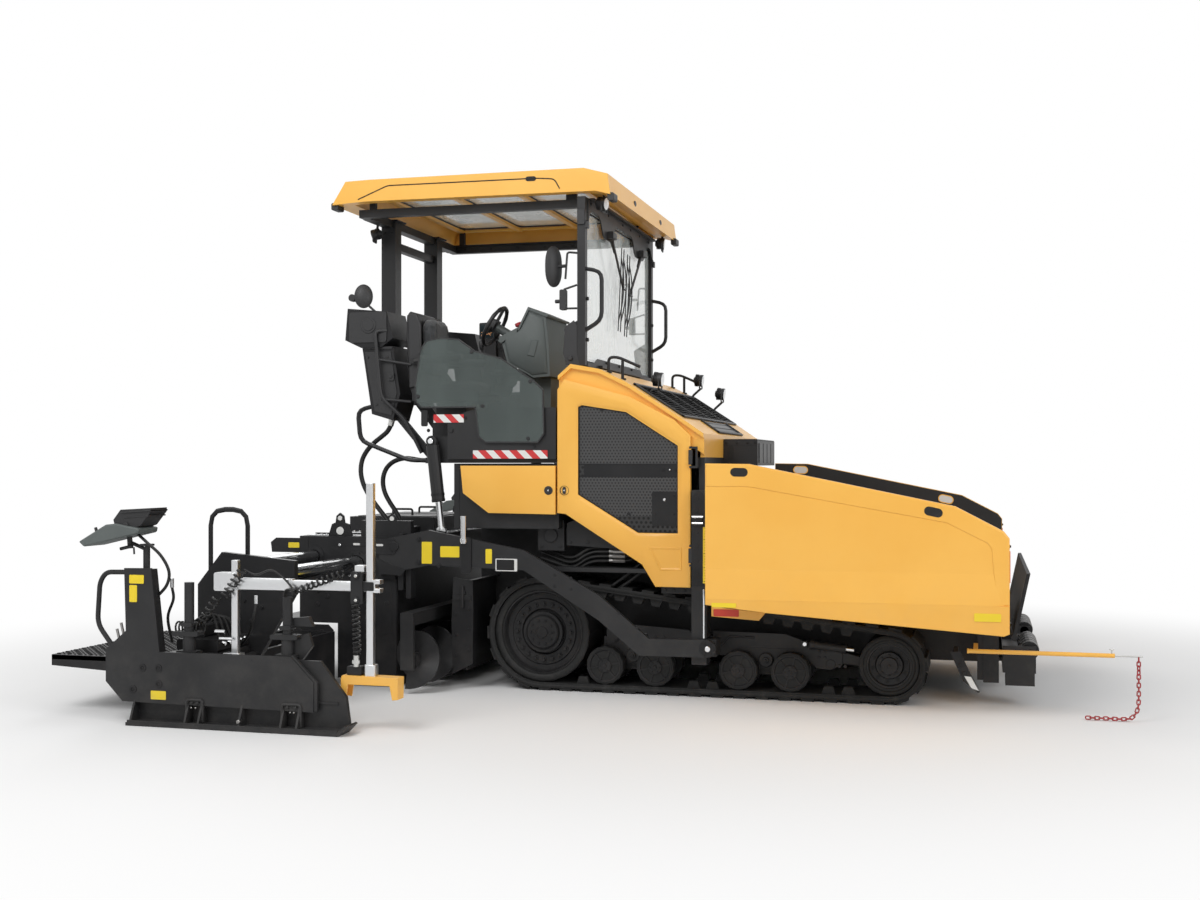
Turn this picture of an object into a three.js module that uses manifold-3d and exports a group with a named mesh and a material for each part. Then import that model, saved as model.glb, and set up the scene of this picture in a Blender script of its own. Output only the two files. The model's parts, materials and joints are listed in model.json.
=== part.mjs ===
// Tracked asphalt paver with a folding hopper, a canopied operator deck and an extending screed.
// Millimetres. X points forward, Y to the machine's left and Z up. The origin is on the ground
// in the middle of the machine. Paired pieces are drawn on the left and mirrored to the right.
import * as THREE from "three";
import { mergeVertices } from "three/addons/utils/BufferGeometryUtils.js";
import Module from "manifold-3d";

const wasm = await Module();
wasm.setup();

// ---- Driving dimensions ----------------------------------------------------------------------

const SEAT_GAP = 0.3; // between two solids that rest on each other
const PIN_GAP = 0.5; // radial, between a pin and its bore
const PIN_SIDES = 24; // facets of each pin and its bore
const RUN_GAP = 8; // between pieces that move past each other

// Rubber tracks: a driven wheel at the rear and a smaller idler in front.
const TRACK = {
  centreY: 901.5,
  width: 457,
  rearX: -585,
  rearR: 420,
  frontX: 1910,
  frontR: 265,
  carcass: 32,
  barHeight: 24,
  barPitch: 158,
  barShare: 0.55,
};
const WHEEL = { beltGap: 3, faceInset: 22, hubR: 150, rimDepth: 70, rimWall: 58 };
const ROLLER = { radius: 138, width: 96, axleR: 34, centresX: [-110, 262, 861, 1230] };
const TRACK_BEAM = { bottom: 268, top: 420, width: 150, rearX: -150, pivotX: 560, pivotWidth: 160 };

// Chassis between the tracks, with two conveyor tunnels under the engine bay.
const CHASSIS = {
  halfWidth: 600,
  wall: 30,
  bottom: 250,
  rearX: -1240,
  frontX: 2550,
  tunnelFloor: 380,
  tunnelRoof: 780,
  hopperEdge: 690,
};
const BULKHEAD = { rearX: 600, thickness: 40, top: 1700, halfWidth: 1195 };
const ENGINE = { rearX: -330, frontX: 420, halfWidth: 430, top: 1720 };

// Bodywork.
const SKIN_Y = 1215; // inner face of the doors and covers
const PANEL = 35; // thickness of a door or cover
const HOOD = {
  wall: 30,
  halfWidth: 1245,
  flange: 150,
  boxHalfWidth: 450,
  boxFrontX: 900,
  boxTop: 1830,
  boxBottom: 1640,
};
const DOOR = {
  rearX: -427,
  frontX: 548,
  bottom: 785,
  meshInset: 18,
  meshWall: 6,
  hingeR: 9,
  hinges: [1010, 1700],
};
const COVER = { rearX: -1164, frontX: -440, bottom: 1290, top: 1640 };

// Hopper.
const WING = {
  hingeY: 590,
  hingeZ: 730,
  hingeR: 30,
  pinR: 14,
  outerY: 1700,
  wall: 60,
  floorRise: 70,
  floorWall: 30,
  rearX: 739,
  frontX: 2695,
  tubeEndX: 2470,
};
const APRON = { hingeX: 2735, hingeZ: 490, height: 430, lean: 12, halfWidth: 1150, wall: 24, tubeR: 22 };
const PUSH = {
  pivotX: 2640,
  pinR: 25,
  beamHeight: 150,
  halfLength: 980,
  axleR: 16,
  rollerR: 62,
  rollerLength: 640,
  rollerX: 2840,
  underApron: 48,
};
PUSH.z = APRON.hingeZ - PUSH.underApron - PUSH.rollerR;

// Operator deck and canopy.
const DECK = {
  floorTop: 1700,
  floorWall: 40,
  rearX: -1520,
  sideRearX: -1270,
  frontX: -430,
  halfWidth: 1250,
  rearHalfWidth: 1060,
};
const SHIELD_WALL = 10;
const SEAT = { centreY: 850, x: -1420, width: 500, depth: 470, cushionZ: 2190, height: 610 };
const CONSOLE = { centreY: -520, width: 560 };
const STEERING = { x: -1128, y: -600, z: 2721, ringR: 160, tubeR: 15, tilt: 30 };
const ROOF = {
  rearX: -2244,
  frontX: -60,
  halfWidth: 1150,
  top: 3797,
  wall: 40,
  rib: 60,
  fascia: 150,
  pane: 5,
  depth: 197,
};
const POST = { rearX: -2060, rearY: 450, size: 120, bottom: 2440, top: ROOF.top - ROOF.depth };
const SCREEN = {
  x: -290,
  postY: 1075,
  post: 60,
  bottom: 2370.5,
  top: POST.top,
  glassWall: 8,
  glassBottom: 2400,
};

// Screed, hung on two tow arms that pivot at the front of the tracks.
const COLUMN = { innerY: TRACK.centreY + TRACK.width / 2 + 10, thickness: 150, bottom: 250, top: 1470 };
COLUMN.outerY = COLUMN.innerY + COLUMN.thickness;
const TOW = {
  pivotX: 690,
  pivotZ: 370,
  innerY: COLUMN.outerY + RUN_GAP,
  wall: 40,
  pinR: 30,
  columnX: 564,
  columnWidth: 106,
};
const SCREED = {
  frontX: -1665,
  rearX: -2100,
  halfWidth: 1275,
  plate: 35,
  boxTop: 320,
  frameTop: 1110,
  coverTop: 1230,
};
const TUBE = {
  mainX: -1990,
  mainZ: 900,
  mainR: 68,
  guideX: -2330,
  guideZ: 960,
  guideR: 44,
  wall: 24,
  innerY: 1110,
};
const EXTENSION = {
  frontX: -2150,
  rearX: -2600,
  innerY: SCREED.halfWidth + 25,
  outerY: 2960,
  boxTop: 400,
  carrierY: 2420,
  stroke: 1050,
};
const GATE = { innerY: 2985, wall: 40, shoeY: 3040, shoeWall: 110, guideWall: 18 };
const WALKWAY = { hingeX: -2735, rearX: -3520, top: 372, wall: 36, innerY: 1380, outerY: 2780, pinR: 9 };
const AUGER = {
  x: -1450,
  z: 235,
  radius: 200,
  shaftR: 45,
  innerY: 130,
  outerY: 1560,
  pitch: 330,
  wall: 22,
};
// Hydraulic hoses from the deck to the screed, each in a plane across the machine: [x, z] of its route.
const HOSE_RADIUS = 18;
const HOSE_UPPER = {
  y: -1000,
  route: [
    [-1815.2, 1995.6],
    [-1823.5, 1967.4],
    [-1831.9, 1938.7],
    [-1860, 1896],
    [-1910, 1856],
    [-1968, 1812],
    [-2022, 1757],
    [-2062, 1688],
    [-2076, 1608],
    [-2064, 1526],
    [-2030, 1448],
    [-1980, 1376],
    [-1925, 1308],
    [-1875, 1248],
    [-1843, 1200],
    [-1831, 1165],
    [-1830, 1140],
    [-1830, 1110.6],
  ],
};
const HOSE_LOWER = {
  y: -920,
  route: [
    [-1520.6, 1680],
    [-1550, 1680],
    [-1580, 1680],
    [-1630, 1683],
    [-1685, 1692],
    [-1740, 1696],
    [-1800, 1686],
    [-1856, 1660],
    [-1900, 1616],
    [-1924, 1556],
    [-1926, 1490],
    [-1908, 1424],
    [-1872, 1360],
    [-1830, 1300],
    [-1793, 1240],
    [-1774, 1190],
    [-1770, 1150],
    [-1770, 1110.6],
  ],
};
const LIFT = {
  topX: -1395,
  topZ: 1820,
  eyeX: -1320,
  eyeZ: 1160,
  y: 1240,
  barrelR: 48,
  rodR: 24,
  pinR: 18,
  barrel: 450,
  rod: 350,
};

// Steering guide at the front and the grade sensor on the right-hand end gate.
const GUIDE = { y: -1370, z: 420, rearX: 2433, frontX: 3350, tipX: 3520, tubeR: 14, rodR: 7, linkR: 9 };
const SENSOR = { y: -2920, postX: -2060, legX: -1130, armZ: 905, top: 1530 };
const GUARD = { rearX: -1310, frontX: -930, low: 207, top: 340, wall: 45 };

// ---- Shape helpers ---------------------------------------------------------------------------

/** The radius of a bore whose flats clear a pin that turns in it. */
function boreRadius(pinR) {
  return (pinR + PIN_GAP) / Math.cos(Math.PI / PIN_SIDES);
}

/** A closed three.js geometry as a solid that can be joined and cut. */
function solid(geometry) {
  const bare = geometry.index ? geometry.toNonIndexed() : geometry.clone();
  bare.deleteAttribute("normal");
  bare.deleteAttribute("uv");
  const merged = mergeVertices(bare, 1e-3);
  return new wasm.Manifold(
    new wasm.Mesh({
      numProp: 3,
      vertProperties: new Float32Array(merged.attributes.position.array),
      triVerts: new Uint32Array(merged.index.array),
    }),
  );
}

/** The solids joined into one. */
function join(...solids) {
  return solids.flat(Infinity).reduce((whole, piece) => whole.add(piece));
}

/** The first solid with the others taken away. */
function cut(whole, ...tools) {
  return tools.flat(Infinity).reduce((left, tool) => left.subtract(tool), whole);
}

/** A box between two values on each axis, in either order. */
function box([xa, xb], [ya, yb], [za, zb]) {
  const geometry = new THREE.BoxGeometry(Math.abs(xb - xa), Math.abs(yb - ya), Math.abs(zb - za));
  geometry.translate((xa + xb) / 2, (ya + yb) / 2, (za + zb) / 2);
  return solid(geometry);
}

/** A flat outline through corner points, always drawn anticlockwise, with any holes cut in it. */
function outline(points, ...holes) {
  const corners = points.map(([a, b]) => new THREE.Vector2(a, b));
  const shape = new THREE.Shape(THREE.ShapeUtils.area(corners) < 0 ? corners.reverse() : corners);
  for (const hole of holes) shape.holes.push(new THREE.Path(hole.map(([a, b]) => new THREE.Vector2(a, b))));
  return shape;
}

function extruded(shape, depth) {
  const drawn = shape instanceof THREE.Shape ? shape : outline(shape);
  return new THREE.ExtrudeGeometry(drawn, { depth, bevelEnabled: false, curveSegments: 6 });
}

/** A plate seen from the side: corners are [x, z] and it runs along Y. */
function sidePlate(shape, [ya, yb]) {
  const geometry = extruded(shape, Math.abs(yb - ya));
  geometry.rotateX(Math.PI / 2);
  geometry.translate(0, Math.max(ya, yb), 0);
  return solid(geometry);
}

/** A plate seen from the front: corners are [y, z] and it runs along X. */
function endPlate(shape, [xa, xb]) {
  const geometry = extruded(shape, Math.abs(xb - xa));
  geometry.applyMatrix4(new THREE.Matrix4().set(
    0,
    0,
    1,
    Math.min(xa, xb),
    1,
    0,
    0,
    0,
    0,
    1,
    0,
    0,
    0,
    0,
    0,
    1,
  ));
  return solid(geometry);
}

/** A plate seen from above: corners are [x, y] and it runs along Z. */
function floorPlate(shape, [za, zb]) {
  const geometry = extruded(shape, Math.abs(zb - za));
  geometry.translate(0, 0, Math.min(za, zb));
  return solid(geometry);
}

/** A round bar between two points. */
function bar(from, to, radius, sides = 12) {
  const a = new THREE.Vector3(...from);
  const b = new THREE.Vector3(...to);
  const geometry = new THREE.CylinderGeometry(radius, radius, a.distanceTo(b), sides);
  const turn = new THREE.Quaternion().setFromUnitVectors(
    new THREE.Vector3(0, 1, 0),
    b.clone().sub(a).normalize(),
  );
  geometry.applyQuaternion(turn);
  geometry.translate(...a.add(b).multiplyScalar(0.5).toArray());
  return solid(geometry);
}

/** A solid turned about a line along Y through [x, z]: the profile is [radius, y] and closes on itself. */
function turned(profile, x, z, sides = 24) {
  const points = profile.map(([r, y]) => new THREE.Vector2(r, y));
  const geometry = new THREE.LatheGeometry(points, sides);
  geometry.translate(x, 0, z);
  return solid(geometry);
}

/** A bent bar along a line of points whose corners are rounded by the bend radius. */
function bentBar(points, radius, bend = 60, sides = 6, arcSteps = 3) {
  const corners = points.map((p) => new THREE.Vector3(...p));
  const line = [corners[0]];
  for (let i = 1; i < corners.length - 1; i += 1) {
    const back = corners[i - 1].clone().sub(corners[i]);
    const on = corners[i + 1].clone().sub(corners[i]);
    const reach = Math.min(bend, back.length() / 2.01, on.length() / 2.01);
    const start = corners[i].clone().add(back.setLength(reach));
    const end = corners[i].clone().add(on.setLength(reach));
    line.push(...new THREE.QuadraticBezierCurve3(start, corners[i], end).getPoints(arcSteps));
  }
  line.push(corners.at(-1));
  return tubeAlong(line, radius, sides);
}

/** A round bar with one ring of corners at each point of a line. */
function tubeAlong(line, radius, sides) {
  const way = (i) => line[Math.min(i + 1, line.length - 1)].clone().sub(line[Math.max(i - 1, 0)]).normalize();
  const across = new THREE.Vector3(0, 0, 1).cross(way(0));
  if (across.length() < 0.1) across.set(0, 1, 0).cross(way(0));
  across.normalize();
  const rings = line.map((centre, i) => {
    if (i > 0) across.applyQuaternion(new THREE.Quaternion().setFromUnitVectors(way(i - 1), way(i)));
    const other = way(i).cross(across);
    return Array.from({ length: sides }, (_, k) => {
      const angle = (2 * Math.PI * k) / sides;
      const round = across.clone().multiplyScalar(radius * Math.cos(angle));
      return centre.clone().add(round).addScaledVector(other, radius * Math.sin(angle));
    });
  });
  const positions = [];
  const face = (a, b, c) => positions.push(...a.toArray(), ...b.toArray(), ...c.toArray());
  for (let i = 0; i + 1 < rings.length; i += 1) {
    for (let k = 0; k < sides; k += 1) {
      const next = (k + 1) % sides;
      face(rings[i][k], rings[i][next], rings[i + 1][next]);
      face(rings[i][k], rings[i + 1][next], rings[i + 1][k]);
    }
  }
  for (let k = 1; k + 1 < sides; k += 1) {
    face(rings[0][0], rings[0][k + 1], rings[0][k]);
    face(rings.at(-1)[0], rings.at(-1)[k], rings.at(-1)[k + 1]);
  }
  const geometry = new THREE.BufferGeometry();
  geometry.setAttribute("position", new THREE.Float32BufferAttribute(positions, 3));
  return solid(geometry);
}

/** A round bar swept along a curve. */
function sweep(path, radius, sides, steps) {
  const section = new THREE.Shape();
  for (let i = 0; i < sides; i += 1) {
    const angle = (2 * Math.PI * i) / sides;
    const put = i === 0 ? "moveTo" : "lineTo";
    section[put](radius * Math.cos(angle), radius * Math.sin(angle));
  }
  return solid(new THREE.ExtrudeGeometry(section, { steps, extrudePath: path, bevelEnabled: false }));
}

// ---- Materials and scene graph ---------------------------------------------------------------

const paver = new THREE.Group();
paver.name = "asphalt_paver";

function finish(color, roughness, metalness = 0) {
  return new THREE.MeshStandardMaterial({ color, roughness, metalness });
}

const YELLOW = finish(0xf2a81c, 0.38);
const CHARCOAL = finish(0x232323, 0.55);
const BLACK = finish(0x1a1a1a, 0.6);
const RUBBER = finish(0x171717, 0.88);
const STEEL = finish(0xb8bcc0, 0.3, 1);
const CHROME = finish(0xe0e2e4, 0.12, 1);
const GREY = finish(0x5a625e, 0.6);
const FABRIC = finish(0x35383b, 0.8);
const GLASS = new THREE.MeshStandardMaterial({
  color: 0xc9d2d2,
  roughness: 0.08,
  transparent: true,
  opacity: 0.4,
});
const SMOKED = new THREE.MeshStandardMaterial({
  color: 0x58625f,
  roughness: 0.15,
  transparent: true,
  opacity: 0.6,
});
const RED = finish(0xb01f24, 0.5);
const HOSE = finish(0x141414, 0.55);

/** Adds one named mesh to the paver; a mirrored one stands on the other side of the centre plane. */
function add(name, piece, material, mirrored = false) {
  const { numProp, vertProperties, triVerts } = piece.getMesh();
  const geometry = new THREE.BufferGeometry();
  const positions = [];
  for (const index of triVerts) {
    positions.push(...vertProperties.subarray(index * numProp, index * numProp + 3));
  }
  geometry.setAttribute("position", new THREE.Float32BufferAttribute(positions, 3));
  geometry.computeVertexNormals();
  const mesh = new THREE.Mesh(geometry, material);
  mesh.name = name;
  if (mirrored) mesh.scale.y = -1;
  paver.add(mesh);
}

/** Adds a left-hand piece and its mirror image on the right. */
function addPair(name, piece, material) {
  add(`${name}_left`, piece, material);
  add(`${name}_right`, piece, material, true);
}

// ---- Tracks ----------------------------------------------------------------------------------

const trackIn = TRACK.centreY - TRACK.width / 2;
const trackOut = TRACK.centreY + TRACK.width / 2;

/** The loop round both track wheels at given radii: its stretches, and a point at any way along it. */
function beltLoop(rearR, frontR) {
  const span = TRACK.frontX - TRACK.rearX;
  const rise = TRACK.frontR - TRACK.rearR;
  const drop = rearR - frontR;
  const centres = Math.hypot(span, rise);
  const slope = Math.atan2(rise, span);
  const open = Math.asin(drop / centres);
  const topAngle = Math.PI / 2 + slope - open;
  const lowAngle = -Math.PI / 2 + slope + open;
  const flat = Math.sqrt(centres ** 2 - drop ** 2);
  const rearArc = rearR * (2 * Math.PI - (topAngle - lowAngle));
  const frontArc = frontR * (topAngle - lowAngle);
  const total = 2 * flat + rearArc + frontArc;
  const rear = (angle, r) => [TRACK.rearX + r * Math.cos(angle), TRACK.rearR + r * Math.sin(angle)];
  const front = (angle, r) => [TRACK.frontX + r * Math.cos(angle), TRACK.frontR + r * Math.sin(angle)];
  const between = (a, b, t) => [a[0] + (b[0] - a[0]) * t, a[1] + (b[1] - a[1]) * t];
  const at = (way, lift = 0) => {
    let rest = way % total;
    if (rest < rearArc) return rear(topAngle + rest / rearR, rearR + lift);
    rest -= rearArc;
    if (rest < flat) return between(
      rear(lowAngle, rearR + lift),
      front(lowAngle, frontR + lift),
      rest / flat,
    );
    rest -= flat;
    if (rest < frontArc) return front(lowAngle + rest / frontR, frontR + lift);
    rest -= frontArc;
    return between(front(topAngle, frontR + lift), rear(topAngle, rearR + lift), rest / flat);
  };
  return { rearArc, flat, frontArc, total, at };
}

/** A rubber belt: cross bars outside, and a smooth line inside whose arcs have the given steps. */
function trackBelt(arcSteps = 16) {
  const base = TRACK.barHeight;
  const outer = beltLoop(TRACK.rearR - base, TRACK.frontR - base);
  const bars = Math.round(outer.total / TRACK.barPitch);
  const pitch = outer.total / bars;
  const outside = [];
  for (let i = 0; i < bars; i += 1) {
    const start = i * pitch;
    const end = start + pitch * TRACK.barShare;
    outside.push(outer.at(start), outer.at(start, base), outer.at(end, base), outer.at(end));
  }
  const loop = beltLoop(TRACK.rearR - base - TRACK.carcass, TRACK.frontR - base - TRACK.carcass);
  const inside = [];
  for (let i = 0; i <= arcSteps; i += 1) inside.push(loop.at((loop.rearArc * i) / arcSteps));
  const frontStart = loop.rearArc + loop.flat;
  for (let i = 0; i <= arcSteps; i += 1) inside.push(loop.at(frontStart + (loop.frontArc * i) / arcSteps));
  return sidePlate(outline(outside, inside), [trackIn, trackOut]);
}

const insideR = (r) => r - TRACK.barHeight - TRACK.carcass - WHEEL.beltGap;

/** A wide drum with a dished outer face, and a hub. */
function trackWheel(x, z, r, hubR) {
  const a = trackIn + WHEEL.faceInset;
  const b = trackOut - WHEEL.faceInset;
  const rim = r - WHEEL.rimWall;
  return turned(
    [
      [0, a],
      [r, a],
      [r, b],
      [rim, b],
      [rim - 12, b - WHEEL.rimDepth],
      [hubR, b - WHEEL.rimDepth],
      [hubR, b - 18],
      [0, b - 18],
    ],
    x,
    z,
  );
}

/** The beam between the road wheels, with both bogies, their axles and the idler's fork. */
function trackFrame() {
  const beamY = [TRACK.centreY - TRACK_BEAM.width / 2, TRACK.centreY + TRACK_BEAM.width / 2];
  const reach = insideR(TRACK.frontR) - WHEEL.rimWall;
  const wheelZ = TRACK.barHeight + TRACK.carcass + ROLLER.radius + SEAT_GAP;
  const beam = sidePlate(
    [
      [TRACK_BEAM.rearX, TRACK_BEAM.bottom + 40],
      [1400, TRACK_BEAM.bottom],
      [TRACK.frontX - reach - 60, TRACK.frontR - 25],
      [TRACK.frontX - reach - 60, TRACK.frontR + 35],
      [1400, TRACK_BEAM.top - 40],
      [TRACK_BEAM.pivotX, TRACK_BEAM.top],
      [TRACK_BEAM.rearX, TRACK_BEAM.top - 30],
    ],
    beamY,
  );
  const parts = [beam];
  for (const x of ROLLER.centresX) {
    parts.push(bar(
      [x, trackIn + WHEEL.faceInset, wheelZ],
      [x, trackOut - WHEEL.faceInset, wheelZ],
      ROLLER.axleR,
      8,
    ));
    for (const y of [trackIn + WHEEL.faceInset, trackOut - WHEEL.faceInset - ROLLER.width]) {
      parts.push(bar([x, y, wheelZ], [x, y + ROLLER.width, wheelZ], ROLLER.radius, 14));
    }
  }
  for (const [rear, front] of [ROLLER.centresX.slice(0, 2), ROLLER.centresX.slice(2)]) {
    const middle = (rear + front) / 2;
    parts.push(
      sidePlate(
        [
          [rear - 50, wheelZ - 40],
          [front + 50, wheelZ - 40],
          [front + 50, wheelZ + 35],
          [middle + 60, TRACK_BEAM.top - 90],
          [middle - 60, TRACK_BEAM.top - 90],
          [rear - 50, wheelZ + 35],
        ],
        [beamY[0] + 20, beamY[1] - 20],
      ),
    );
  }
  const idlerEnd = [TRACK.frontX - reach - 60, TRACK.frontX];
  const side = trackIn + WHEEL.faceInset;
  parts.push(
    box([idlerEnd[0] - 20, idlerEnd[0]], [side - 40, beamY[1]], [TRACK.frontR - 25, TRACK.frontR + 35]),
    box(
      [idlerEnd[0] - 20, idlerEnd[1] + 40],
      [side - 40, side - SEAT_GAP],
      [TRACK.frontR - 40, TRACK.frontR + 40],
    ),
  );
  return join(parts);
}

addPair("track_belt", trackBelt(), RUBBER);
addPair("drive_wheel", trackWheel(TRACK.rearX, TRACK.rearR, insideR(TRACK.rearR), WHEEL.hubR), BLACK);
addPair("idler_wheel", trackWheel(TRACK.frontX, TRACK.frontR, insideR(TRACK.frontR), 90), BLACK);
addPair("track_frame", trackFrame(), CHARCOAL);

// ---- Chassis ---------------------------------------------------------------------------------

const chassisX = [CHASSIS.rearX, CHASSIS.frontX];
const wide = [-CHASSIS.halfWidth, CHASSIS.halfWidth];
const bulkheadX = [BULKHEAD.rearX, BULKHEAD.rearX + BULKHEAD.thickness];

/** Mirrors a left-hand solid to the right and keeps both. */
function both(make) {
  return [make(1), make(-1)];
}

function mainFrame() {
  const inner = CHASSIS.halfWidth - CHASSIS.wall;
  const parts = [
    box(chassisX, wide, [CHASSIS.tunnelFloor - CHASSIS.wall, CHASSIS.tunnelFloor]),
    box([CHASSIS.rearX, bulkheadX[1]], wide, [CHASSIS.tunnelRoof, CHASSIS.tunnelRoof + CHASSIS.wall]),
    box(
      [CHASSIS.rearX, bulkheadX[1]],
      [-CHASSIS.wall / 2, CHASSIS.wall / 2],
      [CHASSIS.tunnelFloor - 1, CHASSIS.tunnelRoof + 1],
    ),
    box([CHASSIS.frontX - 160, CHASSIS.frontX], wide, [CHASSIS.bottom, CHASSIS.tunnelFloor]),
    // The engine bay stands on the tunnel roof between the firewall and the rear wall.
    box(bulkheadX, [-BULKHEAD.halfWidth, BULKHEAD.halfWidth], [CHASSIS.tunnelRoof + 60, BULKHEAD.top]),
    box(
      [-470, -432],
      [-BULKHEAD.halfWidth, BULKHEAD.halfWidth],
      [1190, DECK.floorTop - DECK.floorWall - SEAT_GAP],
    ),
    box([CHASSIS.rearX + 2, -440], [-1188, 1188], [1180, 1220]),
    box([CHASSIS.rearX, CHASSIS.rearX + 40], [-1193, 1193], [1174, DECK.floorTop - DECK.floorWall - 4]),
    box(
      [bulkheadX[1] - 1, HOOD.boxFrontX],
      [-HOOD.boxHalfWidth, HOOD.boxHalfWidth],
      [HOOD.boxBottom, BULKHEAD.top],
    ),
    box(
      [bulkheadX[0], HOOD.boxFrontX],
      [-HOOD.boxHalfWidth, HOOD.boxHalfWidth],
      [BULKHEAD.top - 1, HOOD.boxTop],
    ),
    // The cross tube that the track beams hang on, and the push beam's upright pin in its bracket.
    box(
      [TRACK_BEAM.pivotX - TRACK_BEAM.pivotWidth / 2, TRACK_BEAM.pivotX + TRACK_BEAM.pivotWidth / 2],
      [-TRACK.centreY + TRACK_BEAM.width / 2 + SEAT_GAP, TRACK.centreY - TRACK_BEAM.width / 2 - SEAT_GAP],
      [TRACK_BEAM.bottom + 40, CHASSIS.tunnelFloor - 5],
    ),
  ];
  const bracketX = [CHASSIS.frontX - 1, PUSH.pivotX + 50];
  const low = PUSH.z - PUSH.beamHeight;
  parts.push(
    box(
      [CHASSIS.frontX - 1, CHASSIS.frontX + 22],
      [-120, 120],
      [low - RUN_GAP - 28, PUSH.z + RUN_GAP + 26],
    ),
    box(bracketX, [-120, 120], [low - RUN_GAP - 28, low - RUN_GAP]),
    box(bracketX, [-120, 120], [PUSH.z + RUN_GAP, PUSH.z + RUN_GAP + 26]),
    bar([PUSH.pivotX, 0, low - 20], [PUSH.pivotX, 0, PUSH.z + 20], PUSH.pinR, PIN_SIDES),
  );
  for (const s of [1, -1]) {
    parts.push(
      // Stub shaft of the final drive, and the plate that the apron's tube turns in.
      bar(
        [TRACK.rearX, s * (inner + 1), TRACK.rearR],
        [TRACK.rearX, s * (trackIn + WHEEL.faceInset - SEAT_GAP), TRACK.rearR],
        WHEEL.hubR,
        12,
      ),
      box(
        [CHASSIS.frontX - 1, APRON.hingeX + 45],
        [s * inner, s * CHASSIS.halfWidth],
        [APRON.hingeZ - 35, APRON.hingeZ + 35],
      ),
      // Stops that the closed rear cover rests on.
      bar([-1080, s * 1189, 1500], [-1080, s * (SKIN_Y + 15 - SEAT_GAP), 1500], 20, 6),
      bar([-520, s * 1189, 1500], [-520, s * (SKIN_Y + 15 - SEAT_GAP), 1500], 20, 6),
      doorLugs(s),
      box([CHASSIS.rearX + 5, -450], [s * 1160, s * 1190], [1185, DECK.floorTop - DECK.floorWall - 8]),
      box(chassisX, [s * inner, s * CHASSIS.halfWidth], [CHASSIS.bottom, CHASSIS.hopperEdge]),
      box(
        [CHASSIS.rearX, bulkheadX[1]],
        [s * inner, s * CHASSIS.halfWidth],
        [CHASSIS.hopperEdge - 1, 1200],
      ),
      // Shelf over the track that carries the engine bay sides.
      box(
        [-470, bulkheadX[1]],
        [s * inner, s * BULKHEAD.halfWidth],
        [CHASSIS.tunnelRoof + 95, CHASSIS.tunnelRoof + 125],
      ),
      // Tow column outside the track, with the tow pivot at its foot.
      box(
        [TOW.columnX, TOW.columnX + TOW.columnWidth],
        [s * COLUMN.innerY, s * COLUMN.outerY],
        [COLUMN.bottom, COLUMN.top],
      ),
      bar(
        [TOW.pivotX, s * COLUMN.innerY, TOW.pivotZ],
        [TOW.pivotX, s * (TOW.innerY + TOW.wall), TOW.pivotZ],
        TOW.pinR,
        PIN_SIDES,
      ),
      box(
        [TOW.columnX + TOW.columnWidth - 1, TOW.pivotX + 50],
        [s * COLUMN.innerY, s * COLUMN.outerY],
        [TOW.pivotZ - 60, TOW.pivotZ + 60],
      ),
      // Ears and pins at both ends of the hopper wing's hinge.
      wingEar(s, WING.rearX - RUN_GAP - 30, WING.rearX - RUN_GAP, 1),
      wingEar(s, WING.tubeEndX + RUN_GAP, WING.tubeEndX + RUN_GAP + 40, -1),
    );
  }
  const apronBore = bar(
    [APRON.hingeX, -CHASSIS.halfWidth - 1, APRON.hingeZ],
    [APRON.hingeX, CHASSIS.halfWidth + 1, APRON.hingeZ],
    boreRadius(APRON.tubeR),
    PIN_SIDES,
  );
  return cut(join(parts), ductPocket(), apronBore);
}

/** The lugs above and below each door hinge, on the rear face of the tow column or the firewall. */
function doorLugs(s) {
  const y = SKIN_Y + PANEL + DOOR.hingeR + 1;
  return DOOR.hinges.flatMap((z) => [
    box([DOOR.frontX - 5, BULKHEAD.rearX + 1], [s * (y - 7), s * (y + 7)], [z - 76, z - 60 - SEAT_GAP]),
    box([DOOR.frontX - 5, BULKHEAD.rearX + 1], [s * (y - 7), s * (y + 7)], [z + 60 + SEAT_GAP, z + 76]),
    box(
      [BULKHEAD.rearX - 12, BULKHEAD.rearX + 1],
      [s * (BULKHEAD.halfWidth - 1), s * (y + 7)],
      [z - 76, z - 2],
    ),
    box([BULKHEAD.rearX - 12, BULKHEAD.rearX + 1], [s * (y - 7), s * (y + 7)], [z - 76, z + 76]),
  ]);
}

/** One ear of a hopper wing's hinge; its pin points into the wing. */
function wingEar(s, rearX, frontX, way) {
  const high = WING.hingeZ + 26;
  const ear = box(
    [rearX, frontX],
    [s * (CHASSIS.halfWidth - CHASSIS.wall), s * (WING.hingeY + 22)],
    [CHASSIS.hopperEdge - 200, high],
  );
  const pinFrom = way > 0 ? frontX - 10 : rearX + 10;
  const pin = bar(
    [pinFrom, s * WING.hingeY, WING.hingeZ],
    [pinFrom + way * (60 + RUN_GAP), s * WING.hingeY, WING.hingeZ],
    WING.pinR,
    PIN_SIDES,
  );
  return ear.add(pin);
}

/** A shallow recess in the front of the duct above the hopper. */
function ductPocket() {
  return box(
    [HOOD.boxFrontX - 12, HOOD.boxFrontX + 1],
    [-HOOD.boxHalfWidth + 60, HOOD.boxHalfWidth - 60],
    [1700, 1790],
  );
}

add("main_frame", mainFrame(), CHARCOAL);
add(
  "engine_block",
  box(
    [ENGINE.rearX, ENGINE.frontX],
    [-ENGINE.halfWidth, ENGINE.halfWidth],
    [CHASSIS.tunnelRoof + CHASSIS.wall + SEAT_GAP, ENGINE.top],
  ),
  BLACK,
);

// ---- Hood, doors and covers ------------------------------------------------------------------

const hoodTop = [
  [-425, 2290],
  [-330, 2372],
  [-122, 2334],
  [88, 2232],
  [478, 1979],
  [640, 1868],
];

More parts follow.
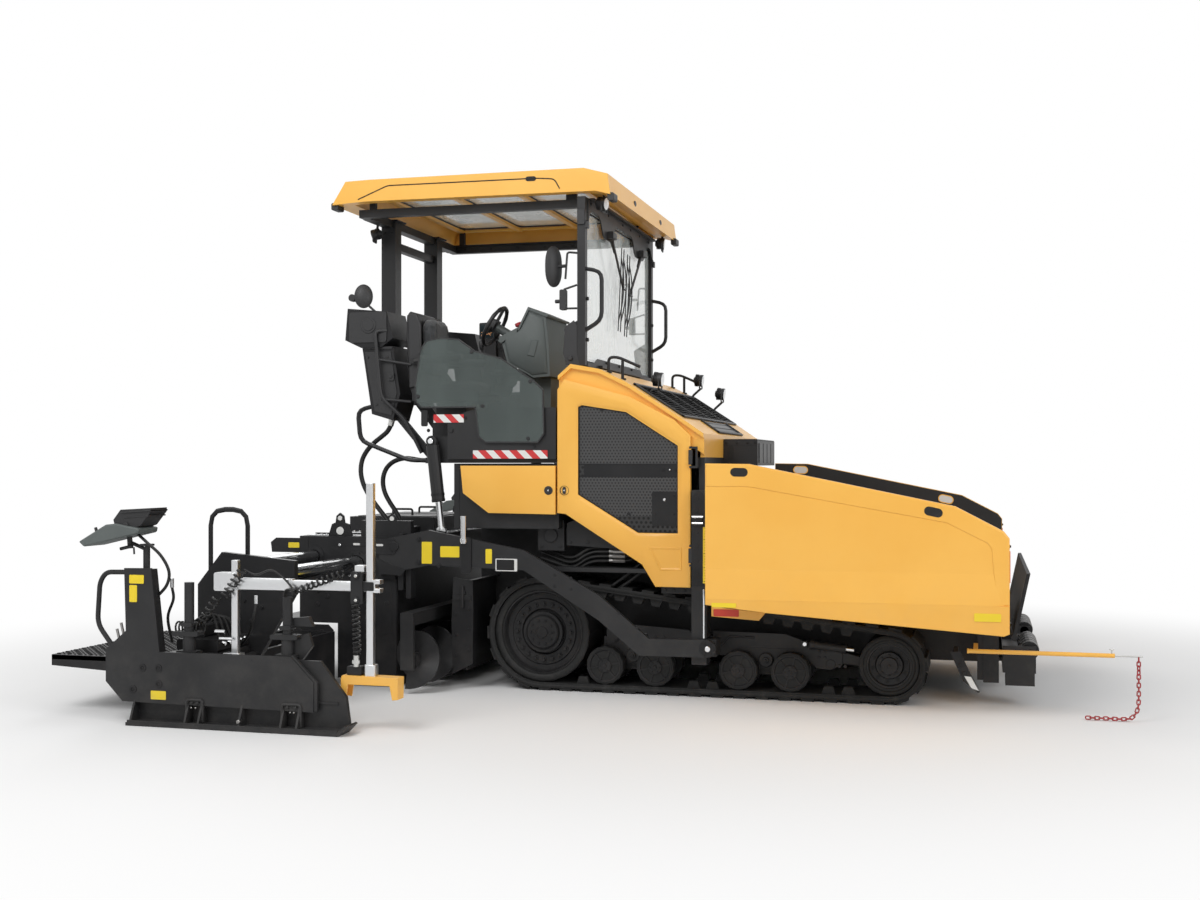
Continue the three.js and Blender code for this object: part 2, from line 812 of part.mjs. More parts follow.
/** The hood's cap: a folded sheet with a lip down its rear and front edges. */
function hood() {
  const under = hoodTop.map(([x, z]) => [x, z - HOOD.wall]).reverse();
  const sheet = sidePlate([...hoodTop, ...under], [-HOOD.halfWidth, HOOD.halfWidth]);
  const skirt = hoodTop.map(([x, z]) => [x, z - HOOD.flange]).reverse();
  const flanges = both((s) => sidePlate(
    [...hoodTop, ...skirt],
    [s * (SKIN_Y - 25), s * (SKIN_Y - SEAT_GAP)],
  ));
  const wallY = SKIN_Y - 20;
  const rear = hoodTop[0];
  const front = hoodTop.at(-1);
  return join(
    sheet,
    flanges,
    box([rear[0] - 3, rear[0] + 25], [-wallY, wallY], [DECK.floorTop + SEAT_GAP, rear[1] - 3]),
    box([front[0] - HOOD.wall, front[0]], [-wallY, wallY], [HOOD.boxTop + SEAT_GAP, front[1] - 3]),
    box(
      [front[0] - HOOD.wall, front[0]],
      [HOOD.boxHalfWidth + 2, wallY],
      [BULKHEAD.top + SEAT_GAP, front[1] - 3],
    ),
    box(
      [front[0] - HOOD.wall, front[0]],
      [-HOOD.boxHalfWidth - 2, -wallY],
      [BULKHEAD.top + SEAT_GAP, front[1] - 3],
    ),
  );
}

const doorEdge = [
  [DOOR.rearX, 2190],
  [-375, 2262],
  [111, 2131],
  [429, 1966],
  [DOOR.frontX, 1853],
  [DOOR.frontX, DOOR.bottom],
  [296, DOOR.bottom],
  [200, 940],
  [-365, 1293],
  [DOOR.rearX, 1300],
];
const doorWindow = [
  [-273, 2080],
  [81, 2023],
  [458, 1782],
  [458, 1164],
  [171, 1164],
  [-273, 1433],
];

/** The side door of the engine bay: a frame with a recessed screen plate in its window. */
function serviceDoor() {
  const screenY = SKIN_Y + DOOR.meshInset - DOOR.meshWall;
  const hingeY = SKIN_Y + PANEL + DOOR.hingeR + 1;
  const hinges = DOOR.hinges.flatMap((z) => [
    bar([DOOR.frontX, hingeY, z - 60], [DOOR.frontX, hingeY, z + 60], DOOR.hingeR, 12),
    box([DOOR.frontX - 50, DOOR.frontX], [SKIN_Y + PANEL - 1, hingeY - 2], [z - 50, z + 50]),
  ]);
  return join(
    sidePlate(outline(doorEdge, doorWindow), [SKIN_Y, SKIN_Y + PANEL]),
    sidePlate(doorWindow, [screenY, screenY + DOOR.meshWall]),
    hinges,
  );
}

/** The yellow cover behind the door, hinged along its rear edge. */
function rearCover() {
  return sidePlate(
    [
      [COVER.rearX, COVER.top],
      [COVER.rearX + 20, 1440],
      [COVER.rearX + 217, COVER.bottom + 6],
      [COVER.frontX, COVER.bottom],
      [COVER.frontX, COVER.top],
    ],
    [SKIN_Y + 15, SKIN_Y + 15 + PANEL],
  );
}

add("hood", hood(), YELLOW);
addPair("service_door", serviceDoor(), YELLOW);
addPair("rear_cover", rearCover(), YELLOW);

// ---- Hopper ----------------------------------------------------------------------------------

/** The middle of the hopper: the conveyor floor between the two tunnels' mouths and the front lip. */
function hopperFloor() {
  const inner = CHASSIS.halfWidth - CHASSIS.wall - 2;
  const top = CHASSIS.tunnelFloor + SEAT_GAP + 24;
  const floor = box(
    [CHASSIS.rearX + 20, CHASSIS.frontX - 10],
    [20, inner],
    [CHASSIS.tunnelFloor + SEAT_GAP, top],
  );
  const otherFloor = box(
    [CHASSIS.rearX + 20, CHASSIS.frontX - 10],
    [-20, -inner],
    [CHASSIS.tunnelFloor + SEAT_GAP, top],
  );
  const slats = [];
  for (let x = CHASSIS.rearX + 120; x < CHASSIS.frontX - 80; x += 300) {
    for (const s of [1, -1]) slats.push(box([x, x + 40], [s * 60, s * (inner - 40)], [top - 1, top + 22]));
  }
  const ridge = endPlate(
    [
      [-22, top - 24],
      [22, top - 24],
      [22, top + 120],
      [0, top + 190],
      [-22, top + 120],
    ],
    [bulkheadX[1] + 4, CHASSIS.frontX - 10],
  );
  const lip = box(
    [CHASSIS.frontX - 40, CHASSIS.frontX - 10],
    [-inner, inner],
    [top - 1, CHASSIS.hopperEdge - 60],
  );
  return join(floor, otherFloor, slats, ridge, lip);
}

const wingSide = [
  [WING.rearX, 1657],
  [1028, 1653],
  [2360, 1382],
  [2660, 1225],
  [WING.frontX, 1180],
  [WING.frontX, 575],
  [2660, 560],
  [1141, 669],
  [WING.rearX, 712],
];

/** A hopper wing: sloping floor, high outer wall and a rear wall, on a hinge tube along its inner edge. */
function hopperWing() {
  const rise = WING.hingeZ + WING.floorRise;
  const innerWall = WING.outerY - WING.wall;
  const floor = endPlate(
    [
      [WING.hingeY, WING.hingeZ - WING.floorWall / 2],
      [innerWall + 1, rise - WING.floorWall / 2],
      [innerWall + 1, rise + WING.floorWall / 2],
      [WING.hingeY, WING.hingeZ + WING.floorWall / 2],
    ],
    [WING.rearX, WING.frontX],
  );
  const rearWall = endPlate(
    [
      [WING.hingeY + 40, WING.hingeZ],
      [innerWall + 1, rise],
      [innerWall + 1, 1600],
      [innerWall - 160, 1600],
    ],
    [WING.rearX, WING.rearX + 30],
  );
  const tube = bar(
    [WING.rearX, WING.hingeY, WING.hingeZ],
    [WING.tubeEndX, WING.hingeY, WING.hingeZ],
    WING.hingeR,
    12,
  );
  const earSpace = box(
    [WING.tubeEndX, WING.tubeEndX + 2 * RUN_GAP + 40],
    [WING.hingeY - 40, WING.hingeY + 55],
    [WING.hingeZ - 60, WING.hingeZ + 60],
  );
  const bore = (from, to) => bar(
    [from, WING.hingeY, WING.hingeZ],
    [to, WING.hingeY, WING.hingeZ],
    boreRadius(WING.pinR),
    PIN_SIDES,
  );
  return cut(
    join(sidePlate(wingSide, [innerWall, WING.outerY]), floor, rearWall, tube),
    earSpace,
    bore(WING.rearX - 1, WING.rearX + 60),
    bore(WING.tubeEndX - 60, WING.tubeEndX + 1),
  );
}

/** The hopper's front apron, leaning out over the push rollers, on a tube along its lower edge. */
function frontApron() {
  const lean = Math.tan(THREE.MathUtils.degToRad(APRON.lean)) * APRON.height;
  const top = APRON.hingeZ + APRON.height;
  const sheet = sidePlate(
    [
      [APRON.hingeX - APRON.wall / 2, APRON.hingeZ],
      [APRON.hingeX + APRON.wall / 2, APRON.hingeZ],
      [APRON.hingeX + lean + APRON.wall / 2, top],
      [APRON.hingeX + lean - APRON.wall / 2, top],
    ],
    [-APRON.halfWidth, APRON.halfWidth],
  );
  const notches = both((s) =>
    box(
      [APRON.hingeX - 60, APRON.hingeX + 80],
      [s * (CHASSIS.halfWidth - CHASSIS.wall - 6), s * (CHASSIS.halfWidth + 6)],
      [APRON.hingeZ - 60, APRON.hingeZ + 75],
    ),
  );
  return cut(sheet, notches).add(
    bar(
      [APRON.hingeX, -APRON.halfWidth, APRON.hingeZ],
      [APRON.hingeX, APRON.halfWidth, APRON.hingeZ],
      APRON.tubeR,
      PIN_SIDES,
    ),
  );
}

add("hopper_floor", hopperFloor(), CHARCOAL);
addPair("hopper_wing", hopperWing(), YELLOW);
add("front_apron", frontApron(), BLACK);

const rollerIn = PUSH.halfLength - 30 - RUN_GAP - PUSH.rollerLength;

/** The push beam, turning about an upright pin in the middle, with a fork for each roller. */
function pushBeam() {
  const low = PUSH.z - PUSH.beamHeight;
  const ends = [rollerIn - RUN_GAP - 30, PUSH.halfLength - 30];
  const parts = [
    box(
      [PUSH.pivotX + 22, PUSH.rollerX - PUSH.rollerR - RUN_GAP],
      [-PUSH.halfLength, PUSH.halfLength],
      [low, PUSH.z],
    ),
    bar([PUSH.pivotX, 0, low], [PUSH.pivotX, 0, PUSH.z], 60, 12),
  ];
  for (const s of [1, -1]) {
    for (const y of ends) {
      parts.push(box([PUSH.pivotX + 24, PUSH.rollerX + 40], [s * y, s * (y + 30)], [low, PUSH.z + 34]));
    }
    const block = [s * (PUSH.halfLength - 200), s * PUSH.halfLength];
    parts.push(box([PUSH.pivotX + 40, PUSH.rollerX + 32], block, [PUSH.z - 236, PUSH.z - 86]));
    parts.push(box([PUSH.pivotX + 40, PUSH.pivotX + 60], block, [PUSH.z - 236, low + 1]));
  }
  const axles = both((s) => rollerAxle(s, boreRadius(PUSH.axleR), 1));
  return cut(
    join(parts),
    axles,
    bar([PUSH.pivotX, 0, low - 1], [PUSH.pivotX, 0, PUSH.z + 1], boreRadius(PUSH.pinR), PIN_SIDES),
  );
}

function rollerAxle(s, r, past) {
  const from = rollerIn - RUN_GAP - 24 - past;
  const to = PUSH.halfLength - 6 + 7 * past;
  return bar([PUSH.rollerX, s * from, PUSH.z], [PUSH.rollerX, s * to, PUSH.z], r, PIN_SIDES);
}

function pushRoller() {
  const drum = bar(
    [PUSH.rollerX, rollerIn, PUSH.z],
    [PUSH.rollerX, rollerIn + PUSH.rollerLength, PUSH.z],
    PUSH.rollerR,
    16,
  );
  return drum.add(rollerAxle(1, PUSH.axleR, 0));
}

add("push_beam", pushBeam(), CHARCOAL);
addPair("push_roller", pushRoller(), BLACK);

// ---- Operator deck ---------------------------------------------------------------------------

const deckTop = DECK.floorTop;
const deckUnder = DECK.floorTop - DECK.floorWall;
const liftInner = LIFT.y - LIFT.barrelR - RUN_GAP;

// The kick plate along the rear edge stands in three lengths between the legs of the canopy and the guard.
const KICK = { wall: 10, height: 60, middleY: 380, innerY: 520, outerY: 1015 };

/** The deck: floor, low side walls with stand-offs for the wind screens, and a rear kick plate. */
function operatorPlatform() {
  const parts = [
    floorPlate(
      [
        [DECK.frontX - 8, -DECK.halfWidth + 45],
        [DECK.frontX - 8, DECK.halfWidth - 45],
        [DECK.sideRearX, DECK.halfWidth - 45],
        [DECK.sideRearX - 15, liftInner],
        [DECK.rearX, DECK.rearHalfWidth],
        [DECK.rearX, -DECK.rearHalfWidth],
        [DECK.sideRearX - 15, -liftInner],
        [DECK.sideRearX, -DECK.halfWidth + 45],
      ],
      [deckUnder, deckTop],
    ),
    box(
      [DECK.rearX, DECK.rearX + KICK.wall],
      [-KICK.middleY, KICK.middleY],
      [deckTop - 1, deckTop + KICK.height],
    ),
  ];
  for (const s of [1, -1]) {
    const outer = s * DECK.halfWidth;
    const inner = s * (DECK.halfWidth - 50);
    parts.push(
      sidePlate(
        [
          [DECK.sideRearX, deckTop - 12],
          [-440, deckTop - 12],
          [-440, 2060],
          [-1040, 2060],
          [DECK.sideRearX, 1990],
        ],
        [inner, outer],
      ),
    );
    for (const [x, z] of [
      [-1240, 1900],
      [-1000, 1880],
      [-600, 1870],
    ]) {
      parts.push(bar([x, outer - s, z], [x, s * (DECK.halfWidth + 12), z], 16, 6));
    }
    parts.push(box(
      [DECK.rearX, DECK.rearX + KICK.wall],
      [s * KICK.innerY, s * KICK.outerY],
      [deckTop - 1, deckTop + KICK.height],
    ));
    // Ear and pin that the lift cylinder hangs on.
    parts.push(
      box([LIFT.topX - 40, DECK.sideRearX - 10], [s * 1080, s * liftInner], [deckUnder, LIFT.topZ + 36]),
      bar(
        [LIFT.topX, s * (liftInner - 1), LIFT.topZ],
        [LIFT.topX, s * (LIFT.y + 28), LIFT.topZ],
        LIFT.pinR,
        PIN_SIDES,
      ),
    );
    // Seat riser on each side.
    parts.push(box(
      [SEAT.x - 60, SEAT.x + 240],
      [s * (SEAT.centreY - 170), s * (SEAT.centreY + 170)],
      [deckTop - 1, SEAT.cushionZ - 180],
    ));
  }
  return join(parts);
}

/** The smoked wind screen outside the deck wall. */
function sideShield() {
  const y = DECK.halfWidth + 12 + SEAT_GAP;
  return sidePlate(
    [
      [-1519, 2232],
      [-1477, 2488],
      [-1434, 2559],
      [-1309, 2580],
      [-1176, 2566],
      [-1052, 2479],
      [-852, 2423],
      [-602, 2257],
      [-528, 2186],
      [-521, 1871],
      [-568, 1807],
      [-965, 1809],
      [-1020, 1850],
      [-1048, 2066],
      [-1470, 2068],
      [-1510, 2110],
    ],
    [y, y + SHIELD_WALL],
  );
}

/** The seat's pan and shell with its arm rests, standing on the riser. */
function seatBase() {
  const y = SEAT.centreY;
  const under = SEAT.cushionZ - 180 + SEAT_GAP;
  const back = SEAT.x - 130;
  const arms = both((s) =>
    bentBar(
      [
        [back - 30, y + s * (SEAT.width / 2 + 25), SEAT.cushionZ + 230],
        [back + 330, y + s * (SEAT.width / 2 + 25), SEAT.cushionZ + 240],
      ],
      26,
    ),
  );
  return join(
    box([SEAT.x - 40, SEAT.x + 200], [y - 140, y + 140], [under, SEAT.cushionZ - 60]),
    box(
      [back, SEAT.x + SEAT.depth - 130],
      [y - SEAT.width / 2, y + SEAT.width / 2],
      [SEAT.cushionZ - 61, SEAT.cushionZ - 20],
    ),
    box(
      [back - 70, back - 20],
      [y - SEAT.width / 2 + 20, y + SEAT.width / 2 - 20],
      [SEAT.cushionZ - 60, SEAT.cushionZ + SEAT.height - 40],
    ),
    box(
      [back - 70, back + 1],
      [y - SEAT.width / 2 + 20, y + SEAT.width / 2 - 20],
      [SEAT.cushionZ - 61, SEAT.cushionZ - 21],
    ),
    box(
      [back - 60, back - 30],
      [y - SEAT.width / 2 - 40, y + SEAT.width / 2 + 40],
      [SEAT.cushionZ + 215, SEAT.cushionZ + 255],
    ),
    arms,
  );
}

/** The padded seat and back in one piece. */
function seatCushion() {
  const y = SEAT.centreY;
  const back = SEAT.x - 150 + SEAT_GAP;
  const low = SEAT.cushionZ - 20 + SEAT_GAP;
  return sidePlate(
    [
      [back, low],
      [SEAT.x + SEAT.depth - 130, low],
      [SEAT.x + SEAT.depth - 130, low + 90],
      [back + 130, low + 110],
      [back + 95, SEAT.cushionZ + SEAT.height - 10],
      [back, SEAT.cushionZ + SEAT.height],
    ],
    [y - SEAT.width / 2 + 12, y + SEAT.width / 2 - 12],
  );
}

/** The driving console: a pedestal with a sloping desk, a display hood and the wheel's column. */
function consoleDesk() {
  const [y0, y1] = [CONSOLE.centreY - CONSOLE.width / 2, CONSOLE.centreY + CONSOLE.width / 2];
  const tilt = THREE.MathUtils.degToRad(STEERING.tilt);
  const along = (t) => [STEERING.x + t * Math.cos(tilt), STEERING.y, STEERING.z - t * Math.sin(tilt)];
  return join(
    box([-900, -650], [CONSOLE.centreY - 160, CONSOLE.centreY + 160], [deckTop + SEAT_GAP, 2330]),
    sidePlate(
      [
        [-960, 2425],
        [-750, 2305],
        [-620, 2315],
        [-630, 2535],
        [-655, 2770],
        [-790, 2830],
        [-870, 2665],
        [-1010, 2600],
      ],
      [y0, y1],
    ),
    bar(along(22 + SEAT_GAP), along(230), 34, 12),
  );
}

/** The steering wheel: a ring, three spokes and a hub in front of the column. */
function steeringWheel() {
  const parts = [];
  const ring = new THREE.TorusGeometry(STEERING.ringR, STEERING.tubeR, 6, 18);
  const hub = new THREE.CylinderGeometry(42, 42, 44, 10);
  hub.rotateX(Math.PI / 2);
  const spokes = [90, 210, 330].map((degrees) => {
    const spoke = new THREE.BoxGeometry(STEERING.ringR, 30, 12);
    spoke.translate(STEERING.ringR / 2, 0, 0);
    spoke.rotateZ(THREE.MathUtils.degToRad(degrees));
    return spoke;
  });
  for (const geometry of [ring, hub, ...spokes]) {
    geometry.applyMatrix4(new THREE.Matrix4().set(0, 0, 1, 0, 1, 0, 0, 0, 0, 1, 0, 0, 0, 0, 0, 1));
    geometry.rotateY(THREE.MathUtils.degToRad(STEERING.tilt));
    geometry.translate(STEERING.x, STEERING.y, STEERING.z);
    parts.push(solid(geometry));
  }
  return join(parts);
}

/** A flat leg that leans back from the rear edge of the deck to a point behind and above it. */
function leaningLeg(topX, topZ, width, y) {
  const foot = DECK.rearX + 14;
  const low = deckTop + SEAT_GAP;
  return sidePlate(
    [
      [foot, low],
      [foot + width, low],
      [topX + width, topZ],
      [topX, topZ],
    ],
    y,
  );
}

/** The guard behind the seats: two leaning lockers with boxes above, joined by a rail, and hand rails. */
function rearGuard() {
  const parts = [bentBar([[-1900, -1000, 2600], [-1900, 1000, 2600]], 24)];
  for (const s of [1, -1]) {
    const [inner, outer] = [s * 800, s * 1120];
    parts.push(
      sidePlate(
        [
          [-1930, 2030],
          [-1760, 1980],
          [-1700, 2180],
          [-1760, 2540],
          [-2010, 2540],
        ],
        [inner, outer],
      ),
      sidePlate(
        [
          [-2140, 2590],
          [-2120, 2830],
          [-1800, 2800],
          [-1750, 2600],
          [-1850, 2530],
          [-2010, 2530],
        ],
        [s * 780, s * 1140],
      ),
      leaningLeg(-1855, 2100, 70, [s * 1025, s * 1058]),
      bentBar(
        [
          [-1850, s * 1085, 2110],
          [-2060, s * 1085, 2060],
          [-2040, s * 1085, 1830],
          [-1660, s * 1040, deckTop - 20],
          [DECK.rearX - SEAT_GAP, s * 1040, deckTop - 20],
        ],
        18,
      ),
    );
  }
  return join(parts);
}

add("operator_platform", operatorPlatform(), CHARCOAL);
addPair("side_shield", sideShield(), SMOKED);
addPair("seat_base", seatBase(), CHARCOAL);
addPair("seat_cushion", seatCushion(), FABRIC);
add("console", consoleDesk(), GREY);
add("steering_wheel", steeringWheel(), BLACK);
add("rear_guard", rearGuard(), BLACK);

// ---- Canopy ----------------------------------------------------------------------------------

const roofLow = ROOF.top - ROOF.fascia;
const roofSide = [
  [ROOF.rearX, roofLow - 28],
  [ROOF.rearX + 110, ROOF.top - 6],
  [ROOF.rearX + 300, ROOF.top],
  [-260, ROOF.top],
  [-80, ROOF.top - 50],
  [ROOF.frontX, roofLow - 50],
  [ROOF.frontX - 110, roofLow - 20],
  [ROOF.rearX + 280, roofLow - 12],
];
const skylights = { rearX: -1960, frontX: -420, halfWidth: 900, columns: 3 };

/** The canopy roof: a shell open below with six skylight openings. */
function canopyRoof() {
  const hollow = sidePlate(
    [
      [ROOF.rearX + 130, roofLow - 60],
      [ROOF.rearX + 190, ROOF.top - ROOF.wall],
      [-300, ROOF.top - ROOF.wall],
      [-190, roofLow - 80],
    ],
    [-ROOF.halfWidth + 90, ROOF.halfWidth - 90],
  );
  const pitch = (skylights.frontX - skylights.rearX + ROOF.rib) / skylights.columns;
  const windows = [];
  for (let i = 0; i < skylights.columns; i += 1) {
    const x = skylights.rearX + i * pitch;
    for (const s of [1, -1]) {
      windows.push(box(
        [x, x + pitch - ROOF.rib],
        [(s * ROOF.rib) / 2, s * skylights.halfWidth],
        [ROOF.top - ROOF.wall - 1, ROOF.top + 1],
      ));
    }
  }
  return cut(sidePlate(roofSide, [-ROOF.halfWidth, ROOF.halfWidth]), hollow, windows);
}

/** One clear sheet under the roof that closes the skylights. */
function roofPanes() {
  const top = ROOF.top - ROOF.wall - SEAT_GAP;
  return box(
    [skylights.rearX - 40, skylights.frontX + 40],
    [-skylights.halfWidth - 40, skylights.halfWidth + 40],
    [top - ROOF.pane, top],
  );
}

/** The two rear posts with cross bars and the rails that carry the roof. */
function canopyRearFrame() {
  const half = POST.size / 2;
  const parts = [
    box([POST.rearX - 30, POST.rearX + 30], [-POST.rearY, POST.rearY], [3380, 3440]),
    box([POST.rearX - 40, POST.rearX + 40], [-900, 900], [POST.top - 60, POST.top]),
    box(
      [POST.rearX - 25, POST.rearX + 25],
      [-POST.rearY, POST.rearY],
      [POST.bottom + 10, POST.bottom + 55],
    ),
  ];
  for (const s of [1, -1]) {
    parts.push(
      box(
        [POST.rearX - half, POST.rearX + half],
        [s * (POST.rearY - half), s * (POST.rearY + half)],
        [POST.bottom, POST.top],
      ),
      leaningLeg(
        POST.rearX - half,
        POST.bottom + 60,
        POST.size,
        [s * (POST.rearY - half + 5), s * (POST.rearY + half - 5)],
      ),
      box([POST.rearX - 30, SCREEN.x - 50], [s * 940, s * 1000], [POST.top - 60, POST.top]),
      box([POST.rearX - 30, POST.rearX + 30], [s * 890, s * 1000], [POST.top - 60, POST.top]),
      box(
        [POST.rearX + 50, POST.rearX + 100],
        [s * 955, s * 985],
        [POST.top - 1, ROOF.top - ROOF.wall - ROOF.pane - 2 * SEAT_GAP],
      ),
      box(
        [SCREEN.x - 150, SCREEN.x - 70],
        [s * 955, s * 985],
        [POST.top - 1, ROOF.top - ROOF.wall - SEAT_GAP],
      ),
    );
  }
  return join(parts);
}

/** The windscreen frame: two posts standing on the hood, head and sill bars and grab handles. */
function windshieldFrame() {
  const { x, postY, post, bottom, top } = SCREEN;
  const parts = [
    box([x - post / 2, x + post / 2], [-postY, postY], [top - 60, top]),
    box([x - 26, x + 26], [-postY, postY], [bottom + 1, bottom + 26]),
  ];
  for (const s of [1, -1]) {
    parts.push(
      box([x - post / 2, x + post / 2], [s * (postY - post / 2), s * (postY + post / 2)], [bottom, top]),
      sidePlate(
        [
          [x - 130, 2640],
          [x - post / 2 + 1, 2700],
          [x - post / 2 + 1, 2400],
          [x - 60, 2372],
          [x - 112, 2440],
        ],
        [s * (postY - 22), s * (postY + 22)],
      ),
      bentBar(
        [
          [x + 10, s * postY, 3080],
          [x + 150, s * (postY + 10), 3050],
          [x + 150, s * (postY + 10), 2700],
          [x + 10, s * postY, 2620],
        ],
        16,
      ),
    );
  }
  return join(parts);
}

add("canopy_roof", canopyRoof(), YELLOW);
add("roof_panes", roofPanes(), GLASS);
add("canopy_rear_frame", canopyRearFrame(), CHARCOAL);
add("windshield_frame", windshieldFrame(), CHARCOAL);
add(
  "windshield_glass",
  box(
    [SCREEN.x - SCREEN.glassWall / 2, SCREEN.x + SCREEN.glassWall / 2],
    [-SCREEN.postY + SCREEN.post / 2 + SEAT_GAP, SCREEN.postY - SCREEN.post / 2 - SEAT_GAP],
    [SCREEN.glassBottom, SCREEN.top - 60 - SEAT_GAP],
  ),
  GLASS,
);

// ---- Screed ----------------------------------------------------------------------------------

/** A tow arm: a cranked plate from the tow pivot back to the side of the screed. */
function towArm() {
  const pivot = [TOW.pivotX, TOW.innerY + TOW.wall / 2, TOW.pivotZ];
  const arm = sidePlate(
    [
      [SCREED.frontX - 110, 1090],
      [-1387, 1168],
      [-655, 1033],
      [-95, 722],
      [270, 425],
      [TOW.pivotX, TOW.pivotZ + 62],
      [TOW.pivotX + 55, TOW.pivotZ + 30],
      [TOW.pivotX + 55, TOW.pivotZ - 30],
      [TOW.pivotX, TOW.pivotZ - 62],
      [197, 306],
      [-95, 544],
      [-655, 889],
      [-1387, 911],
      [SCREED.frontX - 110, 830],
    ],
    [TOW.innerY, TOW.innerY + TOW.wall],
  );
  const bore = bar(
    [pivot[0], pivot[1] - TOW.wall, pivot[2]],
    [pivot[0], pivot[1] + TOW.wall, pivot[2]],
    boreRadius(TOW.pinR),
    PIN_SIDES,
  );
  return arm.subtract(bore);
}

const screedX = [SCREED.rearX, SCREED.frontX];
const screedY = [-SCREED.halfWidth, SCREED.halfWidth];

/** The main screed: an open-topped tub on the sole plate, end plates, tube housings and top covers. */
function screedFrame() {
  const tub = cut(
    box(screedX, screedY, [0, SCREED.boxTop]),
    box(
      [SCREED.rearX + SCREED.plate, SCREED.frontX - SCREED.plate],
      [-SCREED.halfWidth + 2 * SCREED.plate, SCREED.halfWidth - 2 * SCREED.plate],
      [SCREED.plate, SCREED.boxTop + 1],
    ),
  );
  const upperRear = TUBE.guideX - 120;
  const parts = [
    tub,
    box(
      [TUBE.mainX - 60, TUBE.mainX + 60],
      screedY,
      [TUBE.mainZ - TUBE.mainR - TUBE.wall, TUBE.mainZ + TUBE.mainR + TUBE.wall],
    ),
    box(
      [TUBE.guideX - TUBE.guideR - TUBE.wall, TUBE.guideX + TUBE.guideR + TUBE.wall],
      screedY,
      [TUBE.guideZ - TUBE.guideR - TUBE.wall, TUBE.guideZ + TUBE.guideR + TUBE.wall],
    ),
    box(
      [upperRear, SCREED.frontX + 130],
      [-SCREED.halfWidth + 60, SCREED.halfWidth - 60],
      [SCREED.frameTop - 30, SCREED.frameTop],
    ),
    box([upperRear + 60, SCREED.frontX], [-520, -40], [SCREED.frameTop - 1, SCREED.coverTop]),
    box([upperRear + 60, SCREED.frontX], [40, 520], [SCREED.frameTop - 1, SCREED.coverTop]),
    box([SCREED.frontX - 30, SCREED.frontX], [-900, -860], [SCREED.boxTop - 1, SCREED.frameTop]),
    box([SCREED.frontX - 30, SCREED.frontX], [860, 900], [SCREED.boxTop - 1, SCREED.frameTop]),
    // Fixed tread plate behind the main screed, above the extensions.
    box([WALKWAY.hingeX + 60, EXTENSION.frontX], screedY, [EXTENSION.boxTop + 60, EXTENSION.boxTop + 90]),
  ];
  for (const s of [1, -1]) {
    parts.push(
      sidePlate(
        [
          [SCREED.frontX, 0],
          [SCREED.frontX, SCREED.frameTop],
          [upperRear, SCREED.frameTop],
          [upperRear, EXTENSION.boxTop + 60],
          [SCREED.rearX, EXTENSION.boxTop + 60],
          [SCREED.rearX, 0],
        ],
        [s * (SCREED.halfWidth - SCREED.plate), s * SCREED.halfWidth],
      ),
      // Foot that the tow arm bolts to.
      box(
        [SCREED.frontX - 160, SCREED.frontX],
        [s * (SCREED.halfWidth - 1), s * (TOW.innerY - SEAT_GAP)],
        [800, 1080],
      ),
      box(
        [SCREED.frontX - 300, SCREED.frontX + 100],
        [s * 1180, s * 1240],
        [SCREED.frameTop - 1, SCREED.coverTop],
      ),
    );
  }
  return cut(join(parts), tubeBores(1), tubeBores(-1));
}

/** The bores of both telescopic tubes on one side. */
function tubeBores(s) {
  return join(
    bar(
      [TUBE.mainX, 0, TUBE.mainZ],
      [TUBE.mainX, s * (SCREED.halfWidth + 1), TUBE.mainZ],
      TUBE.mainR + PIN_GAP,
      14,
    ),
    bar(
      [TUBE.guideX, 0, TUBE.guideZ],
      [TUBE.guideX, s * (SCREED.halfWidth + 1), TUBE.guideZ],
      TUBE.guideR + PIN_GAP,
      12,
    ),
  );
}

/** A screed extension: its sole box, carrier plate and the two telescopic tubes that hold it. */
function screedExtension() {
  const { frontX, rearX, innerY, outerY, boxTop, carrierY } = EXTENSION;
  const tub = cut(
    box([rearX, frontX], [innerY, outerY], [0, boxTop]),
    box(
      [rearX + SCREED.plate, frontX - SCREED.plate],
      [innerY + SCREED.plate, outerY - SCREED.plate],
      [SCREED.plate, boxTop + 1],
    ),
  );
  const carrier = sidePlate(
    [
      [rearX, boxTop - 60],
      [frontX, boxTop - 60],
      [TUBE.mainX + 110, TUBE.mainZ - 110],
      [TUBE.mainX + 110, TUBE.mainZ + 110],
      [TUBE.guideX - 90, TUBE.guideZ + 100],
      [rearX, TUBE.guideZ - 120],
    ],
    [carrierY, carrierY + 50],
  );
  return join(
    tub,
    carrier,
    box([rearX + 60, frontX - 60], [carrierY - 350, outerY], [boxTop - 20, boxTop + 40]),
    bar([TUBE.mainX, TUBE.innerY, TUBE.mainZ], [TUBE.mainX, carrierY + 1, TUBE.mainZ], TUBE.mainR, 14),
    bar([TUBE.guideX, TUBE.innerY, TUBE.guideZ], [TUBE.guideX, carrierY + 1, TUBE.guideZ], TUBE.guideR, 12),
    // Slide rail on the outer end for the end gate, and the walkway's hinge lugs.
    box([rearX + 120, rearX + 220], [outerY - 1, GATE.innerY - SEAT_GAP], [60, boxTop - 20]),
    box([frontX - 220, frontX - 120], [outerY - 1, GATE.innerY - SEAT_GAP], [60, boxTop - 20]),
    hoopRail(),
    [WALKWAY.innerY + 200, WALKWAY.outerY - 260].map((y) => walkwayLug(y)),
  );
}

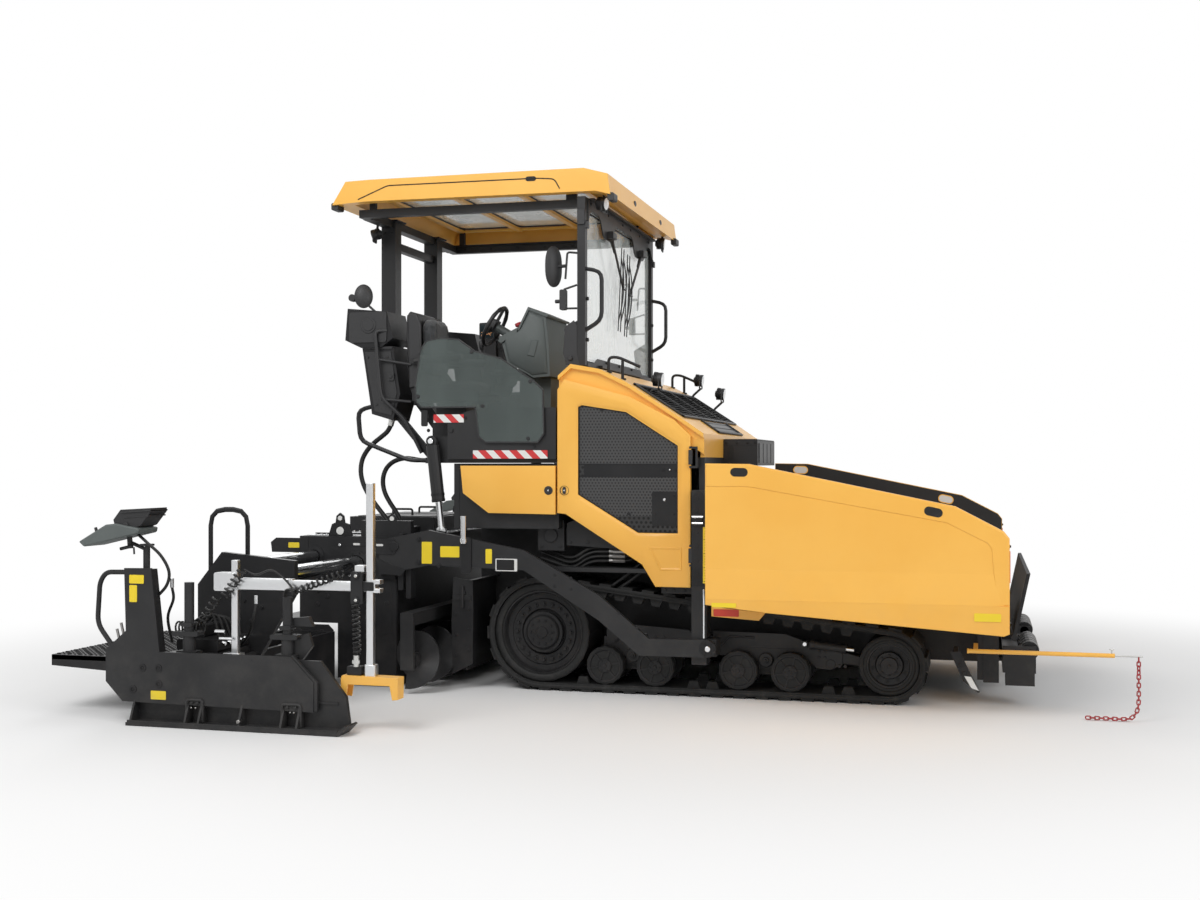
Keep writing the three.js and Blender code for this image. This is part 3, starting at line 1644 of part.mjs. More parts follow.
/** The hoop that a worker holds; pushed in, the extension stops with it just outside the main screed. */
function hoopRail() {
  const y = SCREED.halfWidth + EXTENSION.stroke + 20 + RUN_GAP;
  return bentBar(
    [
      [EXTENSION.rearX + 30, y, EXTENSION.boxTop - 30],
      [EXTENSION.rearX + 30, y, 1343],
      [-2290, y, 1343],
      [-2290, y, EXTENSION.boxTop - 30],
    ],
    18,
    110,
  ).add(box(
    [-2320, EXTENSION.rearX + 10],
    [y - 20, y + 20],
    [EXTENSION.boxTop - 61, EXTENSION.boxTop - 20],
  ));
}

function walkwayLug(y) {
  const z = WALKWAY.top - WALKWAY.wall / 2;
  const plate = box([WALKWAY.hingeX - 20, EXTENSION.rearX + 1], [y, y + 24], [z - 20, z + 20]);
  const pin = bar([WALKWAY.hingeX, y - 24, z], [WALKWAY.hingeX, y + 48, z], WALKWAY.pinR, PIN_SIDES);
  return plate.add(pin);
}

/** A folding walkway behind the extension, hinged along its front edge. */
function walkway() {
  const z = WALKWAY.top - WALKWAY.wall / 2;
  const half = WALKWAY.wall / 2;
  const plate = box(
    [WALKWAY.rearX, WALKWAY.hingeX - 30],
    [WALKWAY.innerY, WALKWAY.outerY],
    [z - half, z + half],
  );
  const side = (y) =>
    sidePlate(
      [
        [WALKWAY.rearX, z - half - 70],
        [WALKWAY.rearX, z],
        [WALKWAY.hingeX - 30, z],
        [WALKWAY.hingeX - 30, z - half - 120],
      ],
      [y, y + 14],
    );
  const knuckles = [
    WALKWAY.innerY + 200,
    WALKWAY.outerY - 260,
  ].flatMap((y) => [knuckle(y - 30, y - 6), knuckle(y + 30, y + 54)]);
  return join(plate, side(WALKWAY.innerY), side(WALKWAY.outerY - 14), knuckles);
}

function knuckle(from, to) {
  const z = WALKWAY.top - WALKWAY.wall / 2;
  const eye = box([WALKWAY.hingeX - 31, WALKWAY.hingeX + 18], [from, to], [z - 18, z + 18]);
  return eye.subtract(bar(
    [WALKWAY.hingeX, from - 1, z],
    [WALKWAY.hingeX, to + 1, z],
    boreRadius(WALKWAY.pinR),
    PIN_SIDES,
  ));
}

/** An end gate: side plate, ground shoe, grab hoop and the post with the tilted control box. */
function endGate() {
  const y0 = GATE.innerY;
  const y1 = GATE.innerY + GATE.wall;
  const shoeY = [GATE.shoeY, GATE.shoeY + GATE.shoeWall];
  return join(
    sidePlate(
      [
        [-2919, 451],
        [-2772, 997],
        [-2590, 1000],
        [-2532, 470],
        [-1584, 470],
        [-1421, 304],
        [-1448, 30],
        [-2721, 30],
        [-2889, 258],
      ],
      [y0, y1],
    ),
    sidePlate(
      [
        [-2715, 0],
        [-2715, 50],
        [-2640, 120],
        [-1260, 120],
        [-1185, 60],
        [-1185, 0],
      ],
      shoeY,
    ),
    sidePlate(
      [
        [-2680, 110],
        [-2690, 330],
        [-2600, 420],
        [-1630, 440],
        [-1504, 546],
        [-1230, 260],
        [-1200, 110],
      ],
      [y1 - 1, shoeY[0] + GATE.guideWall],
    ),
    bentBar(
      [
        [-2780, (y0 + y1) / 2, 960],
        [-3000, (y0 + y1) / 2, 960],
        [-3010, (y0 + y1) / 2, 500],
        [-2880, (y0 + y1) / 2, 470],
      ],
      16,
      80,
    ),
    bar([-2690, (y0 + y1) / 2, 980], [-2700, (y0 + y1) / 2, 1150], 24, 10),
    sidePlate(
      [
        [-3060, 1120],
        [-2720, 1140],
        [-2600, 1300],
        [-2630, 1370],
        [-2900, 1310],
        [-3080, 1180],
      ],
      [y0 - 130, y1 + 110],
    ),
  );
}

addPair("tow_arm", towArm(), CHARCOAL);
add("screed_frame", screedFrame(), BLACK);
addPair("screed_extension", screedExtension(), BLACK);
addPair("end_gate", endGate(), BLACK);
addPair("walkway", walkway(), STEEL);

// ---- Augers ----------------------------------------------------------------------------------

/** An auger: a shaft with one flight wound round it. */
function auger() {
  const { x, z, radius, shaftR, innerY, outerY, pitch, wall } = AUGER;
  const start = innerY + 40;
  const end = outerY - 40;
  const perTurn = 10;
  const steps = Math.round(((end - start - wall) / pitch) * perTurn);
  const positions = [];
  const section = (i) => {
    const angle = (2 * Math.PI * i) / perTurn;
    const y = start + (i * pitch) / perTurn;
    const point = (r, dy) => [r * Math.cos(angle), y + dy, r * Math.sin(angle)];
    return [point(shaftR - 8, 0), point(radius, 0), point(radius, wall), point(shaftR - 8, wall)];
  };
  const quad = (a, b, c, d) => positions.push(...a, ...c, ...b, ...a, ...d, ...c);
  for (let i = 0; i < steps; i += 1) {
    const now = section(i);
    const next = section(i + 1);
    for (let k = 0; k < 4; k += 1) quad(now[k], next[k], next[(k + 1) % 4], now[(k + 1) % 4]);
  }
  quad(...section(0));
  quad(...section(steps).reverse());
  const flight = new THREE.BufferGeometry();
  flight.setAttribute("position", new THREE.Float32BufferAttribute(positions, 3));
  flight.translate(x, 0, z);
  return join(solid(flight), bar([x, innerY + SEAT_GAP, z], [x, outerY - SEAT_GAP, z], shaftR, 10));
}

/** The auger's gear case, cross beam and end bearings, hung from the rear of the chassis. */
function augerCarrier() {
  const { x, z, radius, innerY, outerY } = AUGER;
  const beam = [z + radius + 60, z + radius + 150];
  return join(
    box([x - 70, x + 70], [-innerY, innerY], [z - 120, beam[0] + 1]),
    box([x - 50, x + 50], [-outerY - 30, outerY + 30], beam),
    both((s) => box([x - 50, x + 50], [s * outerY, s * (outerY + 30)], [z - 60, beam[0] + 1])),
    both((s) => box([x + 49, CHASSIS.rearX - SEAT_GAP], [s * 573, s * 597], [beam[0] + 10, beam[1] - 5])),
  );
}

addPair("auger", auger(), STEEL);
add("auger_carrier", augerCarrier(), CHARCOAL);

// ---- Lift cylinders --------------------------------------------------------------------------

const liftAxis = new THREE.Vector3(LIFT.eyeX - LIFT.topX, 0, LIFT.eyeZ - LIFT.topZ);
const liftLength = liftAxis.length();
liftAxis.normalize();

/** A point on the lift cylinder's line, so far down from its top pin. */
function onLift(way, y = LIFT.y) {
  return [LIFT.topX + liftAxis.x * way, y, LIFT.topZ + liftAxis.z * way];
}

function liftBarrel() {
  const eye = bar([LIFT.topX, LIFT.y - 20, LIFT.topZ], [LIFT.topX, LIFT.y + 20, LIFT.topZ], 42, 12);
  const tube = bar(onLift(30), onLift(LIFT.barrel), LIFT.barrelR, 14);
  const bore = bar(onLift(70), onLift(LIFT.barrel + 1), LIFT.rodR + PIN_GAP, 10);
  const pin = bar(
    [LIFT.topX, LIFT.y - 60, LIFT.topZ],
    [LIFT.topX, LIFT.y + 60, LIFT.topZ],
    boreRadius(LIFT.pinR),
    PIN_SIDES,
  );
  return cut(eye.add(tube), bore, pin);
}

function liftRod() {
  const rod = bar(onLift(liftLength - LIFT.rod), onLift(liftLength - 10), LIFT.rodR, 10);
  return rod.add(bar([LIFT.eyeX, LIFT.y - 18, LIFT.eyeZ], [LIFT.eyeX, LIFT.y + 18, LIFT.eyeZ], 36, 12));
}

addPair("lift_barrel", liftBarrel(), CHARCOAL);
addPair("lift_rod", liftRod(), CHROME);

// ---- Steering guide and grade sensor ---------------------------------------------------------

/** The steering guide: a yellow tube with a thin rod at its tip, on a bracket beside the hopper. */
function guideBar() {
  const { y, z, rearX, frontX, tipX, tubeR, rodR } = GUIDE;
  return join(
    bar([rearX, y, z], [frontX, y, z], tubeR, 12),
    bar([frontX - 5, y, z], [tipX, y, z], rodR, 10),
    bar([frontX + 90, y, z - 30], [frontX + 90, y, z + 14], 5, 8),
    box([rearX + 20, rearX + 70], [y - 10, -CHASSIS.halfWidth - SEAT_GAP], [z - 16, z + 16]),
  );
}

/** The chain that hangs from the rod to the ground and trails back. */
function guideChain() {
  const x = GUIDE.frontX + 90;
  const low = GUIDE.linkR + 3;
  const path = new THREE.CatmullRomCurve3(
    [
      [x, GUIDE.z - 30 - SEAT_GAP],
      [x, 300],
      [x, 180],
      [x - 6, 80],
      [x - 40, 24],
      [x - 90, low],
      [x - 180, low],
      [x - 320, low],
    ].map(([px, pz]) => new THREE.Vector3(px, GUIDE.y, pz)),
  );
  return sweep(path, GUIDE.linkR, 8, 20);
}

/** The grade sensor's aluminium arm and legs with the yellow guard at the foot. */
function sensorBracket() {
  const { y, postX, legX, armZ, top } = SENSOR;
  const seat = 430;
  return join(
    box([postX - 20, postX + 20], [y - 20, y + 20], [seat, 1040]),
    box([postX - 145, legX + 65], [y - 22, y + 22], [armZ - 35, armZ + 35]),
    box([postX - 145, postX + 12], [y - 40, y + 40], [armZ - 66, armZ + 66]),
    box([legX - 22, legX + 22], [y - 22, y + 22], [GUARD.top - 20, top]),
    box([postX - 60, postX + 20], [y - 20, -GATE.innerY + SEAT_GAP], [seat, seat + 24]),
    sidePlate(
      [
        [GUARD.rearX, GUARD.low],
        [GUARD.rearX + GUARD.wall, GUARD.low],
        [GUARD.rearX + GUARD.wall, GUARD.top - GUARD.wall],
        [GUARD.frontX - GUARD.wall, GUARD.top - GUARD.wall],
        [GUARD.frontX - GUARD.wall, GUARD.low],
        [GUARD.frontX, GUARD.low],
        [GUARD.frontX, GUARD.top],
        [GUARD.rearX, GUARD.top],
      ],
      [y - 50, y + 50],
    ),
  );
}

/** One hose on its route in a plane across the machine. */
function hose({ y, route }) {
  const line = new THREE.CatmullRomCurve3(route.map(([x, z]) => new THREE.Vector3(x, y, z)));
  return tubeAlong(line.getSpacedPoints(24), HOSE_RADIUS, 8);
}

add("hose_upper", hose(HOSE_UPPER), HOSE);
add("hose_lower", hose(HOSE_LOWER), HOSE);
add("guide_bar", guideBar(), YELLOW);
add("guide_chain", guideChain(), RED);
add("sensor_bracket", sensorBracket(), STEEL);

export default paver;
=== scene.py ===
"""Tracked asphalt paver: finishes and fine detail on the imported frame.

Everything is in metres, in the frame's own axes: +X forward to the hopper, +Y left, +Z up.
"""
import json
import math

import bmesh
import bpy
from mathutils import Matrix, Vector

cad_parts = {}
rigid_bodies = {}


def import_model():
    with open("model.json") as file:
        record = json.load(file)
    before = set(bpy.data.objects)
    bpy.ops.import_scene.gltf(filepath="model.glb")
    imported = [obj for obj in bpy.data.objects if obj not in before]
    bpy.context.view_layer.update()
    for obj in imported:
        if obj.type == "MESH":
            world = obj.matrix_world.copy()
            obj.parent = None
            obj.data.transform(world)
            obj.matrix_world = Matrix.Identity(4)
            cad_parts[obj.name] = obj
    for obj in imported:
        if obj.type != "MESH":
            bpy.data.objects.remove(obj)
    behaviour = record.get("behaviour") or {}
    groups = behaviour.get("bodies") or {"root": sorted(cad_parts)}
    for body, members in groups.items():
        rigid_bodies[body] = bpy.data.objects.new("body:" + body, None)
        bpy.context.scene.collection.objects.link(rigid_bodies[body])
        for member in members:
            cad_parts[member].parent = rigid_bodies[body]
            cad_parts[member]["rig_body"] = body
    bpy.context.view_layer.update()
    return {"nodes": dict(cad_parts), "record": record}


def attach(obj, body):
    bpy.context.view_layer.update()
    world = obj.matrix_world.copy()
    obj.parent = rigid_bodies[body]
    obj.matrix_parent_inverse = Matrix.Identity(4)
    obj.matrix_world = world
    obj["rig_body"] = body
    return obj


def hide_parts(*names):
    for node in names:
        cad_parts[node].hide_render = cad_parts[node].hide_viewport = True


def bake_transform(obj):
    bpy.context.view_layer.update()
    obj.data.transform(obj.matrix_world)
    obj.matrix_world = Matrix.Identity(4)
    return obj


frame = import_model()
SIDES = (("left", 1), ("right", -1))
NODES = frame["nodes"]

# ---- Camera ----------------------------------------------------------------------------------

CAMERA_PLACE = (2.52, -11.046, 1.66)
CAMERA_LOOK = (-0.2592, 0.9658, 0)
LENS_MM = 42.6
SHIFT_Y = 0.0108


def make_camera():
    data = bpy.data.cameras.new("camera")
    data.lens = LENS_MM
    data.sensor_width = 36
    data.shift_y = SHIFT_Y
    data.dof.use_dof = False
    camera = bpy.data.objects.new("camera", data)
    camera.location = CAMERA_PLACE
    camera.rotation_euler = Vector(CAMERA_LOOK).to_track_quat("-Z", "Y").to_euler()
    bpy.context.scene.collection.objects.link(camera)
    bpy.context.scene.camera = camera


make_camera()

# ---- Finishes --------------------------------------------------------------------------------


class Value:
    """A socket of a finish; arithmetic on it adds Math nodes."""

    def __init__(self, finish, socket):
        self.finish = finish
        self.socket = socket

    def _maths(self, operation, *values):
        return self.finish.node("Math", dict(enumerate(values)), operation=operation)

    def __add__(self, other):
        return self._maths("ADD", self, other)

    def __sub__(self, other):
        return self._maths("SUBTRACT", self, other)

    def __rsub__(self, other):
        return self._maths("SUBTRACT", other, self)

    def __mul__(self, other):
        return self._maths("MULTIPLY", self, other)

    def __truediv__(self, other):
        return self._maths("DIVIDE", self, other)

    def __gt__(self, other):
        return self._maths("GREATER_THAN", self, other)

    def __lt__(self, other):
        return self._maths("LESS_THAN", self, other)

    def __abs__(self):
        return self._maths("ABSOLUTE", self)

    __radd__ = __add__
    __rmul__ = __mul__

    def clamped(self):
        return self.finish.node("Clamp", {"Value": self}, out="Result")

    def fraction(self):
        return self._maths("FRACT", self)

    def sine(self):
        return self._maths("SINE", self)


class Finish:
    """One material, built node by node around a Principled shader."""

    def __init__(self, name, colour=None, roughness=0.5, metallic=0.0, **constants):
        self.material = bpy.data.materials.new(name)
        self.material.use_nodes = True
        self.tree = self.material.node_tree
        self.tree.nodes.clear()
        self.shader = self.tree.nodes.new("ShaderNodeBsdfPrincipled")
        self.output = self.tree.nodes.new("ShaderNodeOutputMaterial")
        self.tree.links.new(self.shader.outputs[0], self.output.inputs["Surface"])
        if colour:
            self.set("Base Color", (*colour, 1))
        self.set("Roughness", roughness)
        self.set("Metallic", metallic)
        for socket, value in constants.items():
            self.set(socket.replace("_", " "), value)

    def put(self, socket, value):
        if isinstance(value, Value):
            self.tree.links.new(value.socket, socket)
        else:
            socket.default_value = value

    def set(self, socket, value):
        self.put(self.shader.inputs[socket], value)

    def node(self, kind, inputs=(), out=0, stops=(), **settings):
        """Adds a node of that type with its settings, then its inputs, and gives one of its outputs."""
        made = self.tree.nodes.new("ShaderNode" + kind)
        for name, value in settings.items():
            setattr(made, name, value)
        for index, (place, colour) in enumerate(stops):
            ramp = made.color_ramp.elements
            stop = ramp[index] if index < len(ramp) else ramp.new(place)
            stop.position = place
            stop.color = colour
        for socket, value in dict(inputs).items():
            self.put(made.inputs[socket], value)
        return Value(self, made.outputs[out])

    def coords(self, scale=(1, 1, 1), turn=(0, 0, 0)):
        place = self.node("TexCoord", out="Object")
        return self.node("Mapping", {"Vector": place, "Scale": scale, "Rotation": turn})

    def axis(self, name):
        return self.node("SeparateXYZ", {"Vector": self.node("TexCoord", out="Object")}, out=name)

    def noise(self, scale, detail=3.0, roughness=0.55, stretch=(1, 1, 1)):
        inputs = {"Vector": self.coords(stretch), "Scale": scale, "Detail": detail, "Roughness": roughness}
        return self.node("TexNoise", inputs)

    def mix(self, factor, first, second):
        """Goes from the first colour to the second."""
        pair = [value if isinstance(value, Value) else (*value, 1) for value in (first, second)]
        inputs = {0: factor, 6: pair[0], 7: pair[1]}
        return self.node("Mix", inputs, out=2, data_type="RGBA")

    def ramp(self, value, low, high):
        """A smooth step from 0 at low to 1 at high."""
        inputs = {"Value": value, "From Min": low, "From Max": high}
        return self.node("MapRange", inputs, interpolation_type="SMOOTHSTEP")

    def bump(self, height, depth, strength=0.5):
        self.set("Normal", self.node("Bump", {"Height": height, "Distance": depth, "Strength": strength}))


def paint(name, colour, shade, roughness, dust=(0.30, 0.27, 0.23), dust_top=0.9, dust_most=0.25, peel=0.0004,
          gloss=0.5):
    """Sprayed paint: faint cloudiness, orange peel, and road dust that thickens towards the ground."""
    finish = Finish(name, Coat_Weight=0.24 * gloss, Coat_Roughness=0.18, Specular_IOR_Level=gloss)
    cloud = finish.noise(1.7, 4)
    fine = finish.noise(38, 4)
    base = finish.mix(finish.ramp(cloud, 0.35, 0.7), colour, shade)
    height = finish.ramp(finish.axis("Z"), dust_top, -0.1)
    settled = (height * finish.ramp(finish.noise(6, 5, 0.65), 0.35, 0.75) * dust_most).clamped()
    finish.set("Base Color", finish.mix(settled, base, dust))
    finish.set("Roughness", (fine * 0.12 + settled * 0.5 + (roughness - 0.06)).clamped())
    finish.bump(finish.noise(420, 2), peel, 0.35)
    return finish.material


def cast(name, colour, roughness=0.6):
    """Painted casting with a coarse skin."""
    finish = Finish(name)
    finish.set("Base Color", finish.mix(finish.noise(14, 5), colour, [c * 1.7 + 0.01 for c in colour]))
    finish.set("Roughness", finish.noise(30, 3) * 0.2 + (roughness - 0.1))
    finish.bump(finish.noise(160, 4), 0.0012, 0.5)
    return finish.material


def rubber(name, colour, roughness=0.72, dust=0.22):
    """Moulded rubber with grey road dust in its pores."""
    finish = Finish(name, Specular_IOR_Level=0.35)
    dusty = finish.ramp(finish.noise(9, 6, 0.7), 0.48, 0.78) * dust
    finish.set("Base Color", finish.mix(dusty, colour, (0.17, 0.16, 0.15)))
    finish.set("Roughness", dusty * 0.3 + roughness)
    finish.bump(finish.noise(260, 3), 0.0008, 0.4)
    return finish.material


def plastic(name, colour, roughness=0.5, grain=0.0004):
    """Moulded plastic with a fine leather-like grain."""
    finish = Finish(name)
    inputs = {"Vector": finish.coords(), "Scale": 700.0}
    cells = finish.node("TexVoronoi", inputs)
    finish.set("Base Color", finish.mix(finish.noise(5, 3), colour, [c * 1.35 + 0.004 for c in colour]))
    finish.set("Roughness", finish.noise(60, 3) * 0.1 + (roughness - 0.05))
    finish.bump(cells, grain, 0.4)
    return finish.material


def metal(name, colour, roughness=0.3, brushed=(1, 1, 30), stain=(0.16, 0.13, 0.1), stained=0.2):
    """Bare metal with fine brush lines and a little staining."""
    finish = Finish(name, metallic=1.0)
    lines = finish.noise(90, 3, stretch=brushed)
    spots = finish.ramp(finish.noise(7, 6, 0.7), 0.55, 0.8) * stained
    finish.set("Base Color", finish.mix(spots, colour, stain))
    finish.set("Roughness", lines * 0.14 + spots * 0.5 + (roughness - 0.07))
    finish.bump(lines, 0.0002, 0.25)
    return finish.material


def tread_plate(name, colour):
    """Aluminium tread plate: small raised bars that cross in turn."""
    finish = Finish(name, metallic=0.9)
    first = finish.node("TexWave", {"Vector": finish.coords(turn=(0, 0, 0.785)), "Scale": 12.0}, out=1)
    second = finish.node("TexWave", {"Vector": finish.coords(turn=(0, 0, -0.785)), "Scale": 12.0}, out=1)
    checks = finish.node("TexChecker", {"Vector": finish.coords(), "Scale": 26.0}, out="Fac")
    raised = finish.ramp(first, 0.72, 0.9) * checks + finish.ramp(second, 0.72, 0.9) * (1 - checks)
    worn = finish.noise(8, 5)
    finish.set("Base Color", finish.mix(raised * worn, colour, [min(1, c * 2.2) for c in colour]))
    finish.set("Roughness", 0.5 - raised * 0.18)
    finish.bump(raised, 0.002, 0.6)
    return finish.material


def glazing(name, tint, clear, roughness=0.05, haze=0.25):
    """Sheet glazing: mostly see-through, with a faint smear."""
    finish = Finish(name, Specular_IOR_Level=0.6, IOR=1.45)
    smear = finish.ramp(finish.noise(3.5, 4, stretch=(1, 1, 0.4)), 0.3, 0.8)
    finish.set("Base Color", finish.mix(smear, tint, [min(1, c * 1.25) for c in tint]))
    finish.set("Roughness", smear * 0.1 + roughness)
    finish.set("Alpha", (1 - clear) + smear * (haze * (1 - clear)))
    return finish.material


def woven(name, colour, light):
    """Woven seat cover on the piece's own coordinates."""
    finish = Finish(name, Sheen_Weight=0.35, Sheen_Roughness=0.5)
    across = finish.node("TexWave", {"Vector": finish.coords(), "Scale": 210.0}, out=1, bands_direction="Y")
    along = finish.node("TexWave", {"Vector": finish.coords(), "Scale": 210.0}, out=1, bands_direction="Z")
    weave = across * along
    worn = finish.ramp(finish.noise(6, 5), 0.4, 0.8)
    finish.set("Base Color", finish.mix(weave * 0.6 + worn * 0.25, colour, light))
    finish.set("Roughness", 0.92 - weave * 0.15)
    finish.bump(weave, 0.0012, 0.5)
    return finish.material


def striped(name, first, second, pitch, lean=1.0):
    """Two-colour warning stripes that lean in the X-Z plane."""
    finish = Finish(name, Coat_Weight=0.1)
    ruler = (finish.axis("X") + finish.axis("Z") * lean) / pitch
    band = finish.ramp(ruler.fraction(), 0.495, 0.505)
    grime = finish.noise(25, 5)
    finish.set("Base Color", finish.mix(grime * 0.12, finish.mix(band, first, second), (0.2, 0.18, 0.16)))
    finish.set("Roughness", grime * 0.15 + 0.32)
    return finish.material


def lamp_lens(name, colour, glow):
    """A ribbed lamp lens with a soft light behind it."""
    finish = Finish(name, Emission_Strength=glow)
    ribs = finish.node("TexWave", {"Vector": finish.coords(), "Scale": 90.0}, out=1)
    lit = finish.mix(ribs * 0.4, colour, (1, 1, 1))
    finish.set("Base Color", lit)
    finish.set("Emission Color", lit)
    finish.set("Roughness", ribs * 0.1 + 0.12)
    finish.bump(ribs, 0.001, 0.4)
    return finish.material


YELLOW = paint("yellow_paint", (0.93, 0.50, 0.085), (0.90, 0.465, 0.07), 0.36, dust_most=0.10, dust_top=1.3)
CHARCOAL = paint(
    "charcoal_paint", (0.020, 0.020, 0.021), (0.030, 0.030, 0.031), 0.46, dust=(0.12, 0.11, 0.10), gloss=0.26
)
BLACK = paint(
    "black_paint", (0.012, 0.012, 0.013), (0.022, 0.022, 0.023), 0.42, dust=(0.10, 0.09, 0.085), gloss=0.24
)
CAST = cast("cast_engine", (0.02, 0.02, 0.021))
TRACK = rubber("track_rubber", (0.014, 0.014, 0.014))
# Dark wheel rubber, also drawn as dark discs and rings of painted shade in holes, slots and recesses.
TYRE_AND_SHADE = rubber("wheel_rubber_and_painted_shade", (0.011, 0.011, 0.011), 0.6, 0.12)
APRON = rubber("apron_rubber", (0.016, 0.016, 0.017), 0.66, 0.3)
HOSE = rubber("hose_rubber", (0.010, 0.010, 0.010), 0.42, 0.1)
PLASTIC = plastic("black_plastic", (0.014, 0.014, 0.015))
GREY = plastic("grey_plastic", (0.085, 0.098, 0.095), 0.55)
SEAT = woven("seat_fabric", (0.035, 0.037, 0.04), (0.12, 0.125, 0.13))
CLEAR = glazing("clear_glass", (0.70, 0.76, 0.75), 0.66)
ROOF_PANE = glazing("roof_pane", (0.50, 0.54, 0.53), 0.45, 0.25)
SMOKED = glazing("smoked_glass", (0.075, 0.095, 0.09), 0.42, 0.08)
CHROME = metal("rod_chrome", (0.82, 0.83, 0.84), 0.12, (1, 1, 1), stained=0.05)
STEEL = metal("worn_steel", (0.34, 0.33, 0.32), 0.4, (1, 30, 1), stained=0.45)
BRIGHT = metal("zinc_plate", (0.62, 0.62, 0.60), 0.34, (1, 1, 1))
TREAD = tread_plate("tread_aluminium", (0.10, 0.10, 0.10))
PROFILE = metal("aluminium_profile", (0.72, 0.73, 0.74), 0.3, (1, 1, 0.05), stained=0.08)
RED = paint("red_chain", (0.42, 0.018, 0.025), (0.34, 0.014, 0.02), 0.42)
STRIPES = striped("warning_stripes", (0.62, 0.02, 0.025), (0.82, 0.82, 0.80), 0.12)
LABEL = paint("plain_yellow_label", (0.88, 0.66, 0.02), (0.82, 0.60, 0.02), 0.4)
# Plain white for labels, also drawn as white patches of painted daylight in holes and slots.
WHITE = paint("white_label_and_painted_daylight", (0.72, 0.72, 0.70), (0.66, 0.66, 0.65), 0.45)
LENS = lamp_lens("lamp_lens", (0.78, 0.82, 0.85), 0.05)
AMBER = lamp_lens("amber_lens", (1.0, 0.35, 0.02), 0.15)
SCREEN = glazing("display_screen", (0.02, 0.03, 0.035), 0.0, 0.08)
MIRROR = metal("mirror_face", (0.85, 0.87, 0.88), 0.09, (1, 1, 1), stained=0.0)

FINISH_OF_SLOT = {
    "charcoal_paint": CHARCOAL,
    "yellow_paint": YELLOW,
    "cast_engine": CAST,
    "track_rubber": TRACK,
    "black_paint": BLACK,
    "apron_rubber": APRON,
    "black_plastic": PLASTIC,
    "grey_plastic": GREY,
    "seat_fabric": SEAT,
    "clear_glass": CLEAR,
    "smoked_glass": SMOKED,
    "rod_chrome": CHROME,
    "worn_steel": STEEL,
    "tread_aluminium": TREAD,
    "aluminium_profile": PROFILE,
    "hose_rubber": HOSE,
    "red_chain": RED,
}


def finish_frame():
    """Gives every node of the frame the finish of its material slot."""
    for part in frame["record"]["subparts"]:
        node = NODES[part["node"]]
        node.data.materials.clear()
        node.data.materials.append(FINISH_OF_SLOT[part["material_slot"]])
    NODES["roof_panes"].data.materials[0] = ROOF_PANE


finish_frame()

# ---- Shapes ----------------------------------------------------------------------------------


def smooth_line(points, steps=6):
    """Points along a smooth curve through the given ones."""
    line = [Vector(p) for p in points]
    ends = [line[0] * 2 - line[1], *line, line[-1] * 2 - line[-2]]
    made = []
    for a, b, c, d in zip(ends, ends[1:], ends[2:], ends[3:]):
        for i in range(steps):
            t = i / steps
            made.append(
                0.5 * (
                    2 * b + (c - a) * t + (2 * a - 5 * b + 4 * c - d) * t * t + (3 * b - a - 3 * c + d) * t**3
                )
            )
    return [*made, line[-1]]


def bent_line(points, bend, steps=5):
    """A line of straight runs whose corners are rounded by a bend."""
    line = [Vector(points[0])]
    for before, corner, after in zip(points, points[1:], points[2:]):
        corner = Vector(corner)
        back = Vector(before) - corner
        on = Vector(after) - corner
        reach = min(bend, back.length / 2, on.length / 2)
        start = corner + back.normalized() * reach
        end = corner + on.normalized() * reach
        for i in range(steps + 1):
            t = i / steps
            line.append(start * (1 - t) ** 2 + corner * 2 * t * (1 - t) + end * t * t)
    return [*line, Vector(points[-1])]


def circle(radius, sides, start=0.0):
    """Points round a circle, as (x, y)."""
    turns = [start + 2 * math.pi * i / sides for i in range(sides)]
    return [(radius * math.cos(a), radius * math.sin(a)) for a in turns]


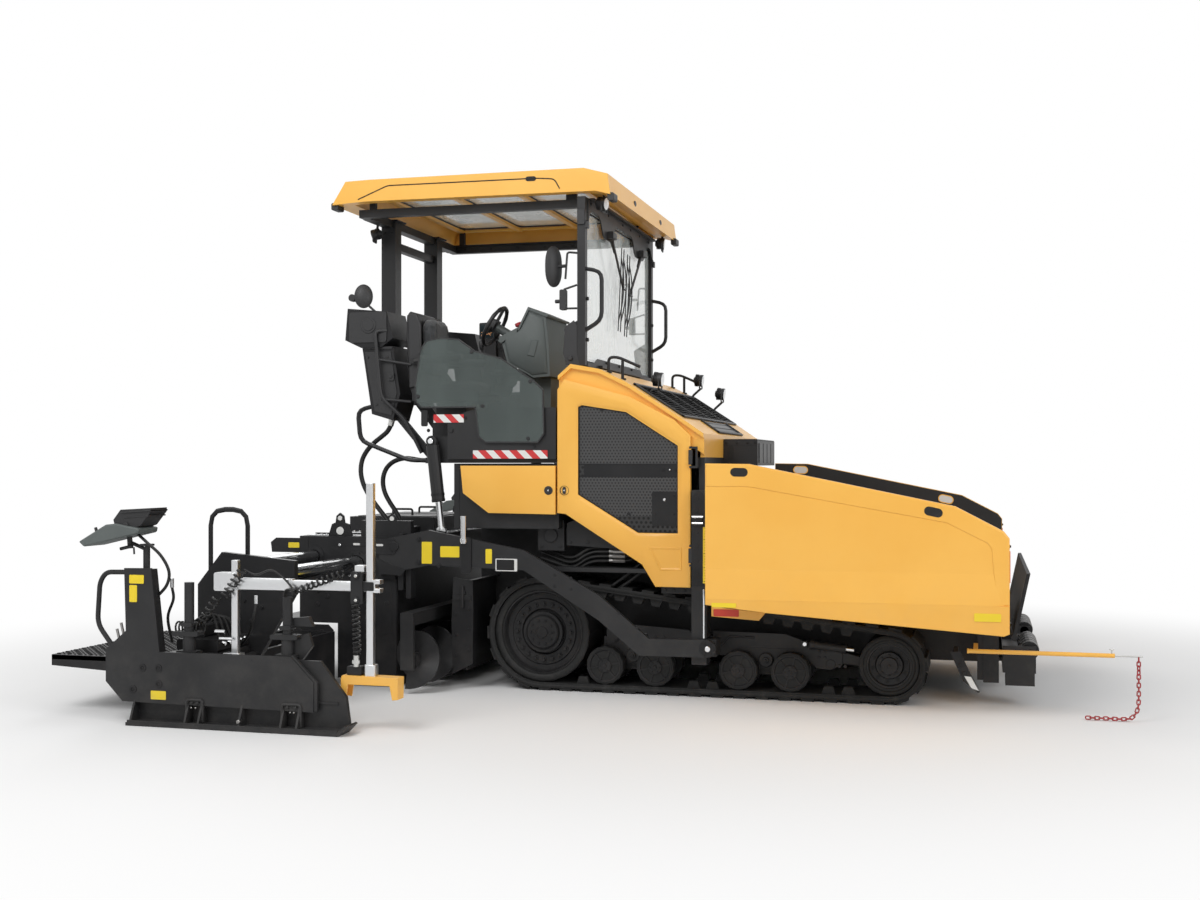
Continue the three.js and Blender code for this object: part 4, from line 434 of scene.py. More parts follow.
class Shape:
    """Collects solids of one piece; each is drawn in the finish that is set at the time."""

    def __init__(self):
        self.mesh = bmesh.new()
        self.finish = 0

    def _skin(self, rings, closed=True, caps=True):
        """Joins rings of points with faces, and closes the two ends."""
        rows = [[self.mesh.verts.new(p) for p in ring] for ring in rings]
        size = len(rows[0])
        pairs = list(zip(rows, rows[1:])) + ([] if closed else [(rows[-1], rows[0])])
        faces = []
        for low, high in pairs:
            for i in range(size):
                j = (i + 1) % size
                faces.append(self.mesh.faces.new((low[i], low[j], high[j], high[i])))
        if caps and closed:
            faces.append(self.mesh.faces.new(rows[0][::-1]))
            faces.append(self.mesh.faces.new(rows[-1]))
        bmesh.ops.recalc_face_normals(self.mesh, faces=faces)
        for face in faces:
            face.material_index = self.finish
        return self

    def prism(self, outline, span, along="y"):
        """An outline pushed along an axis; its points are the other two axes in order."""
        def place(a, b, c):
            return {"x": (c, a, b), "y": (a, c, b), "z": (a, b, c)}[along]

        return self._skin([[place(a, b, end) for a, b in outline] for end in span])

    def box(self, x, y, z):
        return self.prism([(x[0], z[0]), (x[1], z[0]), (x[1], z[1]), (x[0], z[1])], y)

    def rounded(self, x, y, z, radius, steps=4, along="y"):
        """A box whose four edges along one axis are rounded."""
        spans = {"x": (y, z, x), "y": (x, z, y), "z": (x, y, z)}[along]
        (a0, a1), (b0, b1), span = spans
        outline = []
        for ca, cb, start in (
            (a1 - radius, b1 - radius, 0),
            (a0 + radius, b1 - radius, 90),
            (a0 + radius, b0 + radius, 180),
            (a1 - radius, b0 + radius, 270),
        ):
            for i in range(steps + 1):
                angle = math.radians(start + 90 * i / steps)
                outline.append((ca + radius * math.cos(angle), cb + radius * math.sin(angle)))
        return self.prism(outline, span, along)

    def rod(self, start, end, radius, sides=16):
        return self.tube([start, end], radius, sides)

    def tube(self, line, radius, sides=12):
        """A round bar along a line of points; the radius may be a list, one for each point."""
        line = [Vector(p) for p in line]
        sizes = radius if isinstance(radius, (list, tuple)) else [radius] * len(line)
        ways = [(line[min(i + 1, len(line) - 1)] - line[max(i - 1, 0)]).normalized() for i in range(len(line))]
        side = ways[0].orthogonal().normalized()
        rings = []
        for i, (centre, way, size) in enumerate(zip(line, ways, sizes)):
            if i:
                side = ways[i - 1].rotation_difference(way) @ side
            up = way.cross(side)
            rings.append([centre + side * a + up * b for a, b in circle(size, sides)])
        return self._skin(rings)

    def turned(self, profile, centre, axis="y", sides=40):
        """A profile of (radius, way along the axis) turned about an axis through the centre; it closes on itself."""
        def place(r, t, angle):
            a, b = r * math.cos(angle), r * math.sin(angle)
            local = {"x": (t, a, b), "y": (a, t, b), "z": (a, b, t)}[axis]
            return Vector(centre) + Vector(local)

        angles = [2 * math.pi * i / sides for i in range(sides)]
        return self._skin([[place(r, t, angle) for r, t in profile] for angle in angles], closed=False)

    def disc(self, centre, radius, span, axis="y", sides=32, chamfer=0.003):
        """A solid disc with a small chamfer round both faces."""
        a, b = sorted(span)
        chamfer = min(chamfer, (b - a) / 2.1)
        rings = []
        for r, t in (
            (radius - chamfer, a), (radius, a + chamfer), (radius, b - chamfer), (radius - chamfer, b)
        ):
            ring = []
            for u, v in circle(r, sides):
                local = {"x": (t, u, v), "y": (u, t, v), "z": (u, v, t)}[axis]
                ring.append(Vector(centre) + Vector(local))
            rings.append(ring)
        return self._skin(rings)

    def bolts(self, places, radius, span, axis="y"):
        """Hexagon bolt heads on washers at places of the plane across the axis."""
        for centre in places:
            a, b = span
            self.disc(centre, radius * 1.5, (a, a + (b - a) * 0.3), axis, 16, 0.001)
            self.disc(centre, radius, (a + (b - a) * 0.3, b), axis, 6, 0.001)
        return self

    def turn(self, matrix, first=0):
        """Turns the solids made since there were so many points."""
        self.mesh.verts.ensure_lookup_table()
        bmesh.ops.transform(self.mesh, matrix=matrix, verts=self.mesh.verts[first:])
        return self

    def count(self):
        return len(self.mesh.verts)

    def make(self, name, finishes, body, slot, bevel=0.0, smooth=35):
        """The finished piece, riding on its body."""
        data = bpy.data.meshes.new(name)
        self.mesh.to_mesh(data)
        self.mesh.free()
        finishes = finishes if isinstance(finishes, (list, tuple)) else [finishes]
        for finish in finishes:
            data.materials.append(finish)
        piece = bpy.data.objects.new(name, data)
        bpy.context.scene.collection.objects.link(piece)
        data.shade_smooth()
        mark_sharp(data, smooth)
        if bevel:
            modifier = piece.modifiers.new("edges", "BEVEL")
            modifier.width = bevel
            modifier.segments = 2
            modifier.limit_method = "ANGLE"
            modifier.angle_limit = math.radians(40)
            modifier.harden_normals = False
        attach(piece, body)
        return piece


def mark_sharp(data, degrees):
    """Keeps edges that turn by more than so many degrees crisp."""
    data.set_sharp_from_angle(angle=math.radians(degrees))


# ---- Hoses -----------------------------------------------------------------------------------

HOSE_RADIUS = 0.018
HOSE_ROUTES = {
    "hose_upper": (
        -1.000,
        (
            (-1.8152, 1.9956),
            (-1.8235, 1.9674),
            (-1.8319, 1.9387),
            (-1.860, 1.896),
            (-1.910, 1.856),
            (-1.968, 1.812),
            (-2.022, 1.757),
            (-2.062, 1.688),
            (-2.076, 1.608),
            (-2.064, 1.526),
            (-2.030, 1.448),
            (-1.980, 1.376),
            (-1.925, 1.308),
            (-1.875, 1.248),
            (-1.843, 1.200),
            (-1.831, 1.165),
            (-1.830, 1.140),
            (-1.830, 1.1106),
        ),
    ),
    "hose_lower": (
        -0.920,
        (
            (-1.5206, 1.680),
            (-1.550, 1.680),
            (-1.580, 1.680),
            (-1.630, 1.683),
            (-1.685, 1.692),
            (-1.740, 1.696),
            (-1.800, 1.686),
            (-1.856, 1.660),
            (-1.900, 1.616),
            (-1.924, 1.556),
            (-1.926, 1.490),
            (-1.908, 1.424),
            (-1.872, 1.360),
            (-1.830, 1.300),
            (-1.793, 1.240),
            (-1.774, 1.190),
            (-1.770, 1.150),
            (-1.770, 1.1106),
        ),
    ),
}


def line_length(line):
    return sum((Vector(b) - Vector(a)).length for a, b in zip(line, line[1:]))


def make_hose(node):
    """A hydraulic hose that loops from the deck down to the screed, with a crimped fitting at each end."""
    y, route = HOSE_ROUTES[node]
    line = smooth_line([(x, y, z) for x, z in route], 5)
    sizes = [HOSE_RADIUS] * len(line)
    hose = Shape().tube(line, sizes, 14).make(node + "_cover", HOSE, "root", "hose_rubber")
    hose.parent = None
    del hose["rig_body"]
    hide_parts(node)
    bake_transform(hose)
    for end, body, ends in (("top", "root", line[:3]), ("foot", "screed", line[:-4:-1])):
        way = (ends[1] - ends[0]).normalized()
        fitting = Shape()
        start = ends[0] + way * 0.004
        fitting.tube([start, start + way * 0.016], 0.027, 6)
        fitting.tube([start + way * 0.012, start + way * 0.05], 0.023, 20)
        fitting.make(f"{node}_{end}_fitting", BRIGHT, body, "worn_steel", 0.002)


for hose_node in HOSE_ROUTES:
    make_hose(hose_node)

# ---- Repeats by Geometry Nodes ---------------------------------------------------------------


def repeat_tree(name, stops):
    """A node tree that puts a copy of an object at each vertex of a mesh, turned by its 'turn' attribute."""
    tree = bpy.data.node_groups.new(name, "GeometryNodeTree")
    face = tree.interface
    face.new_socket("Geometry", in_out="INPUT", socket_type="NodeSocketGeometry")
    face.new_socket("Copy", in_out="INPUT", socket_type="NodeSocketObject")
    face.new_socket("Size", in_out="INPUT", socket_type="NodeSocketFloat")
    face.new_socket("Finish", in_out="INPUT", socket_type="NodeSocketMaterial")
    face.new_socket("Geometry", in_out="OUTPUT", socket_type="NodeSocketGeometry")
    nodes = {kind: tree.nodes.new(kind) for kind in stops}
    link = tree.links.new
    given = nodes["NodeGroupInput"].outputs
    link(given["Geometry"], nodes["GeometryNodeInstanceOnPoints"].inputs["Points"])
    link(given["Copy"], nodes["GeometryNodeObjectInfo"].inputs["Object"])
    link(
        nodes["GeometryNodeObjectInfo"].outputs["Geometry"],
        nodes["GeometryNodeInstanceOnPoints"].inputs["Instance"],
    )
    turn = nodes["GeometryNodeInputNamedAttribute"]
    turn.data_type = "FLOAT_VECTOR"
    turn.inputs["Name"].default_value = "turn"
    link(turn.outputs["Attribute"], nodes["FunctionNodeEulerToRotation"].inputs[0])
    link(
        nodes["FunctionNodeEulerToRotation"].outputs[0],
        nodes["GeometryNodeInstanceOnPoints"].inputs["Rotation"],
    )
    link(given["Size"], nodes["GeometryNodeInstanceOnPoints"].inputs["Scale"])
    link(nodes["GeometryNodeInstanceOnPoints"].outputs[0], nodes["GeometryNodeRealizeInstances"].inputs[0])
    link(nodes["GeometryNodeRealizeInstances"].outputs[0], nodes["GeometryNodeSetMaterial"].inputs["Geometry"])
    link(given["Finish"], nodes["GeometryNodeSetMaterial"].inputs["Material"])
    link(nodes["GeometryNodeSetMaterial"].outputs[0], nodes["NodeGroupOutput"].inputs[0])
    return tree


REPEAT = repeat_tree(
    "repeat_on_points",
    (
        "NodeGroupInput",
        "GeometryNodeObjectInfo",
        "GeometryNodeInputNamedAttribute",
        "FunctionNodeEulerToRotation",
        "GeometryNodeInstanceOnPoints",
        "GeometryNodeRealizeInstances",
        "GeometryNodeSetMaterial",
        "NodeGroupOutput",
    ),
)


def repeat(name, copy, places, finish, body, size=1.0, smooth=35):
    """Puts a copy of a shape at each (point, turn) and makes the lot one plain piece on a body."""
    model = bpy.data.meshes.new(name + "_copy")
    copy.mesh.to_mesh(model)
    copy.mesh.free()
    source = bpy.data.objects.new(name + "_copy", model)
    points = bpy.data.meshes.new(name + "_points")
    points.from_pydata([tuple(point) for point, _ in places], [], [])
    turns = points.attributes.new("turn", "FLOAT_VECTOR", "POINT")
    turns.data.foreach_set("vector", [angle for _, turn in places for angle in turn])
    carrier = bpy.data.objects.new(name + "_points", points)
    bpy.context.scene.collection.objects.link(carrier)
    modifier = carrier.modifiers.new("repeat", "NODES")
    modifier.node_group = REPEAT
    sockets = {item.name: item.identifier for item in REPEAT.interface.items_tree if item.in_out == "INPUT"}
    modifier[sockets["Copy"]] = source
    modifier[sockets["Size"]] = size
    modifier[sockets["Finish"]] = finish
    bpy.context.view_layer.update()
    graph = bpy.context.evaluated_depsgraph_get()
    data = bpy.data.meshes.new_from_object(carrier.evaluated_get(graph))
    bpy.data.objects.remove(carrier)
    bpy.data.objects.remove(source)
    data.name = name
    piece = bpy.data.objects.new(name, data)
    bpy.context.scene.collection.objects.link(piece)
    data.shade_smooth()
    mark_sharp(data, smooth)
    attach(piece, body)
    return piece


# ---- Running gear ----------------------------------------------------------------------------

TRACK_Y = 0.9015
TRACK_HALF = 0.2285
REAR = Vector((-0.585, 0, 0.420))
FRONT = Vector((1.910, 0, 0.265))
BELT_WALL = 0.056
ROLLER_X = (-0.110, 0.262, 0.861, 1.230)
ROLLER_Z = 0.1943
ROLLER_R = 0.138
WHEEL_INSET = 0.022


def belt_places(rear_r, front_r, count):
    """So many (place, angle of the outward normal) evenly along the loop round both wheels."""
    span = FRONT.x - REAR.x
    rise = FRONT.z - REAR.z
    centres = math.hypot(span, rise)
    slope = math.atan2(rise, span)
    open_angle = math.asin((rear_r - front_r) / centres)
    top = math.pi / 2 + slope - open_angle
    low = -math.pi / 2 + slope + open_angle
    flat = math.sqrt(centres**2 - (rear_r - front_r) ** 2)
    rear_arc = rear_r * (2 * math.pi - (top - low))
    front_arc = front_r * (top - low)
    total = 2 * flat + rear_arc + front_arc
    places = []

    def rim(centre, r, angle):
        return Vector((centre.x + r * math.cos(angle), 0, centre.z + r * math.sin(angle)))

    for i in range(count):
        way = total * i / count
        if way < rear_arc:
            angle = top + way / rear_r
            places.append((rim(REAR, rear_r, angle), angle))
        elif way < rear_arc + flat:
            t = (way - rear_arc) / flat
            places.append((rim(REAR, rear_r, low).lerp(rim(FRONT, front_r, low), t), low))
        elif way < rear_arc + flat + front_arc:
            angle = low + (way - rear_arc - flat) / front_r
            places.append((rim(FRONT, front_r, angle), angle))
        else:
            t = (way - rear_arc - flat - front_arc) / flat
            places.append((rim(FRONT, front_r, top).lerp(rim(REAR, rear_r, top), t), top))
    return places


def make_guide_lugs(side, s):
    """The rubber guide lugs that stand on the inside of the track along both edges."""
    lug = Shape()
    height, half = 0.05, 0.048
    outline = [(-half, -0.004), (half, -0.004), (half * 0.62, height), (-half * 0.62, height)]
    for y in (-0.205, 0.160):
        lug.prism(outline, (y, y + 0.045))
    places = []
    for point, angle in belt_places(REAR.z - BELT_WALL, FRONT.z - BELT_WALL, 50):
        on_wheel = min((point - REAR).length - REAR.z, (point - FRONT).length - FRONT.z) < 0.012
        over_roller = any(abs(point.x - x) < 0.16 for x in ROLLER_X) and point.z < 0.2
        if on_wheel or over_roller:
            continue
        place = point + Vector((0, s * TRACK_Y, 0))
        places.append((place, (0, -angle - math.pi / 2, 0)))
    repeat("track_guide_lugs_" + side, lug, places, TRACK, "root")


def make_belt_edges(side, s):
    """A rounded bead along each edge of the belt."""
    shape = Shape()
    for edge in (-1, 1):
        loop = [point for point, _ in belt_places(REAR.z - 0.030, FRONT.z - 0.030, 120)]
        rings = []
        y = s * TRACK_Y + edge * (TRACK_HALF + 0.001)
        for i, point in enumerate(loop):
            ahead = loop[(i + 1) % len(loop)] - loop[i - 1]
            out = Vector((ahead.z, 0, -ahead.x)).normalized()
            ring = []
            for a, b in circle(0.014, 8):
                ring.append(point + Vector((0, y, 0)) + out * a + Vector((0, b * 0.35, 0)))
            rings.append(ring)
        shape._skin(rings, closed=False)
    shape.make("track_bead_" + side, TRACK, "root", "track_rubber")


def make_drive_wheel(side, s):
    """The drive wheel's rubber lip, dished rim, bolt circle and planetary hub."""
    face = s * (TRACK_Y + TRACK_HALF - WHEEL_INSET)
    radius = REAR.z - BELT_WALL - 0.003
    centre = Vector((REAR.x, 0, REAR.z))

    def out(depth):
        return face + s * depth

    ring = Shape()
    lip = [
        (radius - 0.004, out(-0.03)),
        (radius - 0.004, out(0.006)),
        (radius - 0.014, out(0.014)),
        (radius - 0.046, out(0.014)),
        (radius - 0.056, out(0.004)),
        (radius - 0.056, out(-0.03)),
    ]
    ring.turned(lip, centre, sides=72)
    ring.make("drive_wheel_tyre_" + side, TYRE_AND_SHADE, "root", "track_rubber", smooth=50)
    hub = Shape()
    dish = [
        (radius - 0.057, out(0.002)),
        (radius - 0.066, out(0.004)),
        (radius - 0.072, out(-0.004)),
        (radius - 0.080, out(-0.055)),
        (0.246, out(-0.058)),
        (0.238, out(-0.050)),
        (0.170, out(-0.050)),
        (0.160, out(-0.066)),
        (radius - 0.057, out(-0.066)),
    ]
    hub.turned(dish, centre, sides=72)
    cap = [
        (0.0, out(0.012)),
        (0.040, out(0.012)),
        (0.044, out(0.006)),
        (0.112, out(0.004)),
        (0.124, out(-0.006)),
        (0.128, out(-0.017)),
        (0.149, out(-0.0175)),
        (0.149, out(-0.060)),
        (0.0, out(-0.060)),
    ]
    rings = []
    for r, y in cap[1:-1]:
        rings.append([Vector((centre.x + a, y, centre.z + b)) for a, b in circle(r, 56)])
    hub._skin(rings)
    ring_bolts = [(centre.x + a, 0, centre.z + b) for a, b in circle(0.205, 20)]
    hub.bolts([Vector(p) for p in ring_bolts], 0.012, (out(-0.050), out(-0.026)))
    cap_bolts = [(centre.x + a, 0, centre.z + b) for a, b in circle(0.086, 10)]
    hub.bolts([Vector(p) for p in cap_bolts], 0.007, (out(0.005), out(0.013)))
    hub.disc(centre + Vector((0.062, 0, 0)), 0.014, (out(0.003), out(0.010)))
    hub.make("drive_hub_" + side, BLACK, "root", "black_paint")


def make_idler(side, s):
    """The idler's rubber rim and its steel disc with ten holes and a bolted cap; the holes are dark discs of painted
    shade.
    """
    face = s * (TRACK_Y + TRACK_HALF - WHEEL_INSET)
    radius = FRONT.z - BELT_WALL - 0.003
    centre = Vector((FRONT.x, 0, FRONT.z))

    def out(depth):
        return face + s * depth

    ring = Shape()
    lip = [
        (radius - 0.003, out(-0.03)),
        (radius - 0.003, out(0.008)),
        (radius - 0.012, out(0.014)),
        (radius - 0.026, out(0.014)),
        (radius - 0.034, out(0.004)),
        (radius - 0.050, out(0.004)),
        (radius - 0.056, out(-0.004)),
        (radius - 0.056, out(-0.03)),
    ]
    ring.turned(lip, centre, sides=64)
    ring.make("idler_tyre_" + side, TYRE_AND_SHADE, "root", "track_rubber", smooth=50)
    disc = Shape()
    dish = [
        (radius - 0.057, out(-0.002)),
        (radius - 0.064, out(-0.002)),
        (radius - 0.070, out(-0.040)),
        (0.097, out(-0.046)),
        (0.092, out(-0.068)),
        (radius - 0.057, out(-0.068)),
    ]
    disc.turned(dish, centre, sides=64)
    profile = [(0.088, -0.018), (0.088, -0.0165), (0.060, -0.0165), (0.056, 0.004), (0.016, 0.004)]
    rings = [
        [Vector((centre.x + a, out(depth), centre.z + b)) for a, b in circle(r, 48)]
        for r, depth in profile
    ]
    disc._skin(rings)
    disc.bolts(
        [Vector((centre.x + a, 0, centre.z + b)) for a, b in circle(0.070, 8)],
        0.007,
        (out(-0.016), out(-0.006)),
    )
    disc.disc(centre, 0.010, (out(0.0), out(0.012)))
    disc.make("idler_disc_" + side, BLACK, "root", "black_paint")
    # The ten holes are dark discs on the disc's face: painted shade, not cut holes.
    holes = Shape()
    for a, b in circle(0.115, 10, 0.2):
        holes.disc(centre + Vector((a, 0, b)), 0.013, (out(-0.0455), out(-0.0405)), chamfer=0.0005)
    holes.make("idler_holes_" + side, TYRE_AND_SHADE, "root", "black_paint")


def make_road_wheels(side, s):
    """Outer discs of the road wheels: a rubber tread, a deep rim, six spokes and a bolted hub, with a thin dark ring of
    painted shade behind the spokes.
    """
    face = s * (TRACK_Y + TRACK_HALF - WHEEL_INSET)

    def out(depth):
        return face + s * depth

    tread = Shape()
    steel = Shape()
    for x in ROLLER_X:
        centre = Vector((x, 0, ROLLER_Z))
        tyre = [
            (ROLLER_R + 0.0008, out(-0.060)),
            (ROLLER_R + 0.0008, out(-0.006)),
            (ROLLER_R - 0.006, out(0.004)),
            (ROLLER_R - 0.018, out(0.004)),
            (ROLLER_R - 0.018, out(-0.060)),
        ]
        tread.turned(tyre, centre, sides=48)
        rim = [
            (ROLLER_R - 0.019, out(0.008)),
            (ROLLER_R - 0.027, out(0.008)),
            (ROLLER_R - 0.033, out(0.0015)),
            (ROLLER_R - 0.019, out(0.0015)),
        ]
        steel.turned(rim, centre, sides=48)
        for index in range(6):
            angle = math.radians(60 * index + 12)
            first = steel.count()
            steel.box((0.036, ROLLER_R - 0.022), sorted((out(0.001), out(0.009))), (-0.005, 0.005))
            spin = Matrix.Translation(centre) @ Matrix.Rotation(-angle, 4, "Y")
            steel.turn(spin, first)
        steel.disc(centre, 0.050, sorted((out(0.001), out(0.014))), sides=32)
        steel.disc(centre, 0.016, sorted((out(0.013), out(0.020))), sides=20)
        places = [centre + Vector((a, 0, b)) for a, b in circle(0.036, 6)]
        steel.bolts(places, 0.0055, (out(0.013), out(0.019)))
    tread.make("road_wheel_tread_" + side, TYRE_AND_SHADE, "root", "track_rubber", smooth=50)
    steel.make("road_wheel_spokes_" + side, BLACK, "root", "charcoal_paint")
    # A thin dark ring behind the spokes: painted shade in the wheel's hollow.
    painted_shade_ring = Shape()
    for x in ROLLER_X:
        ring = [
            (ROLLER_R - 0.034, out(0.0005)),
            (0.053, out(0.0005)),
            (0.053, out(0.0014)),
            (ROLLER_R - 0.034, out(0.0014)),
        ]
        painted_shade_ring.turned(ring, Vector((x, 0, ROLLER_Z)), sides=48)
    painted_shade_ring.make("road_wheel_shade_" + side, TYRE_AND_SHADE, "root", "black_paint")


def make_bogies(side, s):
    """Bogie plates, pivots, the tension cylinder and the window in the track beam's cover."""
    y = TRACK_Y + 0.076

    def across(a, b):
        return sorted((s * (y + a), s * (y + b)))

    shape = Shape()
    for rear, front in (ROLLER_X[:2], ROLLER_X[2:]):
        middle = (rear + front) / 2
        shape.prism(
            [
                (middle - 0.20, 0.345),
                (middle - 0.16, 0.290),
                (middle - 0.06, 0.250),
                (middle - 0.05, 0.200),
                (middle + 0.05, 0.200),
                (middle + 0.06, 0.250),
                (middle + 0.16, 0.290),
                (middle + 0.20, 0.345),
            ],
            across(0.0, 0.016),
        )
        pivot = Vector((middle, 0, 0.262))
        shape.disc(pivot, 0.052, across(0.014, 0.040), sides=36, chamfer=0.006)
        shape.disc(pivot, 0.022, across(0.038, 0.052), sides=24)
        shape.disc(pivot, 0.010, across(0.050, 0.060), sides=6)
    cover = [
        (0.68, 0.300),
        (0.66, 0.455),
        (1.18, 0.448),
        (1.32, 0.400),
        (1.58, 0.375),
        (1.58, 0.240),
        (1.50, 0.205),
        (1.40, 0.215),
        (1.30, 0.310),
    ]
    shape.prism(cover, across(0.0, 0.012))
    shape.prism(
        [(-0.12, 0.320), (-0.13, 0.440), (-0.06, 0.490), (0.48, 0.455), (0.54, 0.420), (0.54, 0.320)],
        across(0.0, 0.012),
    )
    for x0, x1 in ((-0.06, 0.18), (0.72, 0.96)):
        frame_line = [(x0, 0.352), (x0 + 0.06, 0.418), (x1, 0.418)]
        shape.tube([(a, s * (y + 0.014), b) for a, b in frame_line], 0.008, 8)
    for x, z in ((1.42, 0.33), (1.42, 0.29), (1.46, 0.33), (1.46, 0.29), (0.24, 0.40), (0.30, 0.40)):
        shape.disc(Vector((x, 0, z)), 0.011, across(0.011, 0.019), sides=6)
    for x, z, r in ((1.50, 0.245, 0.034), (1.56, 0.235, 0.014), (1.60, 0.235, 0.014)):
        shape.disc(Vector((x, 0, z)), r, across(0.010, 0.017), sides=28)
    shape.tube([(1.37, s * (y + 0.05), 0.385), (1.60, s * (y + 0.05), 0.362)], 0.030, 24)
    shape.tube([(1.36, s * (y + 0.05), 0.386), (1.385, s * (y + 0.05), 0.3835)], 0.036, 24)
    shape.tube([(1.585, s * (y + 0.05), 0.3635), (1.61, s * (y + 0.05), 0.361)], 0.035, 24)
    shape.box((1.30, 1.34), across(0.0, 0.07), (0.365, 0.41))
    shape.make("bogie_plates_" + side, CHARCOAL, "root", "charcoal_paint", 0.002)
    rod = Shape()
    rod.tube([(1.605, s * (y + 0.05), 0.3615), (1.665, s * (y + 0.05), 0.3555)], 0.018, 20)
    rod.disc(Vector((1.325, 0, 0.389)), 0.016, across(0.066, 0.082), sides=24)
    rod.make("tension_rod_" + side, CHROME, "root", "rod_chrome")


for side, s in SIDES:
    make_guide_lugs(side, s)
    make_belt_edges(side, s)
    make_drive_wheel(side, s)
    make_idler(side, s)
    make_road_wheels(side, s)
    make_bogies(side, s)
# ---- Body: doors, covers, hood, hopper and tow columns ---------------------------------------


def perforated(name, sheet, behind, pitch, open_share):
    """A dark sheet with staggered round holes; three crossing waves place them. The holes are painted in a darker
    colour, painted shade seen through them.
    """
    finish = Finish(name, Coat_Weight=0.05)
    across = finish.axis("X") * (2 * math.pi / pitch)
    up = finish.axis("Z") * (2 * math.pi / pitch)
    rows = up.sine()
    slant = (across * 0.866 + up * 0.5 + 0.9).sine()
    other = (across * 0.866 - up * 0.5 - 0.9).sine()
    hole = finish.ramp(rows + slant - other, 1.5 - open_share, 1.9 - open_share)
    # The holes take the darker second colour: painted shade seen through the sheet.
    finish.set("Base Color", finish.mix(hole, sheet, behind))
    finish.set("Roughness", 0.42 + hole * 0.4)
    finish.bump(1 - hole, 0.002, 0.5)
    return finish.material


# In both mesh finishes the second colour is the painted shade in the holes.
MESH = perforated("hood_mesh", (0.045, 0.045, 0.046), (0.012, 0.012, 0.012), 0.021, 0.9)
OPEN_MESH = perforated("open_mesh", (0.016, 0.016, 0.016), (0.001, 0.001, 0.001), 0.030, 1.2)
ORANGE = paint("plain_red_label", (0.62, 0.045, 0.02), (0.55, 0.035, 0.02), 0.4)

SKIN = 1.250
DOOR_EDGE = (
    (-0.427, 2.190),
    (-0.375, 2.262),
    (0.111, 2.131),
    (0.429, 1.966),
    (0.548, 1.853),
    (0.548, 0.785),
    (0.296, 0.785),
    (0.200, 0.940),
    (-0.365, 1.293),
    (-0.427, 1.300),
)
DOOR_WINDOW = (
    (-0.273, 2.060),
    (-0.240, 2.075),
    (0.081, 2.023),
    (0.380, 1.832),
    (0.458, 1.782),
    (0.458, 1.164),
    (0.300, 1.164),
    (0.171, 1.164),
    (-0.240, 1.413),
    (-0.273, 1.433),
)


def inset(outline, depth):
    """The outline moved inwards by a depth, each edge parallel to itself."""
    area = sum(a[0] * b[1] - b[0] * a[1] for a, b in zip(outline, outline[1:] + outline[:1]))
    turn = 1 if area > 0 else -1
    made = []
    for before, corner, after in zip(outline[-1:] + outline[:-1], outline, outline[1:] + outline[:1]):
        first = Vector((corner[0] - before[0], corner[1] - before[1])).normalized()
        second = Vector((after[0] - corner[0], after[1] - corner[1])).normalized()
        out = Vector((-first.y, first.x)) + Vector((-second.y, second.x))
        reach = max(out.length_squared / 2, 0.35)
        made.append((corner[0] + turn * depth * out.x / reach, corner[1] + turn * depth * out.y / reach))
    return tuple(made)


def ringed(shape, rings, s):
    """Skins closed rings of (outline, y) into one raised frame."""
    return shape._skin([[(x, s * y, z) for x, z in outline] for outline, y in rings], closed=False)


def raised(shape, outline, base, height, slope, s):
    """A plate with sloping edges on a side's skin."""
    rings = [(outline, base - 0.002), (outline, base), (inset(outline, slope), base + height)]
    return shape._skin([[(x, s * y, z) for x, z in ring] for ring, y in rings])


def oval(x, z, long, high, slope=0.0, steps=8):
    """A slot's outline: two half circles on a straight middle."""
    r = high / 2
    half = long / 2 - r
    made = []
    for centre, start in ((half, -90), (-half, 90)):
        for i in range(steps + 1):
            angle = math.radians(start + 180 * i / steps)
            made.append(Vector((centre + r * math.cos(angle), r * math.sin(angle))))
    turn = Matrix.Rotation(math.atan(slope), 2)
    return [(x + (turn @ p).x, z + (turn @ p).y) for p in made]


def label(name, finish, body, x, z, y, s, size=(0.15, 0.05)):
    """A bare label with rounded corners."""
    plate = Shape().rounded(
        (x - size[0] / 2, x + size[0] / 2), sorted((s * y, s * (y + 0.0012))), (
            z - size[1] / 2, z + size[1] / 2
        ), 0.006
    )
    return plate.make(name, finish, body, "yellow_paint")


